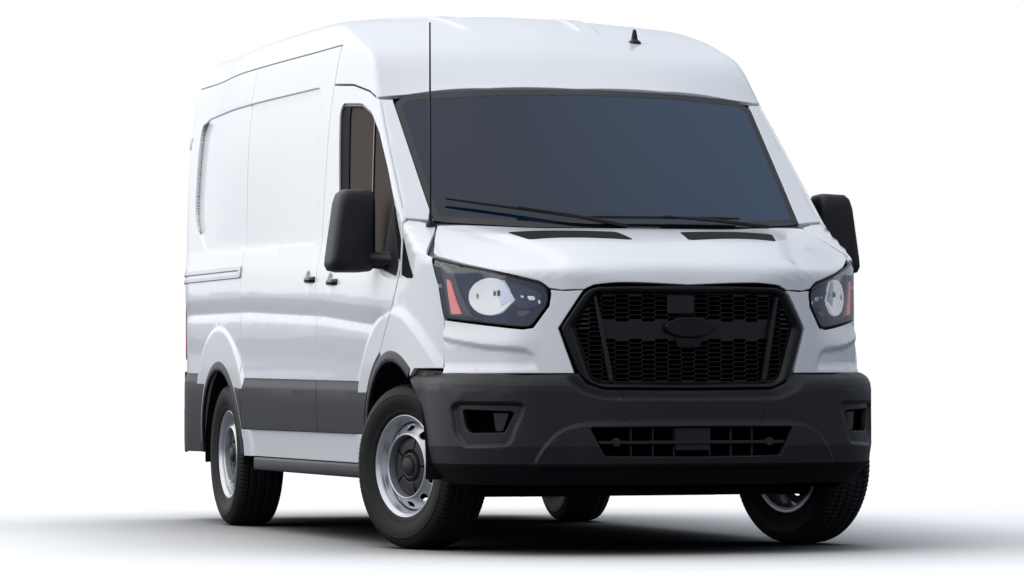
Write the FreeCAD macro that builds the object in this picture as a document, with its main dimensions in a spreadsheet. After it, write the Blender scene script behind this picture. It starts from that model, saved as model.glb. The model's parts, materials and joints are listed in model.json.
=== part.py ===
"""Panel van with a raised roof, modelled in millimetres.

+Z is up, the van drives towards -Y, and its right side, with the sliding door, is at -X.
The origin is on the ground, in the middle of the van's outline.
"""
import FreeCAD
import Part
import math
import os
import re

from FreeCAD import Vector

os.makedirs("parts", exist_ok=True)
doc = FreeCAD.newDocument("PanelVan")

# Driving dimensions
DIMENSIONS = (
    ("length", 5585),
    ("body_width", 2030),
    ("roof_height", 2530),
    ("front_overhang", 1023),
    ("wheelbase", 3300),
    ("cab_length", 2290),
    ("wall", 55),
    ("panel_gap", 6),
    ("overrun", 40),
    ("glass_inset", 4),
    ("glass_thickness", 6),
    ("glass_gap", 0.4),
    ("door_top_height", 2085),
    ("slider_top_height", 2270),
    ("cladding_top_height", 735),
    ("cladding_thickness", 13),
    ("cladding_seat", 0.3),
    ("sill_top_height", 490),
    ("sill_bottom_height", 355),
    ("bumper_top_height", 745),
    ("bumper_bottom_height", 300),
    ("floor_top_height", 725),
    ("floor_thickness", 45),
    ("load_mat_thickness", 5),
    ("slider_length", 1530),
    ("lamp_inset", 3),
    ("grille_recess", 30),
    ("grille_plate_thickness", 6),
    ("grille_bar_width", 26),
    ("grille_bar_depth", 12),
    ("fog_recess", 24),
    ("handle_rise", 24),
    ("handle_length", 150),
    ("handle_height", 34),
    ("front_arch_radius", 447),
    ("rear_arch_radius", 420),
    ("arch_trim_width", 66),
    ("tyre_radius", 356),
    ("tyre_width", 235),
    ("tyre_shoulder", 34),
    ("rim_radius", 206),
    ("rim_flange_radius", 220),
    ("rim_width", 190),
    ("rim_thickness", 10),
    ("rim_offset", 52),
    ("rim_dish", 34),
    ("hub_bore_radius", 33),
    ("hub_cap_radius", 88),
    ("hub_cap_depth", 46),
    ("rim_slot_radius", 13),
    ("wheel_fit", 0.3),
    ("front_track", 1740),
    ("rear_track", 1736),
    ("steer_rest_angle_share", 19.6),
    ("rail_width", 70),
    ("rail_height", 130),
    ("rail_spacing", 900),
    ("crossmember_width", 90),
    ("crossmember_height", 60),
    ("tow_bar_setback", 130),
    ("tow_bar_pitch", 140),
    ("tow_bar_hole_radius", 6.5),
    ("mirror_width", 215),
    ("mirror_height", 365),
    ("mirror_depth", 150),
    ("mirror_reach", 222),
    ("mirror_bottom_height", 1195),
    ("mirror_arm_height", 55),
    ("mirror_arm_depth", 60),
    ("mast_radius", 4),
    ("mast_length", 850),
    ("mast_base_radius", 17),
    ("mast_base_height", 40),
    ("steering_wheel_radius", 190),
    ("steering_rim_radius", 15),
    ("steering_hub_radius", 55),
    ("steering_hub_depth", 40),
    ("column_radius", 22),
    ("running_gap", 0.3),
    ("flange_lap", 25),
    ("flange_depth", 30),
    ("seal_gap", 0.3),
    ("bulkhead_thickness", 30),
    ("dash_bottom_height", 960),
    ("housing_thickness", 14),
    ("housing_lift", 90),
    ("gearbox_end_share", 0.6),
    ("gearbox_radius", 140),
    ("shaft_radius", 42),
    ("shaft_lift", 60),
    ("diff_radius", 150),
    ("diff_width", 210),
    ("tank_drop", 130),
    ("tank_fillet", 40),
    ("pipe_radius", 30),
    ("silencer_radius", 95),
    ("hanger_width", 20),
    ("tyre_crown", 8),
    ("hub_radius", 62),
    ("brake_radius", 150),
    ("arm_lift", 118),
    ("arm_height", 36),
    ("arm_width", 50),
    ("king_pin_radius", 16),
    ("strut_radius", 28),
    ("strut_clearance", 1.5),
    ("sail_depth", 20),
    ("sail_rise", 2),
    ("beam_height", 50),
    ("axle_radius", 44),
    ("spring_width", 70),
    ("spring_thickness", 22),
    ("spring_length", 1300),
    ("rail_rise", 10),
    ("lamp_rise", 22),
    ("column_tilt_share", -25),
    ("column_length", 420),
    ("seat_width", 500),
    ("mirror_fillet", 40),
    ("fin_length", 90),
    ("fin_height", 80),
    ("wiper_width", 26),
    ("wiper_depth", 16),
)

sheet = doc.addObject("Spreadsheet::Sheet", "Sizes")
for row, (alias, value) in enumerate(DIMENSIONS, 1):
    sheet.set(f"A{row}", alias)
    sheet.set(f"B{row}", str(value))
    sheet.setAlias(f"B{row}", alias)
doc.recompute()


def size(alias):
    """Read one driving dimension from the sheet."""
    return float(sheet.get(alias))


LENGTH = size("length")
HALF_WIDTH = size("body_width") / 2
HEIGHT = size("roof_height")
FRONT = -LENGTH / 2
REAR = LENGTH / 2
SEAM = FRONT + size("cab_length")
LOAD_LENGTH = REAR - SEAM
FRONT_AXLE = FRONT + size("front_overhang")
REAR_AXLE = FRONT_AXLE + size("wheelbase")
OVERRUN = size("overrun")
GAP = size("panel_gap")
WALL = size("wall")
SIDES = (("right", -1), ("left", 1))

parts = []


def cab(share):
    """Place along the van, as a share of the cab's length behind the nose."""
    return FRONT + share * size("cab_length")


def load(share):
    """Place along the van, as a share of the load space's length behind the front doors."""
    return SEAM + share * LOAD_LENGTH


def level(share):
    """Height as a share of the roof's height."""
    return share * HEIGHT


def out(share):
    """Distance from the middle as a share of half the body's width."""
    return share * HALF_WIDTH


def keep(label, shape, cleaned=True):
    """Store a finished shape as a document object of its own."""
    piece = doc.addObject("Part::Feature", label)
    piece.Label = label
    piece.Shape = shape.removeSplitter() if cleaned else shape
    parts.append(piece)
    return piece


def cab_at(share):
    """Expression of a place along the van, as cab() gives it."""
    return f"(cab_length * {share} - length / 2)"


def load_at(share):
    """Expression of a place along the van, as load() gives it."""
    return f"((length - cab_length) * {share} + cab_length - length / 2)"


def level_at(share):
    """Expression of a height, as level() gives it."""
    return f"(roof_height * {share})"


def out_at(share):
    """Expression of a distance from the middle, as out() gives it."""
    return f"(body_width / 2 * {share})"


def bound(expression):
    """Point the words of an expression at the sheet's cells."""
    return re.sub(r"\b[a-z_]+\b(?!\()", r"Sizes.\g<0>", expression)


def primitive(kind, name, place, turn=None, **sizes):
    """Add a Part primitive whose sizes and place are expressions of the sheet's sizes."""
    piece = doc.addObject("Part::" + kind, name)
    if turn:
        piece.Placement = FreeCAD.Placement(Vector(), turn)
    for key, expression in sizes.items():
        piece.setExpression(key, bound(expression))
    for axis, expression in zip("xyz", place):
        piece.setExpression("Placement.Base." + axis, bound(expression))
    return piece


def bound_box(name, low, high):
    """Add a box between two corners that are given as expressions."""
    spans = [f"({end}) - ({start})" for start, end in zip(low, high)]
    return primitive("Box", name, low, Length=spans[0], Width=spans[1], Height=spans[2])


def gather(label, pieces, kind="MultiFuse"):
    """Keep one document object that fuses or groups others."""
    whole = doc.addObject("Part::" + kind, label)
    whole.Label = label
    if kind == "Compound":
        whole.Links = pieces
    else:
        whole.Shapes = pieces
        whole.Refine = True
    parts.append(whole)
    return whole


ALONG_Y = FreeCAD.Rotation(Vector(1, 0, 0), -90)


def closed(points):
    """Face inside a closed outline of points."""
    return Part.Face(Part.makePolygon(list(points) + [points[0]]))


def inset(points, depth):
    """Move the corners of a closed outline of pairs inwards by one depth."""
    count = len(points)
    twice = sum(
        points[i][0] * points[(i + 1) % count][1] - points[(i + 1) % count][0] * points[i][1]
        for i in range(count)
    )
    turn = 1 if twice > 0 else -1
    moved = []
    for i, (u, v) in enumerate(points):
        before = points[i - 1]
        after = points[(i + 1) % count]
        first = math.hypot(u - before[0], v - before[1])
        second = math.hypot(after[0] - u, after[1] - v)
        n1 = (-(v - before[1]) / first * turn, (u - before[0]) / first * turn)
        n2 = (-(after[1] - v) / second * turn, (after[0] - u) / second * turn)
        spread = 1 + n1[0] * n2[0] + n1[1] * n2[1]
        moved.append((u + depth * (n1[0] + n2[0]) / spread, v + depth * (n1[1] + n2[1]) / spread))
    return moved


def side_prism(points, side=0, grow=0.0):
    """Solid across the van over an outline of (y, z), on one side or both."""
    points = inset(points, -grow)
    start = -HALF_WIDTH - OVERRUN if side <= 0 else 0.0
    reach = (2 if side == 0 else 1) * (HALF_WIDTH + OVERRUN)
    return closed([Vector(start, y, z) for y, z in points]).extrude(Vector(reach, 0, 0))


def nose_prism(points, grow=0.0, start=FRONT - OVERRUN, end=cab(0.36)):
    """Solid along the van over an outline of (x, z)."""
    points = inset(points, -grow)
    return closed([Vector(x, start, z) for x, z in points]).extrude(Vector(0, end - start, 0))


def plan_prism(points, grow=0.0, bottom=0.0, top=HEIGHT + OVERRUN):
    """Solid upwards over an outline of (x, y)."""
    points = inset(points, -grow)
    return closed([Vector(x, y, bottom) for x, y in points]).extrude(Vector(0, 0, top - bottom))


def cross_cylinder(radius, y, z, inner=None):
    """Cylinder across the whole van, hollow where an inner radius is given."""
    start = Vector(-HALF_WIDTH - OVERRUN, y, z)
    reach = 2 * (HALF_WIDTH + OVERRUN)
    shape = Part.makeCylinder(radius, reach, start, Vector(1, 0, 0))
    if inner:
        shape = shape.cut(Part.makeCylinder(inner, reach, start, Vector(1, 0, 0)))
    return shape


def mirrored(points):
    """Outline of pairs on the +X side, closed over by its mirror image."""
    return list(points) + [(-x, y) for x, y in reversed(points) if x]


# The body's surface: lengthwise outlines at several distances from the middle, each from the
# nose over the bonnet, windscreen and roof to the tail, trimmed by a cross-section and a plan
NOSE_SHARE = 0.0057
NOSE_LOW_SHARE = 0.118
STATION_SHARES = (0.0, 0.44, 0.82, 1.06)
BONNET_SHARES = (
    ((0.0057, 0.434), (0.020, 0.468), (0.090, 0.493), (0.171, 0.516), (0.260, 0.533), (0.337, 0.543)),
    ((0.0060, 0.434), (0.028, 0.464), (0.095, 0.489), (0.171, 0.512), (0.265, 0.531), (0.357, 0.5445)),
    ((0.030, 0.432), (0.085, 0.450), (0.160, 0.472), (0.250, 0.500), (0.330, 0.526), (0.413, 0.5545)),
    ((0.050, 0.430), (0.110, 0.440), (0.180, 0.455), (0.265, 0.480), (0.345, 0.512), (0.425, 0.550)),
)
SCREEN_TOP_SHARES = ((0.674, 0.802), (0.683, 0.800), (0.708, 0.786), (0.725, 0.772))
ROOF_SHARES = ((-0.121, 0.885), (0.061, 0.9555), (0.230, 0.978), (0.420, 0.993), (0.600, 0.999), (0.925, 0.996))
TAIL_SHARES = ((0.962, 0.965), (0.972, 0.895), (0.972, NOSE_LOW_SHARE))
SECTION_SHARES = (
    (0.955, 0.050), (0.965, 0.140), (0.975, 0.194), (0.990, 0.290), (0.992, 0.375), (0.985, 0.435),
    (0.974, 0.4545), (0.968, 0.514), (0.942, 0.632), (0.908, 0.751), (0.880, 0.822), (0.858, 0.870),
    (0.838, 0.901), (0.812, 0.925), (0.770, 0.944), (0.680, 0.961), (0.486, 0.980), (0.250, 0.996),
)
SECTION_CROWN_SHARE = 1.003
PLAN_FRONT_SHARES = (
    (0.00, 0.000), (0.25, 0.005), (0.44, 0.028), (0.64, 0.081), (0.79, 0.150), (0.91, 0.228),
    (0.965, 0.310), (0.985, 0.390), (0.998, 0.480), (1.000, 0.620),
)
PLAN_REAR_SHARES = ((1.000, 0.860), (0.990, 0.925), (0.960, 0.957), (0.910, 0.970), (0.600, 0.975), (0.0, 0.976))


def station(index, depth):
    """One lengthwise outline of the body, moved inwards by a depth."""
    points = [(cab(NOSE_SHARE), level(NOSE_LOW_SHARE))]
    points += [(cab(y), level(z)) for y, z in BONNET_SHARES[index]]
    points.append((cab(SCREEN_TOP_SHARES[index][0]), level(SCREEN_TOP_SHARES[index][1])))
    points += [(load(y), level(z)) for y, z in ROOF_SHARES + TAIL_SHARES]
    return inset(points, depth) if depth else points


def station_wire(index, side, depth):
    """The closed wire of one lengthwise outline, with its long curves as splines."""
    x = side * out(STATION_SHARES[index])
    points = [Vector(x, y, z) for y, z in station(index, depth)]
    bottom = level(NOSE_LOW_SHARE) - max(depth, 0.0) * 2
    points[0].z = bottom
    points[-1].z = bottom
    bonnet_end = len(BONNET_SHARES[index])
    roof_start = bonnet_end + 1
    roof_end = roof_start + len(ROOF_SHARES)
    edges = [Part.LineSegment(points[0], points[1]).toShape()]
    bonnet = Part.BSplineCurve()
    bonnet.interpolate(points[1:bonnet_end + 1])
    edges.append(bonnet.toShape())
    edges.append(Part.LineSegment(points[bonnet_end], points[roof_start]).toShape())
    roof = Part.BSplineCurve()
    roof.interpolate(points[roof_start:roof_end + 1])
    edges.append(roof.toShape())
    tail = points[roof_end:] + [points[0]]
    edges += [Part.LineSegment(a, b).toShape() for a, b in zip(tail, tail[1:])]
    return Part.Wire(edges)


SKINS = {}


def skin(depth):
    """The whole body as one solid, its surface moved inwards by a depth."""
    if depth in SKINS:
        return SKINS[depth]
    order = [(i, -1) for i in range(len(STATION_SHARES) - 1, 0, -1)]
    order += [(i, 1) for i in range(len(STATION_SHARES))]
    solid = Part.makeLoft([station_wire(i, side, depth) for i, side in order], True, False)
    half = [(out(x), level(z)) for x, z in SECTION_SHARES]
    section = inset(mirrored(half + [(0.0, level(SECTION_CROWN_SHARE))]), depth)
    curve = Part.BSplineCurve()
    curve.interpolate([Vector(x, FRONT - OVERRUN, z) for x, z in section])
    ends = (curve.value(curve.LastParameter), curve.value(curve.FirstParameter))
    outline = Part.Wire([curve.toShape(), Part.LineSegment(*ends).toShape()])
    across = Part.Face(outline).extrude(Vector(0, LENGTH + 2 * OVERRUN, 0))
    half = [(out(x), cab(y)) for x, y in PLAN_FRONT_SHARES] + [(out(x), load(y)) for x, y in PLAN_REAR_SHARES]
    plan = inset(half[:-1] + [half[-1]] + [(-x, y) for x, y in reversed(half[1:-1])], depth)
    solid = solid.common(across.common(plan_prism(plan, 0.0, -OVERRUN, HEIGHT + OVERRUN)))
    SKINS[depth] = solid
    return solid


def layer(outer, inner):
    """The body's skin between two depths."""
    return skin(outer).cut(skin(inner))


def one_side(shape, side):
    """The part of a shape on one side of the van."""
    reach = LENGTH + 2 * OVERRUN
    start = Vector(min(side, 0) * reach, -reach / 2, -OVERRUN)
    return shape.common(Part.makeBox(reach, reach, HEIGHT + 2 * OVERRUN, start))


# Outlines of the panels, seen from the side as (y, z)
DOOR_SHARES = (
    (0.889, 0.816), (0.773, 0.798), (0.7125, 0.775), (0.652, 0.747), (0.538, 0.664), (0.4657, 0.602),
    (0.425, 0.550), (0.405, 0.480), (0.425, 0.440), (0.455, 0.395), (0.512, 0.340), (0.540, 0.300),
)
DOOR = [(SEAM, size("sill_top_height")), (SEAM, size("door_top_height"))]
DOOR += [(cab(y), level(z)) for y, z in DOOR_SHARES] + [(cab(0.54), size("sill_top_height"))]
WINDOW_SHARES = (
    (0.940, 0.515), (0.940, 0.765), (0.915, 0.785), (0.810, 0.778), (0.730, 0.757), (0.655, 0.720),
    (0.560, 0.650), (0.490, 0.590), (0.420, 0.485), (0.425, 0.462), (0.520, 0.476), (0.700, 0.500),
)
WINDOW = [(cab(y), level(z)) for y, z in WINDOW_SHARES]
SAIL_SHARES = ((0.497, 0.596), (0.420, 0.485), (0.425, 0.462), (0.520, 0.476), (0.535, 0.478))
SAIL = [(cab(y), level(z)) for y, z in SAIL_SHARES]
SLIDER_END = SEAM + size("slider_length")
SLIDER = [
    (SEAM, size("sill_top_height")), (SEAM, size("slider_top_height")),
    (SLIDER_END, size("slider_top_height")), (SLIDER_END, size("sill_top_height")),
]
HEADER_SHARE = 0.93
TAILGATE_TOP_SHARE = 0.882
ROOF = [
    (REAR + OVERRUN, level(TAILGATE_TOP_SHARE)), (load(HEADER_SHARE), level(TAILGATE_TOP_SHARE)),
    (load(HEADER_SHARE), size("slider_top_height")), (SEAM, size("slider_top_height")),
    (SEAM, size("door_top_height")), (cab(0.889), level(0.816)), (cab(0.773), level(0.798)),
    (cab(0.7125), level(0.775)), (cab(0.30), level(0.775)), (cab(0.30), HEIGHT + OVERRUN),
    (REAR + OVERRUN, HEIGHT + OVERRUN),
]
BONNET_LINE = [(cab(0.425), level(0.540)), (cab(0.294), level(0.487)), (cab(0.095), level(0.4447))]
BONNET_SIDE = [(cab(0.425), level(0.64))] + BONNET_LINE
BONNET_SIDE += [(FRONT - OVERRUN, level(0.441)), (FRONT - OVERRUN, level(0.64))]
BONNET_PLAN = mirrored([(0.0, cab(0.320)), (out(0.44), cab(0.337)), (out(0.78), cab(0.375)),
                        (out(0.835), cab(0.378)), (out(0.875), cab(0.330)), (out(0.912), cab(0.280)),
                        (out(0.94), cab(0.200)), (out(0.94), FRONT - OVERRUN)])
BONNET = side_prism(BONNET_SIDE).common(plan_prism(BONNET_PLAN))
BONNET_CUT = side_prism(inset(BONNET_SIDE, -GAP)).common(plan_prism(BONNET_PLAN, GAP))

# Outlines of the front, seen along the van as (x, z)
SCREEN = mirrored([(out(0.50), level(0.5475)), (out(0.822), level(0.556)), (out(0.826), level(0.772)),
                   (out(0.766), level(0.789)), (out(0.40), level(0.798))])
PILLARS = mirrored([(out(0.50), level(0.535)), (out(0.930), level(0.550)), (out(0.915), level(0.660)),
                    (out(0.884), level(0.775)), (out(0.840), level(0.815)), (out(0.40), level(0.830))])
LAMP_SHARES = ((0.911, 0.484), (0.562, 0.4425), (0.545, 0.425), (0.638, 0.372), (0.911, 0.387))
GRILLE = mirrored([(out(0.400), level(0.4395)), (out(0.450), level(0.428)), (out(0.529), level(0.3735)),
                   (out(0.443), level(0.2915)), (out(0.400), level(0.281))])
GRILLE_OPENING = mirrored([(out(0.384), level(0.4245)), (out(0.484), level(0.373)), (out(0.409), level(0.2925))])
GRILLE_BAND = level(0.372)
BADGE = mirrored([(out(0.045), level(0.399)), (out(0.088), level(0.388)), (out(0.103), level(0.372)),
                  (out(0.088), level(0.356)), (out(0.045), level(0.345))])
INTAKE_SHARES = (
    ((0.414, 0.2085), (0.393, 0.190)), ((0.389, 0.184), (0.360, 0.162)),
)
FOG_SHARES = ((0.905, 0.234), (0.660, 0.240), (0.655, 0.235), (0.700, 0.188), (0.800, 0.1875), (0.865, 0.198))
TAILGATE_SHARES = ((0.792, 0.245), (0.792, 0.600), (0.765, 0.800), (0.720, 0.876))


def lamp_prism(side, grow):
    """The opening of one headlamp through the nose."""
    return nose_prism([(side * out(x), level(z)) for x, z in LAMP_SHARES], grow)


def tailgate_prism(side, grow):
    """The opening of one rear door, from the middle out to its hinges."""
    points = [(0.0, level(0.245))] + [(side * out(x), level(z)) for x, z in TAILGATE_SHARES]
    points.append((0.0, level(0.876)))
    return nose_prism(points, grow, load(0.90), REAR + OVERRUN)


FRONT_ARCH = cross_cylinder(size("front_arch_radius"), FRONT_AXLE, size("tyre_radius"))
REAR_ARCH = cross_cylinder(size("rear_arch_radius"), REAR_AXLE, size("tyre_radius"))
FRONT_TRIM_RADIUS = size("front_arch_radius") + size("arch_trim_width")
REAR_TRIM_RADIUS = size("rear_arch_radius") + size("arch_trim_width")


def door_prism(side, grow):
    """One front door's outline through the body's side, cut away round the wheel."""
    round_wheel = cross_cylinder(FRONT_TRIM_RADIUS - grow, FRONT_AXLE, size("tyre_radius"))
    pillar = nose_prism(PILLARS, -grow, FRONT, cab(0.80))
    return side_prism(DOOR, side, grow).cut(round_wheel).cut(pillar)


shell = layer(0.0, WALL)
SCREEN_OPENING = nose_prism(SCREEN, 0.0, FRONT, cab(0.80))
BUMPER_TOP = size("bumper_top_height")
NOSE_END = cab(0.228)


def box_between(low, high):
    """Box between two corners."""
    return Part.makeBox(high[0] - low[0], high[1] - low[1], high[2] - low[2], Vector(*low))


WIDE = HALF_WIDTH + OVERRUN


def handle(side, y, z):
    """A door's pull handle, standing off its skin."""
    half_length = size("handle_length") / 2
    half_height = size("handle_height") / 2
    outline = [(y - half_length, z - half_height), (y + half_length, z - half_height),
               (y + half_length, z + half_height), (y - half_length, z + half_height)]
    return layer(-size("handle_rise"), -size("cladding_seat")).common(side_prism(outline, side))


roof = shell.common(side_prism(ROOF, 0, -GAP / 2)).cut(SCREEN_OPENING)
keep("roof_panel", roof)

# The doors end outside the cowl, whose corners stay with the pillars
COWL = ((out(0.908), level(0.525)), (cab(0.50), level(0.56)))


def cowl_box(grow):
    """The zone between the front doors' inner faces at the cowl's height, grown by a distance."""
    (x, low), (end, high) = COWL
    return box_between((-x - grow, FRONT, low - grow), (x + grow, end + grow, high + grow))


for name, side in SIDES:
    door = shell.common(door_prism(side, -GAP / 2)).cut(side_prism(WINDOW, side)).cut(cowl_box(GAP))
    keep("front_door_" + name, Part.makeCompound([door, handle(side, cab(0.881), level(0.4625))]))
    glass = layer(size("glass_inset"), size("glass_inset") + size("glass_thickness"))
    pane = glass.common(side_prism(WINDOW, side, -size("glass_gap")))
    keep("door_glass_" + name, pane.cut(side_prism(SAIL, side, size("glass_gap"))))
    cladding = layer(-size("cladding_thickness"), -size("cladding_seat"))
    strip = [(FRONT_AXLE, size("sill_top_height")), (SEAM, size("sill_top_height")),
             (SEAM, size("cladding_top_height")), (FRONT_AXLE, size("cladding_top_height"))]
    strip = side_prism(strip, side, -GAP / 2).common(door_prism(side, -GAP / 2))
    keep("door_cladding_" + name, cladding.common(strip))

side_region = [
    (cab(0.60), size("sill_bottom_height")), (cab(0.60), size("sill_top_height")),
    (SEAM, size("sill_top_height")), (SEAM, size("slider_top_height")),
    (REAR + OVERRUN, size("slider_top_height")), (REAR + OVERRUN, size("sill_bottom_height")),
]
roof_cut = side_prism(ROOF, 0, GAP / 2)
for name, side in SIDES:
    panel = one_side(shell, side).common(side_prism(side_region, side))
    panel = panel.cut(roof_cut).cut(door_prism(side, GAP / 2)).cut(FRONT_ARCH).cut(REAR_ARCH)
    panel = panel.cut(cross_cylinder(FRONT_TRIM_RADIUS + GAP, FRONT_AXLE, size("tyre_radius")))
    panel = panel.cut(tailgate_prism(side, GAP / 2))
    tail_low = box_between((-out(0.80), load(0.90), 0.0), (out(0.80), REAR + OVERRUN, level(0.26)))
    panel = panel.cut(tail_low)
    if side < 0:
        panel = panel.cut(side_prism(SLIDER, side, GAP / 2))
        slider = shell.common(side_prism(SLIDER, side, -GAP / 2))
        keep("sliding_door", Part.makeCompound([slider, handle(side, load(0.0445), level(0.4705))]))
    keep("side_panel_" + name, panel)

pillar_region = [
    (cab(0.7125), level(0.775)), (cab(0.74), level(0.53)), (cab(0.28), level(0.53)), (cab(0.28), level(0.775)),
]
fender_region = [
    (cab(0.60), level(0.70)), (cab(0.4657), level(0.598)), (cab(0.413), level(0.5565)), (cab(0.38), level(0.556)),
    (NOSE_END, level(0.51)), (NOSE_END, size("sill_bottom_height")),
    (cab(0.66), size("sill_bottom_height")), (cab(0.66), level(0.70)),
]
MIDDLE = box_between((-out(0.824), FRONT, 0.0), (out(0.824), cab(0.66), HEIGHT))
fender_prism = side_prism(fender_region).cut(MIDDLE)
doors_cut = door_prism(0, GAP / 2).cut(cowl_box(0.0))
lamps_cut = lamp_prism(-1, 0.0).fuse(lamp_prism(1, 0.0))
bumper_zone = box_between((-WIDE, FRONT - OVERRUN, 0.0), (WIDE, FRONT_AXLE, BUMPER_TOP))
pillar_zone = side_prism(DOOR).common(nose_prism(PILLARS, 0.0, FRONT, cab(0.80))).cut(roof_cut)
pillar_zone = pillar_zone.fuse(side_prism(pillar_region, 0, -GAP / 2))
scuttle = shell.common(pillar_zone).cut(SCREEN_OPENING).cut(BONNET_CUT)
scuttle = scuttle.cut(doors_cut).cut(side_prism(fender_region, 0, GAP / 2).cut(MIDDLE))
keep("scuttle_and_pillars", scuttle)
fenders = shell.common(fender_prism).cut(doors_cut).cut(BONNET_CUT).cut(FRONT_ARCH)
fenders = fenders.cut(lamps_cut).cut(bumper_zone).cut(SCREEN_OPENING)
keep("fenders", fenders)
keep("bonnet", shell.common(BONNET).cut(lamp_prism(-1, GAP)).cut(lamp_prism(1, GAP)))
screen = layer(size("glass_inset"), size("glass_inset") + size("glass_thickness"))
keep("windscreen", screen.common(nose_prism(SCREEN, -size("glass_gap"), FRONT, cab(0.80))))

FIT = size("glass_gap")
fascia_box = box_between((-WIDE, FRONT - OVERRUN, BUMPER_TOP + FIT), (WIDE, NOSE_END - GAP, level(0.49)))
fascia = shell.common(fascia_box).cut(BONNET_CUT).cut(lamps_cut).cut(nose_prism(GRILLE))
keep("front_fascia", fascia)
lamp_layer = layer(size("lamp_inset"), WALL)
lamps = [lamp_layer.common(lamp_prism(side, -FIT)) for name, side in SIDES]
keep("headlamps", Part.makeCompound(lamps))
grille_frame = lamp_layer.common(nose_prism(GRILLE, -FIT)).cut(nose_prism(GRILLE_OPENING))
plate_depth = size("grille_recess")
grille_plate = layer(plate_depth, plate_depth + size("grille_plate_thickness")).common(nose_prism(GRILLE, -FIT))
bar_half = size("grille_bar_width") / 2
bars = nose_prism([(-out(0.47), GRILLE_BAND - bar_half), (out(0.47), GRILLE_BAND - bar_half),
                   (out(0.47), GRILLE_BAND + bar_half), (-out(0.47), GRILLE_BAND + bar_half)])
for name, side in SIDES:
    low, high = (side * out(0.262), level(0.279)), (side * out(0.312), level(0.424))
    bars = bars.fuse(nose_prism([(low[0] - bar_half, low[1]), (low[0] + bar_half, low[1]),
                                 (high[0] + bar_half, high[1]), (high[0] - bar_half, high[1])]))
bars = bars.fuse(nose_prism(BADGE))
bars = layer(size("grille_bar_depth"), plate_depth).common(bars).common(nose_prism(GRILLE, -FIT))
keep("grille", grille_frame.fuse([grille_plate, bars]))
bumper_box = box_between((-WIDE, FRONT - OVERRUN, size("bumper_bottom_height")), (WIDE, FRONT_AXLE, BUMPER_TOP))
bumper = layer(-size("cladding_thickness"), WALL).common(bumper_box).cut(nose_prism(GRILLE))
bumper = bumper.cut(cross_cylinder(FRONT_TRIM_RADIUS + GAP, FRONT_AXLE, size("tyre_radius")))
for high, low in INTAKE_SHARES:
    bumper = bumper.cut(nose_prism(mirrored([(out(high[0]), level(high[1])), (out(low[0]), level(low[1]))])))
fog_layer = layer(-size("cladding_thickness"), size("fog_recess"))
for name, side in SIDES:
    fog_prism = nose_prism([(side * out(x), level(z)) for x, z in FOG_SHARES])
    bumper = bumper.cut(fog_layer.common(fog_prism))
keep("front_bumper", bumper)

for name, side in SIDES:
    keep("rear_door_" + name, shell.common(tailgate_prism(side, -GAP / 2)))

# Flanges inside the panels' seams, on which doors, bonnet and roof close
FLANGE_LAP = size("flange_lap")
TYRE_RADIUS = size("tyre_radius")


def ring(prism):
    """The band of flange that laps a seam on both sides of a growing outline."""
    return prism(FLANGE_LAP).cut(prism(-FLANGE_LAP))


def bonnet_prism(grow):
    """The bonnet's outline seen from the side and from above, grown by a distance."""
    return side_prism(BONNET_SIDE, 0, grow).common(plan_prism(BONNET_PLAN, grow))


flange = layer(WALL + size("seal_gap"), WALL + size("seal_gap") + size("flange_depth"))
bands = ring(lambda grow: door_prism(0, grow))
bands = bands.fuse(ring(lambda grow: side_prism(SLIDER, -1, grow)))
bands = bands.fuse(ring(lambda grow: tailgate_prism(-1, grow).fuse(tailgate_prism(1, grow))))
bands = bands.fuse(ring(bonnet_prism))
bands = bands.cut(nose_prism(GRILLE, FLANGE_LAP)).cut(lamps_cut)
BULKHEAD_Y = cab(0.575)
floor_low = size("floor_top_height") - size("floor_thickness")
bulkhead_zone = box_between(
    (-WIDE, BULKHEAD_Y - FIT, floor_low),
    (WIDE, BULKHEAD_Y + size("bulkhead_thickness") + FIT, size("dash_bottom_height") + FIT)
)
frame_zone = box_between((-WIDE, FRONT, size("floor_top_height")), (WIDE, REAR, HEIGHT))
frames = flange.common(bands).common(frame_zone).cut(bulkhead_zone)
keep("door_frames", frames)

# Floor, bulkhead and wheel housings
inside = skin(WALL + size("seal_gap"))
housing = size("housing_thickness")
below = box_between((-WIDE, FRONT, -OVERRUN), (WIDE, REAR, TYRE_RADIUS + size("housing_lift")))
floor_start = BULKHEAD_Y + size("bulkhead_thickness") + FIT
floor = box_between((-WIDE, floor_start, floor_low), (WIDE, load(0.955), size("floor_top_height")))
bulkhead = box_between(
    (-WIDE, BULKHEAD_Y, floor_low), (WIDE, BULKHEAD_Y + size("bulkhead_thickness"), size("dash_bottom_height"))
)
housings = []
for axle, radius, wall_x in (
    (REAR_AXLE, size("rear_arch_radius"), out(0.69)),
    (FRONT_AXLE, size("front_arch_radius"), out(0.53)),
):
    bore = cross_cylinder(radius, axle, TYRE_RADIUS)
    bore = bore.cut(box_between((-wall_x - housing, FRONT, 0.0), (wall_x + housing, REAR, HEIGHT)))
    arch = cross_cylinder(radius + housing, axle, TYRE_RADIUS)
    arch = arch.cut(box_between((-wall_x, FRONT, 0.0), (wall_x, REAR, HEIGHT))).cut(bore)
    housings += [one_side(arch.common(inside).cut(below), side) for name, side in SIDES]
    room = cross_cylinder(radius + housing + FIT, axle, TYRE_RADIUS)
    room = room.cut(box_between((FIT - wall_x, FRONT, 0.0), (wall_x - FIT, REAR, HEIGHT)))
    floor = floor.cut(room)
    bulkhead = bulkhead.cut(room)
mat = box_between((-out(0.66), load(0.03), size("floor_top_height")),
                  (out(0.66), load(0.90), size("floor_top_height") + size("load_mat_thickness")))
keep("floor_pan", floor.common(inside).fuse(mat))
keep("bulkhead", bulkhead.common(inside))
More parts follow.
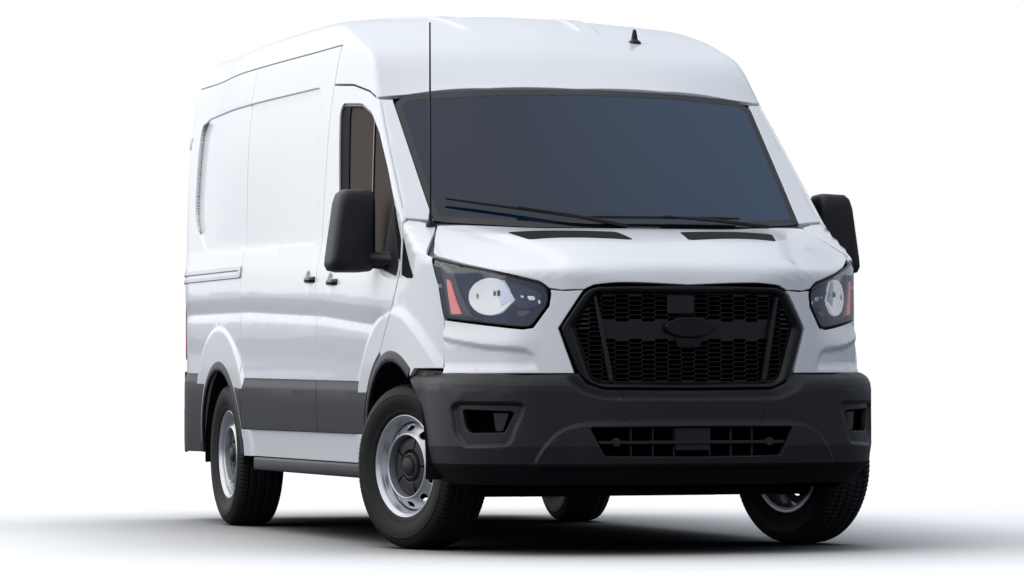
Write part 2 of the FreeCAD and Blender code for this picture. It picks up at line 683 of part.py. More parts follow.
keep("wheel_housings", Part.makeCompound(housings))

# Chassis rails, each with its bolt holes for a tow bar, the members between them and the outriggers
RAIL_OUT = size("rail_spacing") / 2
rail_half = size("rail_width") / 2
rail_low = floor_low - size("rail_height")
RAIL_FRONT = cab(0.125)
RAIL_REAR = load(0.945)
rails = []
for name, side in SIDES:
    x = side * RAIL_OUT
    bar = box_between((x - rail_half, RAIL_FRONT, rail_low), (x + rail_half, RAIL_REAR, floor_low))
    for row in (-1, 1):
        y = RAIL_REAR - size("tow_bar_setback") + row * size("tow_bar_pitch") / 2
        bar = bar.cut(Part.makeCylinder(size("tow_bar_hole_radius"), size("rail_height"), Vector(x, y, rail_low)))
    rails.append(bar)
INNER_REACH = RAIL_OUT - rail_half - size("running_gap")
OUTER_START = RAIL_OUT + rail_half + size("running_gap")
cross_high = rail_low + size("crossmember_height")
CROSS_PLACES = (RAIL_FRONT, load(-0.16), load(0.20), load(0.42), RAIL_REAR - size("crossmember_width"))
for y in CROSS_PLACES:
    rails.append(box_between((-INNER_REACH, y, rail_low), (INNER_REACH, y + size("crossmember_width"), cross_high)))
outrigger_low = floor_low - size("crossmember_height")
for y in (load(-0.09), load(0.14), load(0.36)):
    end = y + size("rail_width")
    rails.append(box_between((-INNER_REACH, y, outrigger_low), (INNER_REACH, end, floor_low)))
    rails.append(box_between((-out(0.925), y, outrigger_low), (-OUTER_START, end, floor_low)))
    rails.append(box_between((OUTER_START, y, outrigger_low), (out(0.925), end, floor_low)))
keep("chassis_rails", Part.makeCompound(rails))

# Engine, driveline, tank and exhaust
engine = bound_box("engine_block", [f"-{out_at(0.26)}", cab_at(0.205), level_at(0.165)],
                   [out_at(0.26), cab_at(0.445), level_at(0.375)])
parts.append(engine)
shaft_height = "tyre_radius + shaft_lift"
pinion = "sqrt(diff_radius ^ 2 - (shaft_lift - shaft_radius) ^ 2)"
shaft_end = f"front_overhang + wheelbase - length / 2 - {pinion} - running_gap"
gearbox = primitive("Cone", "gearbox", ["0", cab_at(0.445), shaft_height], ALONG_Y, Radius1="gearbox_radius",
                    Radius2="gearbox_radius * gearbox_end_share", Height=f"{cab_at(0.80)} - {cab_at(0.445)}")
shaft = primitive("Cylinder", "shaft", ["0", cab_at(0.79), shaft_height], ALONG_Y, Radius="shaft_radius",
                  Height=f"{shaft_end} - {cab_at(0.79)}")
gather("driveline", [gearbox, shaft])
tank = box_between((out(0.49), load(-0.10), rail_low - size("tank_drop")),
                   (out(0.86), load(0.17), floor_low - size("crossmember_height") - size("running_gap")))
keep("fuel_tank", tank.makeFillet(size("tank_fillet"), [e for e in tank.Edges if abs(e.tangentAt(0).y) > 0.9]))
pipe_x = f"-{out_at(0.27)}"
pipe = primitive("Cylinder", "exhaust_pipe", [pipe_x, cab_at(0.46), shaft_height], ALONG_Y, Radius="pipe_radius",
                 Height=f"{load_at(0.50)} - {cab_at(0.46)}")
silencer = primitive("Cylinder", "silencer", [pipe_x, load_at(0.06), shaft_height], ALONG_Y, Radius="silencer_radius",
                     Height=f"{load_at(0.30)} - {load_at(0.06)}")
hanger_top = "(floor_top_height - floor_thickness - crossmember_height - running_gap)"
hangers = [
    bound_box(name, [f"{pipe_x} - hanger_width / 2", load_at(share), f"({shaft_height})"],
              [f"({pipe_x} + hanger_width / 2)", f"({load_at(share)} + rail_width)", hanger_top])
    for name, share in (("front_hanger", -0.09), ("rear_hanger", 0.36))
]
gather("exhaust", [pipe, silencer] + hangers)

# Wheels: tyre and rim turned about +X from a wheel in the middle of the axle
RIM_HALF = size("rim_width") / 2
RIM_RADIUS = size("rim_radius")
TYRE_HALF = size("tyre_width") / 2
SLOT_COUNT = 10


def turned(points):
    """Solid turned about the X axis from an outline of (along, radius)."""
    face = closed([Vector(a, 0, r) for a, r in points])
    return face.revolve(Vector(), Vector(1, 0, 0), 360)


def tyre_shape():
    """Tyre with its beads between the rim's flanges."""
    shoulder = size("tyre_shoulder")
    bead = RIM_HALF - size("rim_thickness") - size("wheel_fit")
    seat = RIM_RADIUS + size("wheel_fit")
    flange = size("rim_flange_radius") + size("wheel_fit")
    crown = size("tyre_crown")
    half = [
        (bead, seat), (bead, flange), (TYRE_HALF * 0.93, flange + shoulder * 0.5),
        (TYRE_HALF, (flange + TYRE_RADIUS) / 2), (TYRE_HALF - crown, TYRE_RADIUS - shoulder),
        (TYRE_HALF - shoulder * 0.7, TYRE_RADIUS - crown), (TYRE_HALF - shoulder * 1.3, TYRE_RADIUS),
    ]
    return turned([(-a, r) for a, r in half] + [(a, r) for a, r in reversed(half)])


def rim_shape():
    """Steel rim with its disc on the +X side, a raised ring, slots and a centre cap."""
    wall = size("rim_thickness")
    flange = size("rim_flange_radius")
    disc = size("rim_offset")
    dish = size("rim_dish")
    bore = size("hub_bore_radius")
    cap = size("hub_cap_radius")
    shape = turned([
        (-RIM_HALF, RIM_RADIUS - wall), (-RIM_HALF, flange), (-RIM_HALF + wall, flange),
        (-RIM_HALF + wall, RIM_RADIUS), (RIM_HALF - wall, RIM_RADIUS), (RIM_HALF - wall, flange),
        (RIM_HALF, flange), (RIM_HALF, RIM_RADIUS - wall),
    ])
    disc_face = turned([
        (disc - wall, bore), (disc, bore), (disc, cap + wall), (disc + dish - wall, cap + dish),
        (disc + dish - wall, cap + dish + wall * 2), (disc, RIM_RADIUS - wall), (disc - wall * 2, RIM_RADIUS),
        (disc - wall * 3, RIM_RADIUS - wall * 2), (disc - wall, RIM_RADIUS - wall * 3),
        (disc + dish - wall * 2, cap + dish + wall), (disc - wall, cap + wall),
    ])
    centre = turned([(disc, 0), (disc, cap), (disc + size("hub_cap_depth") * 0.6, cap * 0.94),
                     (disc + size("hub_cap_depth") * 0.8, cap * 0.6), (disc + size("hub_cap_depth"), cap * 0.35),
                     (disc + size("hub_cap_depth"), 0)])
    shape = shape.fuse([disc_face, centre])
    slot_place = Vector(0, 0, (cap + dish + wall * 2 + RIM_RADIUS - wall) / 2)
    for index in range(SLOT_COUNT):
        slot = Part.makeCylinder(size("rim_slot_radius"), TYRE_HALF, slot_place, Vector(1, 0, 0))
        slot.rotate(Vector(), Vector(1, 0, 0), 360 * index / SLOT_COUNT)
        shape = shape.cut(slot)
    return shape


STEER = FreeCAD.Rotation(Vector(0, 0, 1), size("steer_rest_angle_share"))
HALF_TURN = FreeCAD.Rotation(Vector(0, 0, 1), 180)
WHEELS = []
for end, axle, track in (("front", FRONT_AXLE, size("front_track")), ("rear", REAR_AXLE, size("rear_track"))):
    for name, side in SIDES:
        turn = FreeCAD.Rotation() if side > 0 else HALF_TURN
        if end == "front":
            turn = STEER.multiply(turn)
        place = FreeCAD.Placement(Vector(side * track / 2, axle, TYRE_RADIUS), turn)
        WHEELS.append((end, name, place))
for end, name, place in WHEELS:
    for kind, shape in (("tyre", tyre_shape()), ("rim", rim_shape())):
        piece = keep(f"{kind}_{end}_{name}", shape, False)
        piece.Placement = place

# Steering knuckles with their hubs, and the arms that carry them
KING_X = size("front_track") / 2
hub_reach = size("rim_offset") - size("rim_thickness") - size("wheel_fit")
arm_lift = size("arm_lift")
pin_radius = size("king_pin_radius")
for name, side in SIDES:
    hub = Part.makeCylinder(size("hub_radius"), hub_reach * 2, Vector(-hub_reach, 0, 0), Vector(1, 0, 0))
    stub = Part.makeCylinder(size("hub_bore_radius") - size("running_gap"), hub_reach + size("rim_thickness"),
                             Vector(0, 0, 0), Vector(1, 0, 0))
    brake = Part.makeCylinder(size("brake_radius"), size("rim_thickness"),
                              Vector(hub_reach - size("rim_thickness"), 0, 0), Vector(1, 0, 0))
    pin = Part.makeCylinder(pin_radius, 2 * arm_lift + size("arm_height"),
                            Vector(0, 0, -arm_lift - size("arm_height") / 2))
    knuckle = hub.fuse([stub, brake, pin])
    turn = STEER if side > 0 else STEER.multiply(HALF_TURN)
    piece = keep("knuckle_" + name, knuckle)
    piece.Placement = FreeCAD.Placement(Vector(side * KING_X, FRONT_AXLE, TYRE_RADIUS), turn)

arm_half = size("arm_width") / 2
STRUT_X = out(0.62)
carrier = None
for name, side in SIDES:
    for lift in (-arm_lift, arm_lift):
        low = TYRE_RADIUS + lift - size("arm_height") / 2
        inner = out(0.38) if lift < 0 else STRUT_X
        xs = sorted((side * inner, side * KING_X))
        arm = box_between((xs[0], FRONT_AXLE - arm_half, low), (xs[1], FRONT_AXLE + arm_half, low + size("arm_height")))
        eye = Part.makeCylinder(arm_half, size("arm_height"), Vector(side * KING_X, FRONT_AXLE, low))
        arm = arm.fuse(eye)
        hole = Part.makeCylinder(pin_radius + size("running_gap"), size("arm_height"),
                                 Vector(side * KING_X, FRONT_AXLE, low))
        arm = arm.cut(hole)
        carrier = arm if carrier is None else carrier.fuse(arm)
    strut = Part.makeCylinder(size("strut_radius"), size("front_arch_radius") + arm_lift - size("strut_clearance"),
                              Vector(side * STRUT_X, FRONT_AXLE, TYRE_RADIUS - arm_lift))
    carrier = carrier.fuse(strut)
beam_low = TYRE_RADIUS - arm_lift - size("arm_height") / 2
beam = box_between((-out(0.44), FRONT_AXLE - size("arm_width"), beam_low),
                   (out(0.44), FRONT_AXLE + size("arm_width"), beam_low + size("beam_height")))
keep("front_subframe", carrier.fuse(beam))

# Rear axle with its differential, hubs and leaf springs
axle_reach = size("rear_track") / 2 + hub_reach
tube = Part.makeCylinder(size("axle_radius"), 2 * out(0.68), Vector(-out(0.68), REAR_AXLE, TYRE_RADIUS), Vector(1, 0, 0))
stub_reach = axle_reach + size("rim_thickness")
stubs = Part.makeCylinder(size("hub_bore_radius") - size("running_gap"), 2 * stub_reach,
                          Vector(-stub_reach, REAR_AXLE, TYRE_RADIUS), Vector(1, 0, 0))
hubs = Part.makeCylinder(size("hub_radius"), 2 * axle_reach, Vector(-axle_reach, REAR_AXLE, TYRE_RADIUS), Vector(1, 0, 0))
diff_half = size("diff_width") / 2
diff = Part.makeCylinder(size("diff_radius"), 2 * diff_half, Vector(-diff_half, REAR_AXLE, TYRE_RADIUS),
                         Vector(1, 0, 0))
rear = tube.fuse([stubs, hubs, diff])
SPRING_X = out(0.565)
spring_half = size("spring_width") / 2
spring_low = TYRE_RADIUS + size("axle_radius")
for name, side in SIDES:
    x = side * SPRING_X
    reach = size("spring_length") / 2
    leaf = box_between((x - spring_half, REAR_AXLE - reach, spring_low + size("spring_thickness")),
                       (x + spring_half, REAR_AXLE + reach, spring_low + 2 * size("spring_thickness")))
    pad = box_between((x - spring_half, REAR_AXLE - reach / 2, spring_low - size("axle_radius") / 2),
                      (x + spring_half, REAR_AXLE + reach / 2, spring_low + size("spring_thickness")))
    rear = rear.fuse([leaf, pad])
    for end in (-1, 1):
        y = REAR_AXLE + end * (reach - size("spring_thickness"))
        hanger = box_between((x - spring_half, y - size("spring_thickness"), spring_low + size("spring_thickness")),
                             (x + spring_half, y + size("spring_thickness"), floor_low - size("running_gap")))
        rear = rear.fuse(hanger)
keep("rear_axle", rear)

# Rear bumper, cladding, running boards, slide rail and tail lamps
bumper_plan = mirrored([(0.0, REAR), (out(0.80), REAR), (out(0.95), load(0.985)), (out(0.99), load(0.955)),
                        (out(0.99), load(0.93)), (0.0, load(0.93))])
tail_bar = plan_prism(bumper_plan, 0.0, level(0.14), level(0.237))
tail_bar = tail_bar.cut(skin(-size("cladding_seat")))
tail_bar = tail_bar.cut(box_between((-out(0.93), FRONT, 0), (out(0.93), RAIL_REAR, HEIGHT)))
keep("rear_bumper", tail_bar)

cladding = layer(-size("cladding_thickness"), -size("cladding_seat"))
zone = box_between((-WIDE, FRONT, size("sill_bottom_height")), (WIDE, load(0.93) - GAP, HEIGHT))
pieces = []
front_ring = cross_cylinder(FRONT_TRIM_RADIUS, FRONT_AXLE, TYRE_RADIUS, size("front_arch_radius"))
rear_ring = cross_cylinder(REAR_TRIM_RADIUS, REAR_AXLE, TYRE_RADIUS, size("rear_arch_radius"))
rear_round = cross_cylinder(REAR_TRIM_RADIUS + GAP / 2, REAR_AXLE, TYRE_RADIUS)
strips = (
    (-1, SEAM, SLIDER_END), (-1, SLIDER_END, REAR_AXLE), (-1, REAR_AXLE, load(0.93)),
    (1, SEAM, REAR_AXLE), (1, REAR_AXLE, load(0.93)),
)
for name, side in SIDES:
    for band in (front_ring, rear_ring):
        pieces.append(one_side(band, side))
for side, start, end in strips:
    low = size("sill_bottom_height") if start == REAR_AXLE else size("sill_top_height")
    outline = [(start, low), (end, low), (end, size("cladding_top_height")), (start, size("cladding_top_height"))]
    pieces.append(side_prism(outline, side, -GAP / 2).cut(rear_round))
keep("side_cladding", Part.makeCompound([cladding.common(piece).common(zone) for piece in pieces]))

board_start = "(front_overhang - length / 2 + front_arch_radius + overrun)"
board_end = "(front_overhang + wheelbase - length / 2 - rear_arch_radius - overrun)"
board_ends = {"right": (f"-{out_at(0.975)}", f"-{out_at(0.80)}"), "left": (out_at(0.80), out_at(0.975))}
boards = [
    bound_box("board_" + name, [board_ends[name][0], board_start, level_at(0.115)],
              [board_ends[name][1], board_end, "(sill_bottom_height - running_gap)"])
    for name, side in SIDES
]
gather("running_boards", boards, "Compound")

rail_outline = [(SLIDER_END + GAP, level(0.4865)), (load(0.935), level(0.4865)), (load(0.935), level(0.511)),
                (SLIDER_END + GAP, level(0.511))]
keep("slide_rail", layer(-size("rail_rise"), -size("cladding_seat")).common(side_prism(rail_outline, -1)))

lamps = []
for name, side in SIDES:
    xs = sorted((side * out(0.845), side * out(0.965)))
    block = box_between((xs[0], load(0.94), level(0.33)), (xs[1], REAR + OVERRUN, level(0.52)))
    lamps.append(layer(-size("lamp_rise"), -size("cladding_seat")).common(block))
keep("tail_lamps", Part.makeCompound(lamps))

# Cab: dashboard with its column, steering wheel and seats
dash = box_between((-out(0.78), cab(0.44), size("dash_bottom_height")), (out(0.78), cab(0.65), level(0.535)))
COLUMN_TILT = FreeCAD.Rotation(Vector(1, 0, 0), size("column_tilt_share"))
column_axis = COLUMN_TILT.multVec(Vector(0, 0, 1))
WHEEL_PLACE = Vector(out(0.43), cab(0.715), level(0.530))
column_foot = WHEEL_PLACE - column_axis * size("column_length")
column = Part.makeCylinder(size("column_radius"), size("column_length") - size("steering_hub_depth") / 2
                           - size("running_gap"), column_foot, column_axis)
keep("dashboard", dash.fuse(column))
grip = Part.makeTorus(size("steering_wheel_radius"), size("steering_rim_radius"))
hub = Part.makeCylinder(size("steering_hub_radius"), size("steering_hub_depth"),
                        Vector(0, 0, -size("steering_hub_depth") / 2))
spokes = [Part.makeBox(size("steering_wheel_radius"), size("steering_rim_radius") * 2, size("steering_rim_radius"),
                       Vector(0, -size("steering_rim_radius"), -size("steering_rim_radius") / 2)) for i in range(3)]
for spoke, angle in zip(spokes, (0, 180, 270)):
    spoke.rotate(Vector(), Vector(0, 0, 1), angle)
piece = keep("steering_wheel", grip.fuse([hub] + spokes))
piece.Placement = FreeCAD.Placement(WHEEL_PLACE, COLUMN_TILT)

# Each seat's base, cushion, back and head rest: half width, front, rear, bottom and top
SEAT_SHARES = {
    "base": (0.8, 0.79, 0.95, None, 0.415), "cushion": (1.0, 0.76, 0.975, 0.415, 0.465),
    "back": (1.0, 0.925, 0.985, 0.45, 0.70), "head": (0.5, 0.935, 0.98, 0.69, 0.77),
}
seats = []
for name, side in SIDES:
    middle = f"({side} * {out_at(0.44)})"
    pieces = []
    for piece, (half, front, rear, bottom, top) in SEAT_SHARES.items():
        reach = f"seat_width / 2 * {half}"
        low = level_at(bottom) if bottom else "floor_top_height"
        pieces.append(bound_box(f"seat_{piece}_{name}", [f"{middle} - {reach}", cab_at(front), low],
                                [f"({middle} + {reach})", cab_at(rear), level_at(top)]))
    seat = doc.addObject("Part::MultiFuse", "seat_" + name)
    seat.Shapes = pieces
    seat.Refine = True
    seats.append(seat)
gather("seats", seats, "Compound")

# Mirrors, aerials and wipers
MIRROR_Y = cab(0.535)
MIRROR_LOW = size("mirror_bottom_height")
sail_layer = layer(-size("sail_rise"), size("sail_depth"))


def upright(x, y, z, depth, height):
    """Closed rectangle across the van, from a corner."""
    corners = [Vector(x, y, z), Vector(x, y + depth, z), Vector(x, y + depth, z + height), Vector(x, y, z + height)]
    return Part.makePolygon(corners + corners[:1])


for name, side in SIDES:
    inner = size("mirror_reach") + HALF_WIDTH - size("mirror_width")
    xs = sorted((side * inner, side * (inner + size("mirror_width"))))
    head = box_between((xs[0], MIRROR_Y, MIRROR_LOW),
                       (xs[1], MIRROR_Y + size("mirror_depth"), MIRROR_LOW + size("mirror_height")))
    head = head.makeFillet(size("mirror_fillet"), head.Edges)
    arm_z = MIRROR_LOW + OVERRUN
    arm = Part.makeLoft([
        upright(side * (inner + OVERRUN), MIRROR_Y + OVERRUN, arm_z, size("mirror_arm_depth"), size("mirror_arm_height")),
        upright(side * out(0.956), cab(0.465), arm_z, size("mirror_arm_depth"), size("mirror_arm_height")),
    ], True, True)
    sail = sail_layer.common(side_prism(inset(SAIL, size("glass_gap")), side))
    keep("mirror_" + name, head.fuse([arm, sail]))

MAST_PLACE = Vector(-out(0.862), cab(0.398), level(0.545))
mast = Part.makeCone(size("mast_base_radius"), size("mast_radius"), size("mast_base_height"), MAST_PLACE)
mast = mast.fuse(Part.makeCylinder(size("mast_radius"), size("mast_length"), MAST_PLACE))
fin = Part.makeCone(size("fin_length") / 2, size("mast_base_radius") / 2, size("fin_height") * 2,
                    Vector(out(0.44), cab(0.905), level(0.86)))
keep("aerials", Part.makeCompound([mast.cut(skin(-size("cladding_seat"))), fin.cut(skin(-size("cladding_seat")))]))

wiper_lines = (((-0.76, 0.585), (-0.20, 0.556)), ((-0.22, 0.560), (0.50, 0.558)))
blades = []
for (x1, z1), (x2, z2) in wiper_lines:
    rise = size("wiper_width") / 2
    blade = nose_prism([(out(x1), level(z1) - rise), (out(x2), level(z2) - rise),
                        (out(x2), level(z2) + rise), (out(x1), level(z1) + rise)], 0.0, FRONT, cab(0.6))
    blades.append(layer(-size("wiper_depth"), size("glass_inset") - size("running_gap")).common(blade))
keep("wipers", Part.makeCompound(blades[:1] + [blades[1].cut(blades[0])]))

doc.recompute()
for piece in doc.Objects:
    if "Invalid" in piece.State or "Error" in piece.State:
        raise RuntimeError(f"{piece.Label} failed to build")
for piece in parts:
    if piece.Shape.isNull() or not piece.Shape.isValid():
        raise RuntimeError(f"{piece.Label} has no valid shape")
for piece in parts:
    piece.Shape.exportStep(f"parts/{piece.Label}.step")
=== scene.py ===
"""Looks of the panel van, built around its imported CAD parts.

Lengths are metres. +Z is up, the van drives towards -Y, and its right side is at -X.
"""

import json
import logging
import math
from dataclasses import dataclass, field
from enum import Enum
from typing import Callable, Iterable, Optional, Sequence

import bmesh
import bpy
import numpy as np
from mathutils import Matrix, Vector
from mathutils.geometry import delaunay_2d_cdt

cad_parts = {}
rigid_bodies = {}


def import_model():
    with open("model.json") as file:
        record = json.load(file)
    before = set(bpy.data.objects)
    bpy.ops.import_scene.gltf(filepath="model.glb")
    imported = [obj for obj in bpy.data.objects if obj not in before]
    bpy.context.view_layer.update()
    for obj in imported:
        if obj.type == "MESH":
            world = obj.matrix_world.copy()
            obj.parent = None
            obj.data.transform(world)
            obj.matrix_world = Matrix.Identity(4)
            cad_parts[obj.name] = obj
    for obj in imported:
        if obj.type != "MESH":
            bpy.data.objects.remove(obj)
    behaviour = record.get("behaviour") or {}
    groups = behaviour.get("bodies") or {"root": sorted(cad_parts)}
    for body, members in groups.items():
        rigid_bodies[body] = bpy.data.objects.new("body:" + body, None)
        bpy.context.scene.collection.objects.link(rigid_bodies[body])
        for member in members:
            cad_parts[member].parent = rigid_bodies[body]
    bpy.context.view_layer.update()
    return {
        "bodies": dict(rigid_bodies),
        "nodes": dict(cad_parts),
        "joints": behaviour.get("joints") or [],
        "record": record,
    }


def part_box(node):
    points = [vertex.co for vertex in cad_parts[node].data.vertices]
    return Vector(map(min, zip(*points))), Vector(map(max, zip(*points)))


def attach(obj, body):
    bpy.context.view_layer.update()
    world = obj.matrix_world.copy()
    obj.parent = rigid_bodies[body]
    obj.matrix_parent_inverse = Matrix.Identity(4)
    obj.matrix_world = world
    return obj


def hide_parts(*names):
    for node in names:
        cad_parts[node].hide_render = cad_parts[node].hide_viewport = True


LOG = logging.getLogger("van")
Points = Sequence[tuple[float, float]]
Array = np.ndarray

RIGHT = -1
LEFT = 1
SIDES = {"right": RIGHT, "left": LEFT}

FRONT_AXLE = -1.7695
REAR_AXLE = 1.5305
HUB_HEIGHT = 0.356
SEAM = -0.457
SLIDER_END = 1.065
GAP = 0.005


class Body(str, Enum):
    """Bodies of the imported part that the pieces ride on."""

    VAN = "van"
    BONNET = "bonnet_body"


# ---------------------------------------------------------------- numbers and curves


def smooth_line(points: Points, per: int = 40) -> Array:
    """Sample a smooth curve through points.

    Args:
        points: Places the curve passes through.
        per: Samples between two places.

    Returns:
        The sampled curve, one row a sample.
    """
    p = np.asarray(points, float)
    p = np.vstack([2 * p[0] - p[1], p, 2 * p[-1] - p[-2]])
    rows = []
    for i in range(1, len(p) - 2):
        a, b, c, d = p[i - 1 : i + 3]
        t1 = math.sqrt(np.linalg.norm(b - a)) + 1e-9
        t2 = t1 + math.sqrt(np.linalg.norm(c - b)) + 1e-9
        t3 = t2 + math.sqrt(np.linalg.norm(d - c)) + 1e-9
        t = np.linspace(t1, t2, per, endpoint=False)[:, None]
        a1 = (t1 - t) / t1 * a + t / t1 * b
        a2 = (t2 - t) / (t2 - t1) * b + (t - t1) / (t2 - t1) * c
        a3 = (t3 - t) / (t3 - t2) * c + (t - t2) / (t3 - t2) * d
        b1 = (t2 - t) / t2 * a1 + t / t2 * a2
        b2 = (t3 - t) / (t3 - t1) * a2 + (t - t1) / (t3 - t1) * a3
        rows.append((t2 - t) / (t2 - t1) * b1 + (t - t1) / (t2 - t1) * b2)
    rows.append(p[-2][None])
    return np.vstack(rows)


def lower(a: Array, b: Array, blend: float) -> Array:
    """Return the smaller of two values with a rounded changeover."""
    h = np.clip(0.5 + 0.5 * (b - a) / blend, 0, 1)
    return b * (1 - h) + a * h - blend * h * (1 - h)


def ramp(value: Array, start: float, end: float) -> Array:
    """Return a smooth step from 0 at start to 1 at end."""
    t = np.clip((value - start) / (end - start), 0, 1)
    return t * t * (3 - 2 * t)


def cubic_weights(t: Array) -> tuple[Array, Array, Array, Array]:
    """Return the weights of four neighbours for smooth interpolation.

    Args:
        t: Shares between two neighbours.

    Returns:
        Four weights a place.
    """
    return (
        -0.5 * t + t * t - 0.5 * t**3,
        1 - 2.5 * t * t + 1.5 * t**3,
        0.5 * t + 2 * t * t - 1.5 * t**3,
        -0.5 * t * t + 0.5 * t**3,
    )


def line_distance(p: Array, line: Array) -> Array:
    """Return signed distances to an open line, positive on its left.

    Args:
        p: Points, one row each.
        line: The line's points, one row each.

    Returns:
        One distance a point.
    """
    start, step = line[:-1], np.diff(line, axis=0)
    length2 = (step**2).sum(1)
    result = np.empty(len(p))
    for k in range(0, len(p), 4000):
        r = p[k : k + 4000, None] - start[None]
        t = np.clip((r * step).sum(2) / length2, 0, 1)
        away = r - t[:, :, None] * step
        far = np.sqrt((away**2).sum(2))
        m = far.argmin(1)
        rows = np.arange(len(m))
        cross = step[m, 0] * away[rows, m, 1] - step[m, 1] * away[rows, m, 0]
        result[k : k + 4000] = far[rows, m] * np.where(cross > 0, 1, -1)
    return result


def in_polygon(p: Array, polygon: Array) -> Array:
    """Tell which points lie in a closed polygon.

    Args:
        p: Points, one row each.
        polygon: The closed outline.

    Returns:
        One truth value a point.
    """
    x, y = p[:, 0], p[:, 1]
    hit = np.zeros(len(p), bool)
    for (x1, y1), (x2, y2) in zip(polygon, np.roll(polygon, -1, axis=0)):
        if y1 == y2:
            continue
        across = (y1 > y) != (y2 > y)
        hit ^= across & (x < (x2 - x1) * (y - y1) / (y2 - y1) + x1)
    return hit


def edge_distance(p: Array, polygon: Array) -> Array:
    """Return distances to a closed polygon's outline, positive inside.

    Args:
        p: Points, one row each.
        polygon: The closed outline.

    Returns:
        One distance a point.
    """
    closed = np.vstack([polygon, polygon[:1]])
    far = np.abs(line_distance(p, closed))
    return np.where(in_polygon(p, polygon), far, -far)


def rounded(points: Points, radius: float = 0.02, steps: int = 5) -> list[tuple[float, float]]:
    """Round the corners of a closed outline.

    Args:
        points: The outline's corners.
        radius: Length of edge that each rounding takes, at most.
        steps: Pieces a rounding is made of.

    Returns:
        The outline's points.
    """
    result = []
    n = len(points)
    for i in range(n):
        b = Vector(points[i])
        a, c = Vector(points[i - 1]), Vector(points[(i + 1) % n])
        ra = min(radius, (a - b).length * 0.45)
        rc = min(radius, (c - b).length * 0.45)
        s, e = b + (a - b).normalized() * ra, b + (c - b).normalized() * rc
        for k in range(steps + 1):
            t = k / steps
            q = s * (1 - t) ** 2 + b * 2 * t * (1 - t) + e * t**2
            result.append((q.x, q.y))
    return result


def densified(points: Points, spacing: float) -> Array:
    """Split a closed outline's edges so that none is longer than a spacing.

    Args:
        points: Places, in order.
        spacing: Longest edge.

    Returns:
        The outline's points, one row each.
    """
    rows = []
    n = len(points)
    for i in range(n):
        a, b = np.array(points[i], float), np.array(points[(i + 1) % n], float)
        count = max(1, int(math.ceil(np.linalg.norm(b - a) / spacing)))
        rows += [a + (b - a) * k / count for k in range(count)]
    return np.array(rows)


def shrunk(polygon: Array, depth: float) -> Array:
    """Move a closed outline inwards by a depth, whichever way round it runs.

    Args:
        polygon: The closed outline.
        depth: Distance to move by.

    Returns:
        The moved outline, one row a point.
    """
    before, after = np.roll(polygon, 1, axis=0), np.roll(polygon, -1, axis=0)
    d1, d2 = polygon - before, after - polygon
    d1 /= np.maximum(np.linalg.norm(d1, axis=1, keepdims=True), 1e-9)
    d2 /= np.maximum(np.linalg.norm(d2, axis=1, keepdims=True), 1e-9)
    area = (polygon[:, 0] * after[:, 1] - after[:, 0] * polygon[:, 1]).sum()
    turn = 1 if area > 0 else -1
    n = np.stack([-(d1 + d2)[:, 1], (d1 + d2)[:, 0]], 1) * turn
    size = np.linalg.norm(n, axis=1, keepdims=True)
    n /= np.maximum(size, 1e-9)
    spread = np.clip(size / 2, 0.5, 1)
    return polygon + n * depth / spread


def mirrored(points: Points) -> list[tuple[float, float]]:
    """Close an outline of points at x > 0 with its mirror image."""
    return list(points) + [(-x, y) for x, y in reversed(points) if x]


class Table:
    """Values on an even two-way grid, read with smooth interpolation."""

    def __init__(self, low: tuple[float, float], step: tuple[float, float], values: Array) -> None:
        """Keep the grid's corner, its steps and its values."""
        self.low, self.step, self.values = low, step, values

    def __call__(self, a: Array, b: Array) -> Array:
        """Read the table at places.

        Args:
            a: Places along the first axis.
            b: Places along the second axis.

        Returns:
            One value a place.
        """
        n = self.values.shape
        fa = np.clip((a - self.low[0]) / self.step[0], 1.001, n[0] - 3.001)
        fb = np.clip((b - self.low[1]) / self.step[1], 1.001, n[1] - 3.001)
        i, j = fa.astype(int), fb.astype(int)
        wi, wj = cubic_weights(fa - i), cubic_weights(fb - j)
        total = np.zeros(np.shape(fa))
        for p in range(4):
            for q in range(4):
                total = total + wi[p] * wj[q] * self.values[i + p - 1, j + q - 1]
        return total


# ---------------------------------------------------------------- the body's form


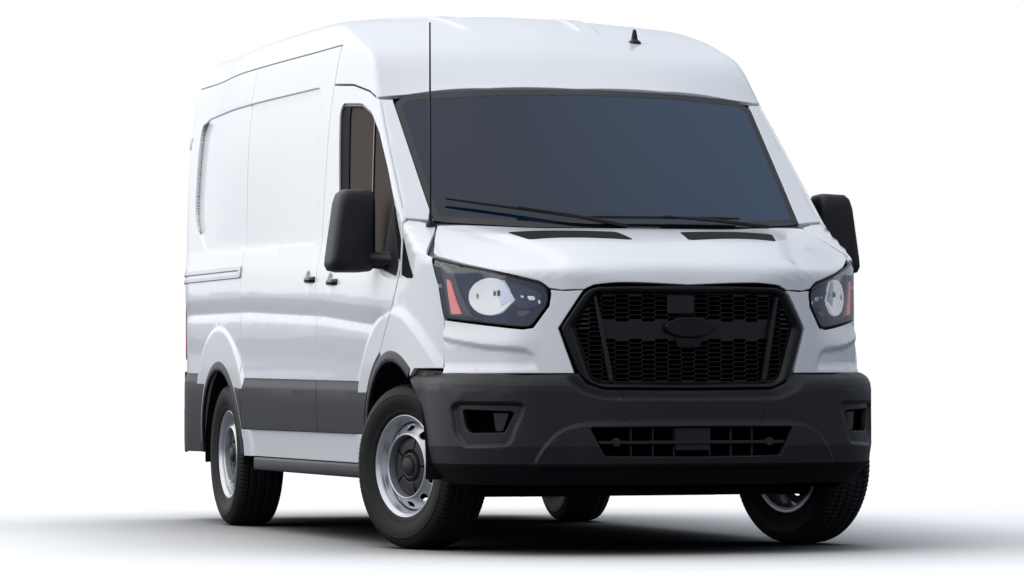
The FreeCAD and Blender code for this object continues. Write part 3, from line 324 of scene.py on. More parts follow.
@dataclass
class BodyForm:
    """Smooth form of the whole body: a cross-section, a plan and lengthwise outlines, rounded together."""

    section: Points = (
        (0.968, 0.05), (0.969, 0.127), (0.979, 0.354), (0.990, 0.491), (1.003, 0.72), (1.006, 0.90),
        (1.004, 1.03), (0.9985, 1.12), (0.9835, 1.30), (0.956, 1.60), (0.922, 1.90), (0.893, 2.08),
        (0.871, 2.20), (0.850, 2.28), (0.824, 2.34), (0.785, 2.388), (0.690, 2.431), (0.493, 2.479),
        (0.254, 2.515), (0.0, 2.532),
    )
    plan: Points = (
        (0.0, -2.7795), (0.254, -2.772), (0.447, -2.728), (0.650, -2.607), (0.802, -2.449), (0.924, -2.27),
        (0.979, -2.083), (1.000, -1.899), (1.013, -1.693), (1.016, -1.45), (1.016, -0.5), (1.016, 1.5),
        (1.014, 2.08), (1.004, 2.25), (0.981, 2.40), (0.958, 2.51), (0.928, 2.60), (0.880, 2.665), (0.80, 2.695),
        (0.60, 2.710), (0.0, 2.7135),
    )
    stations: tuple[float, ...] = (0.0, 0.4466, 0.8323, 1.0759)
    bonnet: tuple[Points, ...] = (
        (
            (-2.7795, 1.098), (-2.7467, 1.184), (-2.5864, 1.2473), (-2.4009, 1.3055), (-2.197, 1.3485),
            (-2.0208, 1.3738)
        ),
        ((-2.778, 1.098), (-2.7284, 1.174), (-2.575, 1.237), (-2.4009, 1.295), (-2.1857, 1.3434), (-1.975, 1.3776)),
        ((-2.7238, 1.093), (-2.5979, 1.1385), (-2.4261, 1.194), (-2.22, 1.265), (-2.0368, 1.3308), (-1.8467, 1.4029)),
        (
            (-2.678, 1.088), (-2.5406, 1.113), (-2.3803, 1.151), (-2.1857, 1.2144), (-2.0025, 1.2954),
            (-1.8193, 1.3915)
        ),
    )
    screen_top: Points = ((-1.249, 2.029), (-1.2284, 2.024), (-1.1712, 1.9886), (-1.1323, 1.9532))
    roof: Points = (
        (-0.9012, 2.239), (-0.3015, 2.4174), (0.2554, 2.4743), (0.8814, 2.5123), (1.4745, 2.5275), (2.5454, 2.5199),
    )
    tail: Points = ((2.667, 2.4415), (2.700, 2.264), (2.71, 0.3))
    blend: float = 0.02
    top_slope: float = 0.85
    crown: float = 0.07
    crown_power: float = 1.5
    crown_front: tuple[float, float] = (-1.15, -0.70)
    crown_rear: tuple[float, float] = (0.0, 1.6)
    fullness: float = 0.032
    rear_gain: float = 0.9
    gain_span: tuple[float, float] = (-0.5, 1.1)
    full_heights: tuple[float, float] = (1.15, 2.20)
    full_front: tuple[float, float] = (-1.15, -0.30)
    full_rear: tuple[float, float] = (1.3, 2.4)
    full_middle: float = 0.5
    tables: dict = field(default_factory=dict)

    def __post_init__(self) -> None:
        """Build the tables of the cross-section, the plan and the top."""
        section, plan = smooth_line(self.section, 60), smooth_line(self.plan, 60)
        self.tables["section"] = self._distance_table(section, (-0.03, 0.0), (1.12, 2.62))
        self.tables["plan"] = self._distance_table(plan, (-0.03, -2.92), (1.12, 2.82))
        self.tables["top"] = self._top_table()
        self.plan_line = plan
        self.plan_along = np.concatenate([[0], np.cumsum(np.linalg.norm(np.diff(plan, axis=0), axis=1))])
        self.section_line = section[section[:, 1] < 2.30]

    @staticmethod
    def _distance_table(
        line: Array, low: tuple[float, float], high: tuple[float, float], step: float = 0.01
    ) -> Table:
        """Table the signed distance to a line over a box.

        Args:
            line: The line's points.
            low: The grid's low corner.
            high: The grid's high corner.
            step: Distance between grid points.

        Returns:
            The table.
        """
        axes = [np.arange(a, b, step) for a, b in zip(low, high)]
        grid = np.stack(np.meshgrid(*axes, indexing="ij"), -1).reshape(-1, 2)
        values = line_distance(grid, line[::4]).reshape(len(axes[0]), len(axes[1]))
        return Table(low, (step, step), values)

    def _across(self, values: Sequence[float]) -> Callable[[float], float]:
        """Return a value's course across the van, from one value a station.

        Args:
            values: One value a station.

        Returns:
            The course as a function.
        """
        pairs = list(zip(self.stations, values))
        line = smooth_line([(-x, v) for x, v in reversed(pairs)] + pairs[1:], 40)
        return lambda x: np.interp(abs(x), line[:, 0], line[:, 1])

    def _top_table(self) -> Table:
        """Table the height of bonnet, windscreen and roof.

        Returns:
            The table.
        """
        xs, ys = np.arange(-0.016, 1.09, 0.008), np.arange(-2.80, 2.74, 0.005)
        columns = [
            [self._across([row[j][k] for row in self.bonnet]) for k in (0, 1)] for j in range(len(self.bonnet[0]))
        ]
        head = [self._across([point[k] for point in self.screen_top]) for k in (0, 1)]
        values = np.zeros((len(xs), len(ys)))
        for i, x in enumerate(xs):
            low = smooth_line([(fy(x), fz(x)) for fy, fz in columns], 40)
            high = smooth_line([(head[0](x), head[1](x)), *self.roof], 60)
            line = np.vstack([low, high, self.tail])
            values[i] = np.interp(ys, line[:, 0], line[:, 1])
            values[i] -= self.crown * abs(x) ** self.crown_power * ramp(ys, *self.crown_front) * (
                1 - ramp(ys, *self.crown_rear)
            )
            ahead = ys < line[0, 0]
            values[i][ahead] = line[0, 1] - (line[0, 0] - ys[ahead]) * 3.0
        return Table((xs[0], ys[0]), (0.008, 0.005), values)

    def inside(self, p: Array) -> Array:
        """Return how deep points lie inside the body, negative outside.

        Args:
            p: Points, one row each.

        Returns:
            One depth a point.
        """
        x, y, z = np.abs(p[:, 0]), p[:, 1], p[:, 2]
        gain = 1 + self.rear_gain * ramp(y, *self.gain_span)
        bulge = self.fullness * gain * ramp(z, *self.full_heights) * ramp(y, *self.full_front)
        x = np.abs(x - bulge * (1 - ramp(y, *self.full_rear)) * ramp(x, 0.0, self.full_middle))
        sides = lower(self.tables["section"](x, z), self.tables["plan"](x, y), self.blend)
        return lower(sides, (self.tables["top"](x, y) - z) * self.top_slope, self.blend)

    def hit(self, origin: Array, way: Array, reach: float) -> Array:
        """Find where rays from inside leave the body.

        Args:
            origin: Start points inside, one row each.
            way: Unit directions, one row each.
            reach: Length that surely ends outside.

        Returns:
            Points on the body's skin.
        """
        near, far = np.zeros(len(origin)), np.full(len(origin), reach)
        depth = np.ones(len(origin))
        beyond = -np.ones(len(origin))
        for turn in range(14):
            share = 0.5 if turn < 9 else np.clip(depth / (depth - beyond), 0.02, 0.98)
            middle = near + (far - near) * share
            value = self.inside(origin + way * middle[:, None])
            within = value > 0
            near, far = np.where(within, middle, near), np.where(within, far, middle)
            depth, beyond = np.where(within, value, depth), np.where(within, beyond, value)
        middle = near + (far - near) * depth / (depth - beyond)
        return origin + way * middle[:, None]

    def side_limit(self, z: Array) -> Array:
        """Half width of the cross-section at heights."""
        return np.interp(z, self.section_line[:, 1], self.section_line[:, 0])

    def side(self, side: int) -> "Mapping":
        """Mapping from (y, z) straight onto one side of the body.

        Args:
            side: RIGHT or LEFT.

        Returns:
            The mapping.
        """

        def place(q: Array) -> Array:
            """Find the side's points for places."""
            start = np.stack([np.full(len(q), side * 0.3), q[:, 0], q[:, 1]], 1)
            return self.hit(start, np.tile([float(side), 0, 0], (len(q), 1)), 0.85)

        return place

    def ahead(self, q: Array) -> Array:
        """Map (x, z) straight forwards onto the screen and pillars."""
        start = np.stack([q[:, 0], np.full(len(q), -0.6), q[:, 1]], 1)
        return self.hit(start, np.tile([0.0, -1.0, 0.0], (len(q), 1)), 2.3)

    def above(self, q: Array) -> Array:
        """Map (x, y) straight upwards onto the bonnet."""
        start = np.stack([q[:, 0], q[:, 1], np.full(len(q), 0.9)], 1)
        return self.hit(start, np.tile([0.0, 0.0, 1.0], (len(q), 1)), 1.8)

    def around(self, centre: tuple[float, float], scale: float, side: int = 1) -> "Mapping":
        """Mapping from (angle times scale, y) outwards from a lengthwise axis.

        Args:
            centre: The axis's x and z.
            scale: Metres that stand for one radian.
            side: The side of the van the axis is on.

        Returns:
            The mapping; angle 0 points outwards to that side.
        """

        def place(q: Array) -> Array:
            """Find the points round the axis for places.

            Args:
                q: Places in the plane, one row each.

            Returns:
                One point a place.
            """
            angle = q[:, 0] / scale
            start = np.stack([np.full(len(q), side * centre[0]), q[:, 1], np.full(len(q), centre[1])], 1)
            way = np.stack([side * np.cos(angle), np.zeros(len(q)), np.sin(angle)], 1)
            return self.hit(start, way, 1.6)

        return place

    def nose(self, q: Array) -> Array:
        """Map (distance along the plan's outline, z) onto the nose.

        Args:
            q: Places in the plane, one row each.

        Returns:
            One point a place.
        """
        along, side = np.abs(q[:, 0]), np.where(q[:, 0] < 0, -1.0, 1.0)
        at = np.stack([np.interp(along, self.plan_along, self.plan_line[:, k]) for k in (0, 1)], 1)
        step = 0.004
        ends = [
            np.stack([np.interp(along + s, self.plan_along, self.plan_line[:, k]) for k in (0, 1)], 1)
            for s in (-step, step)
        ]
        ends[0][:, 0] = np.where(
            along < step, -np.interp(step - along, self.plan_along, self.plan_line[:, 0]), ends[0][:, 0]
        )
        tangent = ends[1] - ends[0]
        tangent /= np.linalg.norm(tangent, axis=1, keepdims=True)
        outward = np.stack([tangent[:, 1], -tangent[:, 0]], 1)
        depth = 0.45
        start = np.stack([(at[:, 0] - outward[:, 0] * depth) * side, at[:, 1] - outward[:, 1] * depth, q[:, 1]], 1)
        way = np.stack([outward[:, 0] * side, outward[:, 1], np.zeros(len(q))], 1)
        return self.hit(start, way, depth + 0.1)


Mapping = Callable[[Array], Array]
Relief = Callable[[Array], Array]


def flat(q: Array) -> Array:
    """Relief of a plain panel."""
    return np.zeros(len(q))


# ---------------------------------------------------------------- meshes


def new_mesh(
    name: str, verts: Array, faces: Iterable[Sequence[int]], normals: Optional[Array] = None
) -> bpy.types.Object:
    """Make an object from points and faces.

    Args:
        name: Name of the object.
        verts: Points, one row each.
        faces: Corner numbers of each face.
        normals: Shading normals, one row a point, where known.

    Returns:
        The new object, linked to the scene.
    """
    mesh = bpy.data.meshes.new(name)
    mesh.from_pydata([tuple(v) for v in verts], [], [tuple(int(i) for i in f) for f in faces])
    mesh.polygons.foreach_set("use_smooth", [True] * len(mesh.polygons))
    mesh.update()
    if normals is not None:
        mesh.normals_split_custom_set_from_vertices([tuple(n) for n in normals])
    obj = bpy.data.objects.new(name, mesh)
    bpy.context.scene.collection.objects.link(obj)
    return obj


@dataclass
class Panel:
    """A sheet of material on a mapped surface, with rolled edges, holes and relief.

    Attributes:
        name: Name of the object.
        outline: Closed outline in the mapping's own plane.
        mapping: Turns that plane into the van's space.
        relief: Height over the surface at places of the plane.
        holes: Closed outlines cut out.
        thickness: Thickness inwards.
        roll: Radius of the rolled edge.
        spacing: Distance between points in plain areas.
        detail: Distance between points where the relief changes.
        outward: A point well inside, which tells outside from inside.
        backed: Whether the panel has an inner face.
        lift: Distance of the whole panel over the surface.
        creases: Lines in the plane that edges of the mesh follow.
        curved: Distance between points where the surface itself bends sharply; 0 leaves it out.
    """

    name: str
    outline: Points
    mapping: Mapping
    relief: Relief = flat
    holes: Sequence[Points] = ()
    thickness: float = 0.02
    roll: float = 0.003
    spacing: float = 0.03
    detail: float = 0.008
    outward: tuple[float, float, float] = (0.0, 0.0, 1.1)
    backed: bool = True
    lift: float = 0.0
    creases: Sequence[Points] = ()
    curved: float = 0.0

    def surface(self, q: Array) -> tuple[Array, Array]:
        """Return the points and normals at places of the plane.

        Args:
            q: Places in the plane, one row each.

        Returns:
            Points and normals, one row each.
        """
        base = self.mapping(q)
        far, near = 0.004, 0.0012
        sides, slopes = [], []
        for axis in range(2):
            offset = np.zeros(2)
            offset[axis] = 1.0
            sides.append((self.mapping(q + offset * far) - self.mapping(q - offset * far)) / (2 * far))
            slopes.append((self.relief(q + offset * near) - self.relief(q - offset * near)) / (2 * near))
        bare = self._oriented(np.cross(sides[0], sides[1]), base)
        lifted = [side + bare * slope[:, None] for side, slope in zip(sides, slopes)]
        point = base + bare * (self.relief(q) + self.lift)[:, None]
        return point, self._oriented(np.cross(lifted[0], lifted[1]), base)

    def _oriented(self, n: Array, base: Array) -> Array:
        """Turn the normals so that they all point out.

        Args:
            n: Normals, one row each.
            base: Points that the normals belong to.

        Returns:
            The turned normals.
        """
        n = n / np.maximum(np.linalg.norm(n, axis=1, keepdims=True), 1e-12)
        away = base - np.array(self.outward)
        away[:, 1] = np.where(np.abs(away[:, 1]) > 2.0, away[:, 1], 0.0) if self.outward[1] == 0.0 else away[:, 1]
        flip = (n * away).sum(1) < 0
        n[flip] *= -1
        return n

    def _grid(self, rim: Array, step: float) -> Array:
        """Return grid points over a rim's box."""
        axes = [np.arange(a + step / 2, b, step) for a, b in zip(rim.min(0), rim.max(0))]
        return np.stack(np.meshgrid(*axes, indexing="ij"), -1).reshape(-1, 2)

    @staticmethod
    def _clear(p: Array, rim: Array, holes: list[Array], margin: float) -> Array:
        """Tell which points keep clear of the rim and the holes.

        Args:
            p: Points, one row each.
            rim: The outline's points.
            holes: Outlines of the holes.
            margin: Least distance to any outline.

        Returns:
            One truth value a point.
        """
        keep = edge_distance(p, rim) > margin
        for hole in holes:
            keep &= edge_distance(p, hole) < -margin
        return keep

    def _bending(self, fine: Array) -> Array:
        """Keep the fine places at which the relief bends.

        Args:
            fine: Finest spacing.

        Returns:
            The kept places.
        """
        h = self.relief(fine)
        bend = np.zeros(len(fine))
        for axis in range(2):
            offset = np.zeros(2)
            offset[axis] = self.detail
            bend = np.maximum(bend, np.abs(self.relief(fine + offset) + self.relief(fine - offset) - 2 * h))
        return fine[bend > 0.00025]

    def _turning(self, fine: Array) -> Array:
        """Keep the fine places at which the bare surface turns sharply.

        Args:
            fine: Finest spacing.

        Returns:
            The kept places.
        """
        step = self.curved
        p = self.mapping(fine)
        turn = np.zeros(len(fine))
        for axis in range(2):
            offset = np.zeros(2)
            offset[axis] = step
            one, two = self.mapping(fine + offset) - p, p - self.mapping(fine - offset)
            cosine = (one * two).sum(1) / np.maximum(np.linalg.norm(one, axis=1) * np.linalg.norm(two, axis=1), 1e-12)
            turn = np.maximum(turn, np.arccos(np.clip(cosine, -1, 1)))
        return fine[turn > 0.05]

    def _inner_points(self, rim: Array, holes: list[Array], lines: Array) -> Array:
        """Choose the points inside the panel.

        Args:
            rim: The outline's points.
            holes: Outlines of the holes.
            lines: Lines that the mesh follows.

        Returns:
            The points, one row each.
        """
        groups = []
        if self.curved:
            groups.append((self._turning(self._grid(rim, self.curved)), self.curved))
        if self.relief is not flat:
            groups.append((self._bending(self._grid(rim, self.detail)), self.detail))
        coarse = self._grid(rim, self.spacing)
        coarse = coarse[self._clear(coarse, rim, holes, self.spacing * 0.45)]
        kept, cells = [], set()
        for fine, step in reversed(groups):
            fine = fine[self._clear(fine, rim, holes, step * 0.6)]
            if len(lines) and len(fine):
                near = np.array([np.min(np.sum((lines - p) ** 2, 1)) for p in fine])
                fine = fine[near > (step * 0.55) ** 2]
            names = [tuple(c) for c in np.floor(fine / self.spacing).astype(int)]
            kept += [p for p, name in zip(fine, names) if name not in cells]
            cells |= set(names)
        if len(lines):
            cells |= set(map(tuple, np.floor(lines / self.spacing).astype(int)))
        kept += [p for p in coarse if tuple(np.floor(p / self.spacing).astype(int)) not in cells]
        return np.array(kept).reshape(-1, 2)

    def _crease_lines(self, rim: Array, holes: list[Array]) -> list[tuple[Array, Array]]:
        """Clip the creases to the panel and say which of their points follow each other.

        Args:
            rim: The outline's points.
            holes: Outlines of the holes.

        Returns:
            Points and pairs of neighbours, one entry a crease.
        """
        lines = []
        for crease in self.creases:
            points = densified(crease, self.detail)
            keep = self._clear(points, rim, holes, self.detail * 0.5)
            index = np.arange(len(points))
            after = np.roll(index, -1)
            lines.append(
                (points, np.array([(i, j) for i, j in zip(index, after) if keep[i] and keep[j]], int).reshape(-1, 2))
            )
        return lines

    def build(self) -> bpy.types.Object:
        """Make the panel's object.

        Returns:
            The new object.
        """
        edge = min(self.spacing, 0.02)
        rings = [densified(self.outline, edge)] + [densified(h, min(edge, 0.012)) for h in self.holes]
        inner = [shrunk(rings[0], self.roll)] + [shrunk(r, -self.roll) for r in rings[1:]]
        lines = self._crease_lines(inner[0], inner[1:])
        on_lines = np.vstack([points[np.unique(pairs)] for points, pairs in lines] or [np.zeros((0, 2))])
        loose = self._inner_points(inner[0], inner[1:], on_lines)
        flat_points, edges, start = [], [], 0
        for ring in inner:
            n = len(ring)
            flat_points += list(ring)
            edges += [(start + i, start + (i + 1) % n) for i in range(n)]
            start += n
        for points, pairs in lines:
            used = {old: start + new for new, old in enumerate(np.unique(pairs))}
            flat_points += [points[old] for old in used]
            edges += [(used[i], used[j]) for i, j in pairs]
            start += len(used)
        flat_points += list(loose)
        result = delaunay_2d_cdt([Vector(p) for p in flat_points], edges, [], 0, 1e-7, True)
        q = np.array([tuple(v) for v in result[0]], float)
        faces = np.array([f for f in result[2]], int)
        centres = q[faces].mean(1)
        keep = in_polygon(centres, inner[0])
        for hole in inner[1:]:
            keep &= ~in_polygon(centres, hole)
        faces = faces[keep]
        point, normal = self.surface(q)
        a, b, c = (point[faces[:, k]] for k in range(3))
        turned = (np.cross(b - a, c - a) * normal[faces].mean(1)).sum(1) < 0
        faces[turned] = faces[turned][:, ::-1]
        verts, norms, polys = [point], [normal], [tuple(f) for f in faces]
        count = len(point)
        origin = [list(o) for o in result[3]]
        lookup = {old: new for new, group in enumerate(origin) for old in group}
        start = 0
        for ring, shrunk_ring in zip(rings, inner):
            n = len(ring)
            p, m = self.surface(ring)
            away = p - self.surface(shrunk_ring)[0]
            away -= m * (away * m).sum(1, keepdims=True)
            away /= np.maximum(np.linalg.norm(away, axis=1, keepdims=True), 1e-9)
            slant = (m + away) / math.sqrt(2)
            top = np.array([lookup[start + i] for i in range(n)])
            rows = [
                (p - m * self.roll * 0.35 - away * self.roll * 0.3, slant),
                (p - m * self.roll, away),
                (p - m * self.thickness, away),
            ]
            ids = [top]
            for place, shade in rows:
                verts.append(place)
                norms.append(shade)
                ids.append(np.arange(count, count + n))
                count += n
            k = int(np.argmax(np.linalg.norm(np.roll(p, -1, axis=0) - p, axis=1)))
            j = (k + 1) % n
            side = np.cross(p[j] - p[k], rows[2][0][k] - p[k])
            forward = (side * away[k]).sum() > 0
            for one, two in zip(ids, ids[1:]):
                for i in range(n):
                    i2 = (i + 1) % n
                    quad = (one[i], one[i2], two[i2], two[i])
                    polys.append(quad if forward else quad[::-1])
            start += n
        if self.backed:
            back = count
            verts.append(point - normal * self.thickness)
            norms.append(-normal)
            polys += [(back + f[2], back + f[1], back + f[0]) for f in faces]
        obj = new_mesh(self.name, np.vstack(verts), polys, np.vstack(norms))
        return obj


# ---------------------------------------------------------------- finishes


class NodeKit:
    """Short helpers for laying out shader nodes in one tree."""

    def __init__(self, tree: bpy.types.NodeTree) -> None:
        """Keep the tree that nodes go into."""
        self.tree = tree

    def add(self, kind: str, inputs: Optional[dict] = None, **settings: object) -> bpy.types.Node:
        """Add a node, set it up and fill or link its inputs.

        Args:
            kind: Type of the node.
            inputs: Values and sockets for the node's inputs.

        Returns:
            The node.
        """
        node = self.tree.nodes.new(kind)
        for key, value in settings.items():
            setattr(node, key, value)
        for key, value in (inputs or {}).items():
            socket = node.inputs[key]
            if isinstance(value, bpy.types.NodeSocket):
                self.tree.links.new(value, socket)
            else:
                socket.default_value = value
        return node

    def math(self, operation: str, *values: object) -> bpy.types.NodeSocket:
        """Add a math node and return its result."""
        return self.add("ShaderNodeMath", dict(enumerate(values)), operation=operation).outputs[0]

    def ramp(self, value: object, start: float, end: float, low: float, high: float) -> bpy.types.NodeSocket:
        """Map a value's range smoothly onto another range."""
        inputs = {"Value": value, "From Min": start, "From Max": end, "To Min": low, "To Max": high}
        return self.add("ShaderNodeMapRange", inputs, interpolation_type="SMOOTHSTEP").outputs[0]

    def mix(self, factor: object, a: object, b: object) -> bpy.types.NodeSocket:
        """Mix two colours.

        Args:
            factor: Share of the second colour.
            a: Colour or socket at share 0.
            b: Colour or socket at share 1.

        Returns:
            The socket to use.
        """
        node = self.add("ShaderNodeMix", data_type="RGBA")
        for index, value in ((0, factor), (6, a), (7, b)):
            if isinstance(value, bpy.types.NodeSocket):
                self.tree.links.new(value, node.inputs[index])
            else:
                node.inputs[index].default_value = value
        return node.outputs[2]


def rgba(colour: Sequence[float]) -> tuple[float, float, float, float]:
    """Return a colour with full opacity."""
    return (colour[0], colour[1], colour[2], 1.0)


def surface_group(name: str) -> bpy.types.NodeTree:
    """Make the node group for a surface's uneven colour and fine bumps, once.

    Args:
        name: Name of the group.

    Returns:
        The group, with colour and normal outputs.
    """
    if name in bpy.data.node_groups:
        return bpy.data.node_groups[name]
    tree = bpy.data.node_groups.new(name, "ShaderNodeTree")
    for label, kind, value in (
        ("Colour", "NodeSocketColor", (0.5, 0.5, 0.5, 1.0)), ("Uneven", "NodeSocketFloat", 0.1),
        ("Uneven Scale", "NodeSocketFloat", 3.0), ("Grain", "NodeSocketFloat", 0.0),
        ("Grain Scale", "NodeSocketFloat", 400.0), ("Roughness", "NodeSocketFloat", 0.5),
    ):
        socket = tree.interface.new_socket(label, in_out="INPUT", socket_type=kind)
        socket.default_value = value
    for label, kind in (
        ("Colour", "NodeSocketColor"), ("Roughness", "NodeSocketFloat"), ("Normal", "NodeSocketVector")
    ):
        tree.interface.new_socket(label, in_out="OUTPUT", socket_type=kind)
    kit = NodeKit(tree)
    given = kit.add("NodeGroupInput").outputs
    place = kit.add("ShaderNodeTexCoord").outputs["Object"]
    broad = kit.add("ShaderNodeTexNoise", {"Vector": place, "Scale": given["Uneven Scale"], "Detail": 4.0}).outputs[0]
    fine = kit.add("ShaderNodeTexNoise", {"Vector": place, "Scale": given["Grain Scale"], "Detail": 2.0}).outputs[0]
    shade = kit.math("MULTIPLY_ADD", kit.math("SUBTRACT", broad, 0.5), given["Uneven"], 1.0)
    colour = kit.add("ShaderNodeVectorMath", {0: given["Colour"], 1: shade}, operation="MULTIPLY").outputs[0]
    rough = kit.math(
        "MULTIPLY", given["Roughness"], kit.math("MULTIPLY_ADD", kit.math("SUBTRACT", fine, 0.5), 0.25, 1.0)
    )
    bump = kit.add("ShaderNodeBump", {"Height": fine, "Strength": given["Grain"], "Distance": 0.001}).outputs[0]
    kit.add("NodeGroupOutput", {"Colour": colour, "Roughness": rough, "Normal": bump})
    return tree


@dataclass(frozen=True)
class Finish:
    """One surface finish.

    Attributes:
        name: The record's material slot it stands for.
        colour: Base colour, linear.
        roughness: Roughness of the surface.
        metallic: Share of metal.
        coat: Strength of a clear coat.
        uneven: How far the colour varies.
        grain: Strength of the fine bumps.
        grain_scale: Fineness of the bumps.
        specular: Strength of plain reflections.
        transmission: Share of light that passes through.
        glow: Strength of own light, a painted reflection for mirrors that catch more light than the studio has.
        variant: Word that tells apart several finishes of one slot.
    """

    name: str
    colour: tuple[float, float, float]
    roughness: float = 0.5
    metallic: float = 0.0
    coat: float = 0.0
    uneven: float = 0.08
    grain: float = 0.0
    grain_scale: float = 500.0
    specular: float = 0.5
    transmission: float = 0.0
    glow: float = 0.0
    variant: str = ""

    def material(self) -> bpy.types.Material:
        """Make or find the finish's material.

        Returns:
            The material.
        """
        label = self.name + self.variant
        found = bpy.data.materials.get("look_" + label)
        if found:
            return found
        made = bpy.data.materials.new("look_" + label)
        made.use_nodes = True
        kit = NodeKit(made.node_tree)
        shader = made.node_tree.nodes["Principled BSDF"]
        group = kit.add("ShaderNodeGroup", node_tree=surface_group("Surface"))
        for key, value in (
            ("Colour", rgba(self.colour)), ("Uneven", self.uneven), ("Grain", self.grain),
            ("Grain Scale", self.grain_scale), ("Roughness", self.roughness),
        ):
            group.inputs[key].default_value = value
        made.node_tree.links.new(self._tint(kit, group.outputs["Colour"]), shader.inputs["Base Color"])
        made.node_tree.links.new(group.outputs["Roughness"], shader.inputs["Roughness"])
        made.node_tree.links.new(group.outputs["Normal"], shader.inputs["Normal"])
        for key, value in (
            ("Metallic", self.metallic), ("Coat Weight", self.coat), ("Coat Roughness", 0.04),
            ("Specular IOR Level", self.specular), ("Transmission Weight", self.transmission),
        ):
            shader.inputs[key].default_value = value
        # Own light; on the reflector bowl this glow is a painted reflection.
        if self.glow:
            shader.inputs["Emission Color"].default_value = rgba(self.colour)
            shader.inputs["Emission Strength"].default_value = self.glow
        return made

    def _tint(self, kit: NodeKit, colour: bpy.types.NodeSocket) -> bpy.types.NodeSocket:
        """Return the finish's colour socket, here the colour as it is."""
        return colour

    def wear(self, obj: bpy.types.Object) -> bpy.types.Object:
        """Put the finish on an object.

        Args:
            obj: The object to change.

        Returns:
            The same object.
        """
        obj.data.materials.clear()
        obj.data.materials.append(self.material())
        return obj


@dataclass(frozen=True)
class ScreenFinish(Finish):
    """Dark windscreen glass with a painted reflection that lightens it towards the van's left."""

    painted_reflection_colour: tuple[float, float, float] = (0.024, 0.050, 0.098)

    def _tint(self, kit: NodeKit, colour: bpy.types.NodeSocket) -> bpy.types.NodeSocket:
        """Mix the colour with the painted reflection's colour towards the far side.

        Args:
            kit: Helper of the material's tree.
            colour: Socket with the plain colour.

        Returns:
            The mixed colour's socket.
        """
        place = kit.add("ShaderNodeTexCoord").outputs["Object"]
        along = kit.add("ShaderNodeSeparateXYZ", {0: place}).outputs[0]
        return kit.mix(kit.ramp(along, -0.75, 0.85, 0.0, 1.0), colour, rgba(self.painted_reflection_colour))


PAINT = Finish("white_paint", (0.80, 0.815, 0.84), roughness=0.32, coat=0.6, uneven=0.015, specular=0.5)
PLASTIC = Finish(
    "grained_plastic", (0.0095, 0.0100, 0.0128), roughness=0.46, uneven=0.15, grain=0.30, grain_scale=700,
    specular=0.38
)
LIGHT_PLASTIC = Finish(
    "grained_plastic", (0.018, 0.018, 0.021), roughness=0.42, uneven=0.15, grain=0.35, grain_scale=700, specular=0.35,
    variant="_pale"
)
BLACK = Finish("gloss_black", (0.0035, 0.0035, 0.004), roughness=0.24, uneven=0.05, specular=0.32)
# The glass's colour lightens towards the van's left: painted reflection.
SCREEN = ScreenFinish(
    "tinted_glass", (0.0020, 0.0085, 0.026), roughness=0.05, uneven=0.05, specular=0.34, variant="_screen"
)
WINDOW = Finish("tinted_glass", (0.100, 0.086, 0.078), roughness=0.35, uneven=0.02, specular=0.0)
EDGE_BLACK = Finish("tinted_glass", (0.004, 0.004, 0.006), roughness=0.12, variant="_edge")
TYRE = Finish(
    "tyre_rubber", (0.0045, 0.0045, 0.005), roughness=0.62, uneven=0.3, grain=0.25, grain_scale=900, specular=0.30
)
STEEL_PAINT = Finish("wheel_steel", (0.56, 0.57, 0.60), roughness=0.30, metallic=0.70, uneven=0.06, grain=0.1)
METAL = Finish("steel", (0.52, 0.53, 0.55), roughness=0.28, metallic=1.0, uneven=0.1)
DARK_METAL = Finish(
    "cast_metal", (0.014, 0.014, 0.015), roughness=0.65, metallic=0.4, uneven=0.4, grain=0.4, specular=0.2
)
UNDERBODY = Finish("underbody_paint", (0.006, 0.006, 0.0065), roughness=0.8, uneven=0.3, specular=0.15)
CAB = Finish("cab_plastic", (0.03, 0.03, 0.033), roughness=0.6, grain=0.3)
CLOTH = Finish("seat_cloth", (0.035, 0.035, 0.04), roughness=0.9, grain=0.6, grain_scale=900)
RED_LENS = Finish("red_lens", (0.35, 0.008, 0.01), roughness=0.12, coat=0.5)
CLEAR_LENS = Finish("lamp_lens", (0.97, 0.98, 1.0), roughness=0.01, transmission=1.0, specular=0.12, variant="_clear")
LAMP_BLACK = Finish("lamp_lens", (0.022, 0.038, 0.078), roughness=0.35, specular=0.15, variant="_housing")
CUP = Finish("lamp_lens", (0.040, 0.062, 0.120), roughness=0.25, specular=0.3, uneven=0.3, variant="_cup")
MESH = Finish("gloss_black", (0.010, 0.010, 0.012), roughness=0.30, specular=0.35, variant="_mesh")
# Matt black sheet without reflections, set into the intake, the fog pockets, behind the grille and under the bumper:
# painted shade where those places fall dark.
PAINTED_SHADE_BLACK = Finish("underbody_paint", (0.0008, 0.0008, 0.0009), roughness=1.0, specular=0.0, variant="_deep")
CHROME = Finish("lamp_lens", (0.86, 0.88, 0.92), roughness=0.12, metallic=1.0, uneven=0.05, variant="_reflector")
# Near-white reflector bowl that glows: painted reflection.
REFLECTOR_PAINTED_GLOW = Finish("lamp_lens", (0.97, 0.975, 0.985), roughness=0.25, uneven=0.03, glow=0.34, variant="_bowl")
SMOKED = Finish("lamp_lens", (0.135, 0.130, 0.140), roughness=0.3, specular=0.3, uneven=0.3, variant="_smoked")
TURN_LENS = Finish("lamp_lens", (0.16, 0.12, 0.09), roughness=0.25, uneven=0.4, variant="_turn")
AMBER = Finish("lamp_lens", (0.92, 0.30, 0.26), roughness=0.4, glow=0.35, variant="_marker")
VENT = Finish("gloss_black", (0.004, 0.005, 0.007), roughness=0.6, specular=0.08, variant="_vent")


# ---------------------------------------------------------------- studio


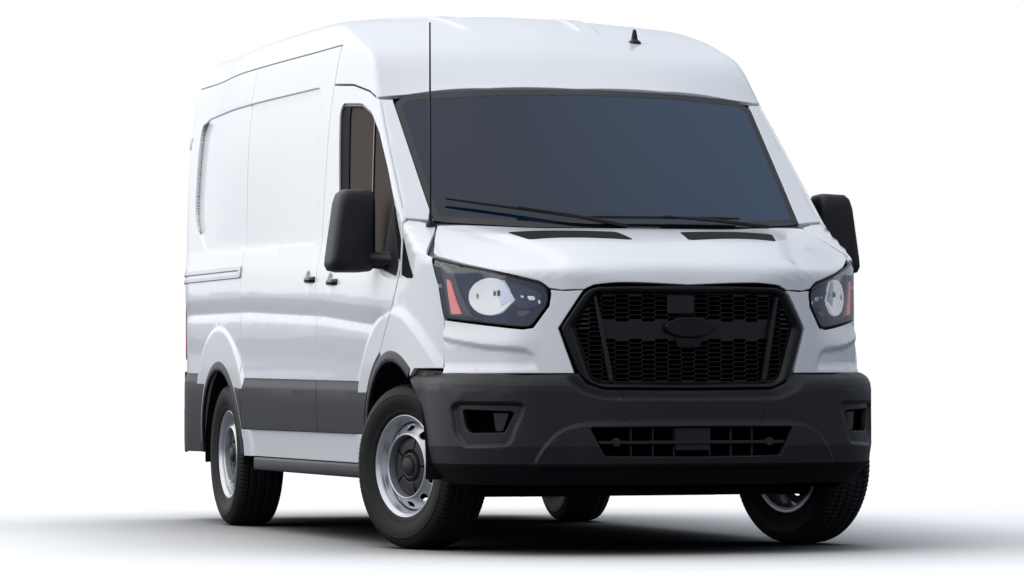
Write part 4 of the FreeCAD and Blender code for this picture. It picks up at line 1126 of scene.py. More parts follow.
@dataclass
class Studio:
    """Camera, floor and sky around the van; the sky gives all the light.

    Attributes:
        camera_place: Where the camera stands.
        camera_yaw: Turn of the view from +Y towards +X, in degrees.
        camera_pitch: Upward tilt of the view, in degrees.
        camera_roll: Roll of the view, in degrees.
        lens: Focal length for a 36 mm wide sensor.
        floor_size: Width of the floor.
        shade_reach: How far the painted shadow darkens the floor round the van.
        shade_power: How strongly it does so.
    """

    camera_place: tuple[float, float, float] = (-5.862, -19.642, 0.714)
    camera_yaw: float = 16.80
    camera_pitch: float = 1.199
    camera_roll: float = 0.137
    lens: float = 151.334
    floor_size: float = 400.0
    shade_reach: float = 1.9
    shade_power: float = 1.5

    def build(self) -> None:
        """Set up the whole studio."""
        self._camera()
        self._floor()
        self._sky()
        scene = bpy.context.scene
        scene.view_settings.view_transform = "Standard"

    def _camera(self) -> None:
        """Place the camera that the photograph gave."""
        data = bpy.data.cameras.new("camera")
        data.lens = self.lens
        data.sensor_width = 36.0
        data.clip_end = 1000.0
        camera = bpy.data.objects.new("camera", data)
        bpy.context.scene.collection.objects.link(camera)
        turn = Matrix.Rotation(math.radians(-self.camera_yaw), 4, "Z")
        tilt = Matrix.Rotation(math.radians(90 + self.camera_pitch), 4, "X")
        roll = Matrix.Rotation(math.radians(-self.camera_roll), 4, "Z")
        camera.matrix_world = Matrix.Translation(self.camera_place) @ turn @ tilt @ roll
        bpy.context.scene.camera = camera

    def _floor(self) -> None:
        """Build the floor that keeps the van's shadow, darkened further by a painted shadow from an occlusion test."""
        half = self.floor_size / 2
        corners = np.array([(-half, -half, 0), (half, -half, 0), (half, half, 0), (-half, half, 0)], float)
        floor = new_mesh("studio_floor", corners, [(0, 1, 2, 3)])
        made = bpy.data.materials.new("studio_floor")
        made.use_nodes = True
        tree = made.node_tree
        kit = NodeKit(tree)
        tree.nodes.remove(tree.nodes["Principled BSDF"])
        # Ambient occlusion darkens the floor's colour round and under the van: painted shadow on top of the real one.
        open_sky = kit.add(
            "ShaderNodeAmbientOcclusion", {"Distance": self.shade_reach}, samples=12, only_local=False
        ).outputs["AO"]
        shade = kit.math("POWER", open_sky, self.shade_power)
        seen = kit.add("ShaderNodeBsdfDiffuse", {"Color": shade}).outputs[0]
        felt = kit.add("ShaderNodeBsdfDiffuse", {"Color": (0.11, 0.12, 0.14, 1.0)}).outputs[0]
        path = kit.add("ShaderNodeLightPath").outputs["Is Camera Ray"]
        mixed = kit.add("ShaderNodeMixShader", {0: path, 1: felt, 2: seen}).outputs[0]
        tree.links.new(mixed, tree.nodes["Material Output"].inputs[0])
        floor.data.materials.append(made)

    def _sky(self) -> None:
        """Build the soft light that comes from all round."""
        world = bpy.data.worlds.new("studio_sky")
        bpy.context.scene.world = world
        world.use_nodes = True
        tree = world.node_tree
        kit = NodeKit(tree)
        back = tree.nodes["Background"]
        way = kit.add("ShaderNodeTexCoord").outputs["Generated"]
        parts = kit.add("ShaderNodeSeparateXYZ", {0: way}).outputs
        bright = kit.add(
            "ShaderNodeVectorMath", {0: way, 1: (-0.80, 0.35, 0.48)}, operation="DOT_PRODUCT"
        ).outputs["Value"]
        glow = kit.ramp(bright, -0.1, 1.0, 0.58, 1.78)
        noise = kit.add("ShaderNodeTexNoise", {"Vector": way, "Scale": 3.5, "Detail": 3.0}).outputs[0]
        ridge = kit.math("MULTIPLY_ADD", noise, 0.07, 0.004)
        low = kit.ramp(kit.math("SUBTRACT", parts[2], ridge), -0.004, 0.004, 0.0, 1.0)
        air = kit.mix(kit.ramp(bright, 0.1, 0.8, 0.0, 1.0), (0.86, 0.93, 1.04, 1.0), (1.0, 1.0, 1.0, 1.0))
        hills = kit.mix(low, (0.34, 0.38, 0.47, 1.0), air)
        lit = kit.add("ShaderNodeVectorMath", {0: hills, 3: glow}, operation="SCALE").outputs[0]
        path = kit.add("ShaderNodeLightPath").outputs["Is Camera Ray"]
        tree.links.new(kit.mix(path, lit, (1.0, 1.0, 1.0, 1.0)), back.inputs[0])
        back.inputs[1].default_value = 1.0


# ---------------------------------------------------------------- the body's panels


def arc(
    centre: tuple[float, float], radius: float, start: float, end: float, count: int = 24
) -> list[tuple[float, float]]:
    """Points on a circle between two angles in degrees."""
    turns = np.radians(np.linspace(start, end, count))
    return [(centre[0] + radius * math.cos(a), centre[1] + radius * math.sin(a)) for a in turns]


@dataclass
class SideRelief:
    """Pressed shapes of the body's sides: belt line, recess, arch bulges and handle dishes."""

    belt_y: Sequence[float] = (-1.9, -1.5, -0.57, 0.88, 2.7)
    belt_z: Sequence[float] = (1.025, 1.050, 1.103, 1.144, 1.153)
    belt_rest: float = 1.144
    upper: Points = (
        (0.80, 0.0), (0.86, 0.001), (0.95, 0.0045), (1.02, 0.0060), (1.045, 0.0030), (1.058, 0.0010), (1.070, 0.0025),
        (1.10, 0.0085), (1.135, 0.0145), (1.155, 0.0160), (1.20, 0.0165), (1.27, 0.0150), (1.345, 0.0060),
        (1.40, 0.0),
    )
    lower_edge: Points = (
        (-0.05, 0.0), (0.0, 0.0), (0.012, -0.0015), (0.028, -0.0045), (0.05, -0.0040), (0.12, -0.0010), (0.18, 0.0)
    )
    recess: Points = (
        (-0.20, 2.094), (0.8, 2.095), (2.20, 2.092), (2.325, 2.082), (2.362, 2.02), (2.32, 1.816), (2.271, 1.604),
        (2.17, 1.49),
        (1.93, 1.374), (0.6, 1.364), (-0.31, 1.358), (-0.385, 1.41), (-0.36, 1.60), (-0.25, 2.04),
    )
    recess_depth: float = 0.006
    flare: float = 0.013
    handles: Sequence[tuple[float, float]] = ((-0.296, 1.190), (-0.714, 1.170))
    cladding_y: Sequence[float] = (-1.5, 1.04, 2.16, 2.7)
    cladding_z: Sequence[float] = (0.722, 0.742, 0.770, 0.775)

    def __post_init__(self) -> None:
        """Table the distance to the recess's outline."""
        self.upper_line = smooth_line(self.upper, 12)
        self.lower_line = smooth_line(self.lower_edge, 12)
        recess = np.array(rounded(self.recess, 0.05, 6))
        axes = np.arange(-0.60, 2.60, 0.005), np.arange(1.20, 2.25, 0.005)
        grid = np.stack(np.meshgrid(*axes, indexing="ij"), -1).reshape(-1, 2)
        depths = edge_distance(grid, recess).reshape(len(axes[0]), len(axes[1]))
        self.recess_table = Table((-0.60, 1.20), (0.005, 0.005), depths)

    def creases(self) -> list[list[tuple[float, float]]]:
        """Return the lines along the recess's wall."""
        line = np.array(rounded(self.recess, 0.05, 6))
        return [[tuple(p) for p in shrunk(densified(line, 0.03), depth)] for depth in (0.0, 0.004, 0.008)]

    def __call__(self, q: Array) -> Array:
        """Return the relief at places (y, z) of a side.

        Args:
            q: Places in the plane, one row each.

        Returns:
            One height a place.
        """
        y, z = q[:, 0], q[:, 1]
        shift = np.interp(y, self.belt_y, self.belt_z) - self.belt_rest
        fade = ramp(y, -1.97, -1.60) * (1 - ramp(y, 2.2, 2.66))
        high = np.interp(z - shift, self.upper_line[:, 0], self.upper_line[:, 1]) * fade
        low = np.interp(
            z - np.interp(y, self.cladding_y, self.cladding_z), self.lower_line[:, 0], self.lower_line[:, 1]
        )
        height = high + low
        for axle, reach, wide in ((FRONT_AXLE, 0.625, 0.06), (REAR_AXLE, 0.60, 0.05)):
            radius = np.hypot(y - axle, (z - HUB_HEIGHT) * 0.97)
            bulge = self.flare * (1 - ramp(radius, reach, reach + wide)) - 0.001
            height = -lower(-height, -bulge, 0.003)
        depth = self.recess_table(np.clip(y, -0.59, 2.58), np.clip(z, 1.21, 2.23))
        height = height - self.recess_depth * ramp(depth, 0.0, 0.008)
        for place in self.handles:
            oval = np.hypot((y - place[0]) / 0.055, (z - place[1]) / 0.043)
            height = height - 0.014 * (1 - ramp(oval, 0.55, 1.0))
        return height


@dataclass
class Shell:
    """The painted body: sides, doors, roof, pillars, fenders and bonnet."""

    form: BodyForm
    relief: SideRelief = field(default_factory=SideRelief)
    sill: float = 0.490
    sill_bottom: float = 0.358
    door_top: float = 2.085
    slider_top: float = 2.270
    arch: float = 0.515
    rear_arch: float = 0.488
    corner: float = 0.020
    fender_axis: tuple[float, float] = (0.45, 0.80)
    fender_scale: float = 0.55
    bonnet_axis: tuple[float, float] = (-2.15, 0.75)
    bonnet_scale: float = 0.65
    roof_axis: tuple[float, float] = (0.0, 1.75)
    roof_scale: float = 0.85
    window: Points = (
        (-0.785, 1.288), (-0.700, 1.590), (-0.606, 1.945), (-0.640, 1.988), (-0.930, 1.970), (-1.115, 1.918),
        (-1.290, 1.822),
        (-1.510, 1.645), (-1.670, 1.493), (-1.830, 1.225), (-1.819, 1.169), (-1.600, 1.204), (-1.190, 1.265),
    )
    vents: Points = ((0.130, -2.405), (0.545, -2.305), (0.590, -2.135), (0.150, -2.232))

    def pillar_seam(self, heights: Sequence[float], inset: float) -> list[tuple[float, float]]:
        """Places (y, z) of the door's front seam, where the pillar turns into the side.

        Args:
            heights: Heights of the seam's points.
            inset: Distance from the corner.

        Returns:
            The outline's points.
        """
        z = np.array(heights, float)
        x = self.form.side_limit(z) - inset
        y = self.form.ahead(np.stack([x, z], 1))[:, 1]
        return list(zip(y.tolist(), z.tolist()))

    def door_outline(self, grow: float) -> list[tuple[float, float]]:
        """Outline (y, z) of a front door, moved outwards by a distance.

        Args:
            grow: Distance to grow the outline by.

        Returns:
            The outline's points.
        """
        upper = [
            (SEAM + grow, self.sill - grow), (SEAM + grow, self.door_top + grow), (-0.757, 2.0645 + grow),
            (-1.022, 2.019 + grow)
        ]
        seam = self.pillar_seam((1.975, 1.93, 1.85, 1.75, 1.65, 1.55, 1.47, 1.42), self.corner - grow)
        front = [
            (-1.842 - grow, 1.33), (-1.865 - grow, 1.2144), (-1.819 - grow, 1.113), (-1.7505 - grow, 0.999),
            (-1.605, 0.850)
        ]
        lower_arc = arc((FRONT_AXLE, HUB_HEIGHT), self.arch - grow, 70.5, 15.0, 20)
        return upper + seam + front + lower_arc

    def panel(
        self, name: str, outline: Points, side: int, body: str, nodes: Sequence[str], **extra: object
    ) -> bpy.types.Object:
        """Build a painted panel on one side of the van.

        Args:
            name: Name of the piece.
            outline: The piece's outline in the plane.
            side: RIGHT or LEFT.
            body: Body that the piece rides on.
            nodes: Nodes that the piece replaces.

        Returns:
            The new object.
        """
        made = Panel(name, outline, self.form.side(side), self.relief, outward=(0.0, 0.0, 1.1), **extra).build()
        PAINT.wear(made)
        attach(made, body)
        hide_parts(*nodes)
        return made

    def build(self) -> None:
        """Build every painted panel."""
        for word, side in SIDES.items():
            self._doors(word, side)
            self._rear_side(word, side)
            self._fender(word, side)
            self._pillar(word, side)
        self._slider()
        self._roof()
        self._bonnet()
        self._glass()

    def _doors(self, word: str, side: int) -> None:
        """Build one front door's skin.

        Args:
            word: Side in the names of the pieces.
            side: RIGHT or LEFT.
        """
        body = f"front_door_{word}_body"
        window = rounded(self.window, 0.03, 4)
        self.panel(
            f"front_door_{word}_skin", self.door_outline(-GAP / 2), side, body, [f"front_door_{word}"],
            holes=[window], thickness=0.035
        )
        LOG.info("front door %s", word)

    def _slider(self) -> None:
        """Build the sliding door's skin."""
        g = GAP / 2
        outline = [
            (SEAM + g, self.sill + g), (SLIDER_END - g, self.sill + g), (SLIDER_END - g, self.slider_top - g),
            (SEAM + g, self.slider_top - g)
        ]
        self.panel(
            "sliding_door_skin", rounded(outline, 0.02, 4), RIGHT, Body.VAN.value, ["sliding_door"], thickness=0.035,
            creases=self.relief.creases()
        )
        LOG.info("sliding door")

    def _rear_side(self, word: str, side: int) -> None:
        """Build the side behind the doors, and the sill.

        Args:
            word: Side in the names of the pieces.
            side: RIGHT or LEFT.
        """
        g = GAP / 2
        start = SLIDER_END + g if side == RIGHT else SEAM + g
        rear_low, rear_high = 2.690, 2.672
        wheel = arc((REAR_AXLE, HUB_HEIGHT), self.rear_arch - 0.05, 8.0, 172.0, 40)
        outline = [(start, self.slider_top - g), (start, self.sill_bottom)] + wheel[::-1]
        outline += [
            (rear_low, self.sill_bottom + 0.02), (rear_low + 0.008, 0.9), (rear_low + 0.004, 1.4), (rear_high, 2.0),
            (rear_high - 0.03, self.slider_top - g)
        ]
        self.panel(
            f"side_panel_{word}_skin", outline, side, Body.VAN.value, [f"side_panel_{word}"], thickness=0.03,
            creases=self.relief.creases()
        )
        front_end = FRONT_AXLE + math.sqrt(self.arch**2 - (self.sill_bottom - HUB_HEIGHT) ** 2) - 0.03
        end = SLIDER_END - 0.002 if side == RIGHT else SEAM + 0.002
        sill = [
            (front_end, self.sill_bottom), (end, self.sill_bottom), (end, self.sill - g),
            (front_end - 0.02, self.sill - g)
        ]
        self.panel(f"sill_{word}", sill, side, Body.VAN.value, [], thickness=0.03)
        LOG.info("rear side %s", word)

    def fender_place(self, points: Sequence[tuple[float, float, float]]) -> list[tuple[float, float]]:
        """Turn places on the fender into its mapping's plane."""
        cx, cz = self.fender_axis
        return [(math.atan2(z - cz, x - cx) * self.fender_scale, y) for x, y, z in points]

    def _fender(self, word: str, side: int) -> None:
        """Build one fender.

        Args:
            word: Side in the names of the pieces.
            side: RIGHT or LEFT.
        """
        g = GAP
        seam = [
            (y - g, z) for y,
            z in ((-1.605, 0.852), (-1.7505, 0.999), (-1.819, 1.113), (-1.865, 1.2144), (-1.842, 1.33))
        ]
        seam_x = self.form.side(1)(np.array(seam))[:, 0]
        back = [(x, y, z) for x, (y, z) in zip(seam_x, seam)]
        top = [(0.951, -1.815, 1.418), (0.905, -1.828, 1.4185), (0.845, -1.868, 1.396), (0.852, -1.905, 1.383)]
        bonnet_side = [(0.868, -1.96, 1.35), (0.896, -2.037, 1.302), (0.932, -2.151, 1.232), (0.945, -2.190, 1.245)]
        lamp_side = [(0.944, -2.196, 1.235), (0.940, -2.249, 1.128), (0.925, -2.282, 0.987), (0.925, -2.282, 0.775)]
        low = [(0.983, -2.0745, 0.775)]
        wheel = arc((FRONT_AXLE, HUB_HEIGHT), self.arch - 0.05, 124.0, 72.0, 24)
        wheel_x = self.form.side(1)(np.array(wheel))[:, 0]
        places = back + top + bonnet_side + lamp_side + low + [(x, y, z) for x, (y, z) in zip(wheel_x, wheel)]
        cx, cz = self.fender_axis

        def relief(q: Array) -> Array:
            """Return the relief in the fender's own plane."""
            z = cz + (0.985 - cx) * np.tan(np.clip(q[:, 0] / self.fender_scale, -1.2, 1.2))
            return self.relief(np.stack([q[:, 1], np.minimum(z, 1.33)], 1)) * (1 - ramp(z, 1.2, 1.3))

        mapping = self.form.around(self.fender_axis, self.fender_scale, side)
        made = Panel(
            f"fender_{word}", self.fender_place(places), mapping, relief, thickness=0.02, spacing=0.022,
            outward=(0.0, 0.0, 0.8)
        ).build()
        PAINT.wear(made)
        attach(made, Body.VAN.value)
        if side == RIGHT:
            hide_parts("fenders")

    def _pillar(self, word: str, side: int) -> None:
        """Build one windscreen pillar.

        Args:
            word: Side in the names of the pieces.
            side: RIGHT or LEFT.
        """
        seam = self.pillar_seam((1.425, 1.47, 1.55, 1.65, 1.75, 1.85, 1.93, 1.975), self.corner - 0.0075)
        z = np.array([p[1] for p in seam])
        outer = [(x, h) for x, h in zip(self.form.side_limit(z) - self.corner + 0.0125, z)]
        outer[0] = (outer[0][0] - 0.004, outer[0][1])
        inner = [(0.838, 1.412), (0.8405, 1.60), (0.8415, 1.90), (0.842, 1.955), (0.842, 1.975)]
        outline = [(side * x, h) for x, h in outer + inner[::-1]]
        made = Panel(f"pillar_{word}", outline, self.form.ahead, thickness=0.03, outward=(0.0, -1.0, 1.2)).build()
        PAINT.wear(made)
        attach(made, Body.VAN.value)
        if side == RIGHT:
            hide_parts("scuttle_and_pillars")

    def _roof(self) -> None:
        """Build the roof with its two beads."""
        cx, cz = self.roof_axis
        k = self.roof_scale

        def spot(x: float, z: float, y: float) -> tuple[float, float]:
            """Turn a place on the roof into the mapping's plane."""
            return ((math.pi / 2 - math.atan2(z - cz, x - cx)) * k, y)

        g = GAP / 2
        half = [
            spot(0.0, 2.034, -1.243), spot(0.406, 2.024, -1.226), spot(0.777, 2.001, -1.178),
            spot(0.842, 1.962, -1.150), spot(0.842, 1.982, -1.13)
        ]
        seam = self.pillar_seam((1.982,), self.corner)[0]
        half.append(spot(float(self.form.side_limit(1.982)) - self.corner, 1.982, seam[0] + 0.004))
        line = [(-1.022, 2.019 + 2 * g), (-0.757, 2.0645 + 2 * g), (SEAM - g, self.door_top + 2 * g)]
        line += [(float(y), self.slider_top + g) for y in (*np.arange(SEAM - g, 2.60, 0.08), 2.61, 2.655)]
        across = self.form.side(1)(np.array(line))[:, 0]
        half += [spot(float(x), z, y) for x, (y, z) in zip(across, line)]
        half += [spot(0.62, 2.44, 2.650), spot(0.0, 2.45, 2.652)]

        def mapping(q: Array) -> Array:
            """Find the roof's points for places.

            Args:
                q: Places in the plane, one row each.

            Returns:
                One point a place.
            """
            a = math.pi / 2 - q[:, 0] / k
            start = np.stack([np.zeros(len(q)), q[:, 1], np.full(len(q), cz)], 1)
            way = np.stack([np.cos(a), np.zeros(len(q)), np.sin(a)], 1)
            return self.form.hit(start, way, 1.6)

        def relief(q: Array) -> Array:
            """Return the height of the beads.

            Args:
                q: Places in the plane, one row each.

            Returns:
                One height a place.
            """
            height = np.zeros(len(q))
            for middle in (-0.36, 0.36):
                across = np.abs(q[:, 0] - middle)
                height += 0.007 * (1 - ramp(across, 0.045, 0.062)) * ramp(q[:, 1], -0.62, -0.50)
            return height

        outline = mirrored(half)
        made = Panel(
            "roof_skin", outline, mapping, relief, thickness=0.02, spacing=0.035, curved=0.012,
            outward=(0.0, 0.0, 1.2)
        ).build()
        PAINT.wear(made)
        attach(made, Body.VAN.value)
        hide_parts("roof_panel")
        LOG.info("roof")

    def bonnet_spot(self, x: float, y: float, z: float) -> tuple[float, float]:
        """Turn a place on the bonnet into its mapping's plane."""
        cy, cz = self.bonnet_axis
        return (x, math.atan2(z - cz, cy - y) * self.bonnet_scale)

    def bonnet_map(self, q: Array) -> Array:
        """Map (x, angle times scale) outwards from the bonnet's crosswise axis.

        Args:
            q: Places in the plane, one row each.

        Returns:
            One point a place.
        """
        cy, cz = self.bonnet_axis
        a = q[:, 1] / self.bonnet_scale
        start = np.stack([q[:, 0], np.full(len(q), cy), np.full(len(q), cz)], 1)
        way = np.stack([np.zeros(len(q)), -np.cos(a), np.sin(a)], 1)
        return self.form.hit(start, way, 1.2)

    def bonnet_relief(self, q: Array) -> Array:
        """Return the bonnet's raised middle and front crease.

        Args:
            q: Places in the plane, one row each.

        Returns:
            One height a place.
        """
        x, v = np.abs(q[:, 0]), q[:, 1] / self.bonnet_scale
        edge = np.interp(v, (0.5, 0.85, 1.5, 1.9), (0.50, 0.50, 0.62, 0.70))
        middle = 1 - ramp(x, edge - 0.03, edge + 0.05)
        rise = 0.012 * middle * ramp(v, 0.50, 0.85) * (1 - ramp(v, 1.5, 1.95))
        return rise

    def _bonnet(self) -> None:
        """Build the bonnet with its vents."""
        back = [
            (0.0, -2.030, 1.372), (0.4466, -1.985, 1.3776), (0.72, -1.905, 1.392), (0.835, -1.885, 1.385),
            (0.862, -1.960, 1.345),
            (0.889, -2.037, 1.302), (0.926, -2.151, 1.240),
        ]
        reach = np.append(np.linspace(1.196, 0.640, 15), (0.612, 0.598))
        brow = np.stack(
            [
                reach,
                np.interp(
                    reach, (0.590, 0.612, 0.640, 0.700, 0.924, 1.209), (1.098, 1.117, 1.134, 1.148, 1.197, 1.253)
                )
            ],
            1
        )
        front = [(0.530, -2.686, 1.095), (0.447, -2.727, 1.097), (0.408, -2.742, 1.117), (0.0, -2.779, 1.122)]
        half = back + [tuple(p) for p in self.form.nose(brow)] + front
        outline = mirrored([self.bonnet_spot(*p) for p in half])
        vents = []
        for side in (RIGHT, LEFT):
            plane = np.array([(side * x, y) for x, y in self.vents])
            vents.append([self.bonnet_spot(*p) for p in self.form.above(plane)])
        holes = [rounded(v, 0.02, 4) for v in vents]
        made = Panel(
            "bonnet_skin", outline, self.bonnet_map, self.bonnet_relief, holes=holes, thickness=0.025, spacing=0.025,
            outward=(0.0, -2.1, 0.6)
        ).build()
        PAINT.wear(made)
        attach(made, Body.BONNET.value)
        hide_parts("bonnet")
        for word, vent in zip(SIDES, vents):
            inside = [tuple(p) for p in shrunk(densified(rounded(vent, 0.02, 4), 0.02), -0.008)]
            dark = Panel(
                f"bonnet_vent_{word}", inside, self.bonnet_map, lift=0.0010, thickness=0.006, roll=0.002,
                relief=self.bonnet_relief, outward=(0.0, -2.1, 0.6)
            ).build()
            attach(VENT.wear(dark), Body.BONNET.value)
        LOG.info("bonnet")

    def _glass(self) -> None:
        """Build the windscreen and the black band round it."""
        half = [
            (0.0, 1.378), (0.45, 1.383), (0.80, 1.405), (0.835, 1.412), (0.838, 1.60), (0.839, 1.945), (0.832, 1.962),
            (0.778, 1.998), (0.406, 2.021), (0.0, 2.031)
        ]
        made = Panel(
            "windscreen_glass", mirrored(half), self.form.ahead, thickness=0.006, spacing=0.04, roll=0.001,
            lift=-0.002, outward=(0.0, -1.0, 1.2)
        ).build()
        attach(SCREEN.wear(made), Body.VAN.value)
        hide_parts("windscreen")
        ring = shrunk(densified(mirrored(half), 0.02), 0.028)
        band = Panel(
            "windscreen_band", mirrored(half), self.form.ahead, holes=[[tuple(p) for p in ring]], thickness=0.002,
            roll=0.001, lift=-0.0012, spacing=0.04, outward=(0.0, -1.0, 1.2)
        ).build()
        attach(EDGE_BLACK.wear(band), Body.VAN.value)
        for word, side in SIDES.items():
            body = f"front_door_{word}_body"
            outline = rounded(self.window, 0.03, 4)
            inner = shrunk(densified(outline, 0.02), -0.004)
            pane = Panel(
                f"door_pane_{word}", [tuple(p) for p in inner], self.form.side(side), thickness=0.005, lift=-0.016,
                roll=0.001, outward=(0.0, 0.0, 1.1)
            ).build()
            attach(WINDOW.wear(pane), body)
            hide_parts(f"door_glass_{word}")
        LOG.info("glass")


# ---------------------------------------------------------------- simple solids


def mapped_points(outline: Points, side: int) -> list[tuple[float, float]]:
    """Turn an outline of the left half over to one side."""
    return [(side * a, b) for a, b in outline]


def lathe(name: str, profile: Points, segments: int = 96, axis: str = "X", closed: bool = False) -> bpy.types.Object:
    """Turn a profile about an axis through the origin.

    Args:
        name: Name of the object.
        profile: Places (along, radius), from the inner side outwards.
        segments: Steps round the axis.
        axis: Name of the axis.
        closed: Whether the profile's last place joins its first.

    Returns:
        The new object.
    """
    turns = np.linspace(0, 2 * math.pi, segments, endpoint=False)
    line = np.array(profile, float)
    rows = []
    for along, radius in line:
        ring = np.stack([np.full(segments, along), radius * np.cos(turns), radius * np.sin(turns)], 1)
        rows.append(ring)
    verts = np.vstack(rows)
    if axis == "Y":
        verts = verts[:, [1, 0, 2]]
    elif axis == "Z":
        verts = verts[:, [1, 2, 0]]
    n = len(line)
    faces = []
    for i in range(n if closed else n - 1):
        j = (i + 1) % n
        for k in range(segments):
            m = (k + 1) % segments
            faces.append((i * segments + k, i * segments + m, j * segments + m, j * segments + k))
    obj = new_mesh(name, verts, faces)
    tidy(obj)
    return obj


def tidy(obj: bpy.types.Object, angle: float = 32.0) -> bpy.types.Object:
    """Merge doubled points, turn faces outwards and mark hard edges.

    Args:
        obj: The object to change.
        angle: Angle in degrees.

    Returns:
        The same object.
    """
    work = bmesh.new()
    work.from_mesh(obj.data)
    bmesh.ops.remove_doubles(work, verts=work.verts, dist=1e-6)
    bmesh.ops.recalc_face_normals(work, faces=work.faces)
    work.to_mesh(obj.data)
    work.free()
    obj.data.polygons.foreach_set("use_smooth", [True] * len(obj.data.polygons))
    obj.data.set_sharp_from_angle(angle=math.radians(angle))
    obj.data.update()
    return obj


def block(
    name: str, low: Sequence[float], high: Sequence[float], bevel: float = 0.0, segments: int = 3
) -> bpy.types.Object:
    """Make a box between two corners with rounded edges.

    Args:
        name: Name of the piece.
        low: Lowest corner.
        high: Highest corner.
        bevel: Width of the rounded edges.
        segments: Steps round the axis.

    Returns:
        The new object.
    """
    work = bmesh.new()
    bmesh.ops.create_cube(work, size=1.0)
    size = Vector(high) - Vector(low)
    bmesh.ops.scale(work, vec=size, verts=work.verts)
    bmesh.ops.translate(work, vec=(Vector(high) + Vector(low)) / 2, verts=work.verts)
    if bevel:
        bmesh.ops.bevel(work, geom=list(work.edges), offset=bevel, segments=segments, profile=0.5, affect="EDGES")
    mesh = bpy.data.meshes.new(name)
    work.to_mesh(mesh)
    work.free()
    obj = bpy.data.objects.new(name, mesh)
    bpy.context.scene.collection.objects.link(obj)
    return tidy(obj)


def tube(
    name: str, points: Sequence[Sequence[float]], radii: Sequence[float] | float, sides: int = 16
) -> bpy.types.Object:
    """Sweep a round section along points.

    Args:
        name: Name of the piece.
        points: Places that the middle line passes.
        radii: Radius at each place.
        sides: Number of flat sides.

    Returns:
        The new object.
    """
    p = np.array(points, float)
    size = np.full(len(p), radii) if isinstance(radii, float) else np.array(radii)
    way = np.gradient(p, axis=0)
    way /= np.linalg.norm(way, axis=1, keepdims=True)
    first = np.cross(way, np.where(np.abs(way[:, 2:3]) < 0.9, [[0, 0, 1.0]], [[1.0, 0, 0]]))
    first /= np.linalg.norm(first, axis=1, keepdims=True)
    second = np.cross(way, first)
    turns = np.linspace(0, 2 * math.pi, sides, endpoint=False)
    rows = [
        p[:, None] + size[:, None, None] * (
            first[:, None] * np.cos(turns)[None, :, None] + second[:, None] * np.sin(turns)[None, :, None]
        )
    ]
    verts = rows[0].reshape(-1, 3)
    faces = [
        (i * sides + k, i * sides + (k + 1) % sides, (i + 1) * sides + (k + 1) % sides, (i + 1) * sides + k)
        for i in range(len(p) - 1) for k in range(sides)
    ]
    faces += [tuple(range(sides))[::-1], tuple((len(p) - 1) * sides + k for k in range(sides))]
    return tidy(new_mesh(name, verts, faces))


def joined(name: str, objects: Sequence[bpy.types.Object]) -> bpy.types.Object:
    """Join objects of one finish into one object.

    Args:
        name: Name of the piece.
        objects: The objects to join.

    Returns:
        The joined object.
    """
    with bpy.context.temp_override(
        active_object=objects[0], selected_editable_objects=list(objects), selected_objects=list(objects)
    ):
        bpy.ops.object.join()
    objects[0].name = name
    return objects[0]


# ---------------------------------------------------------------- nose


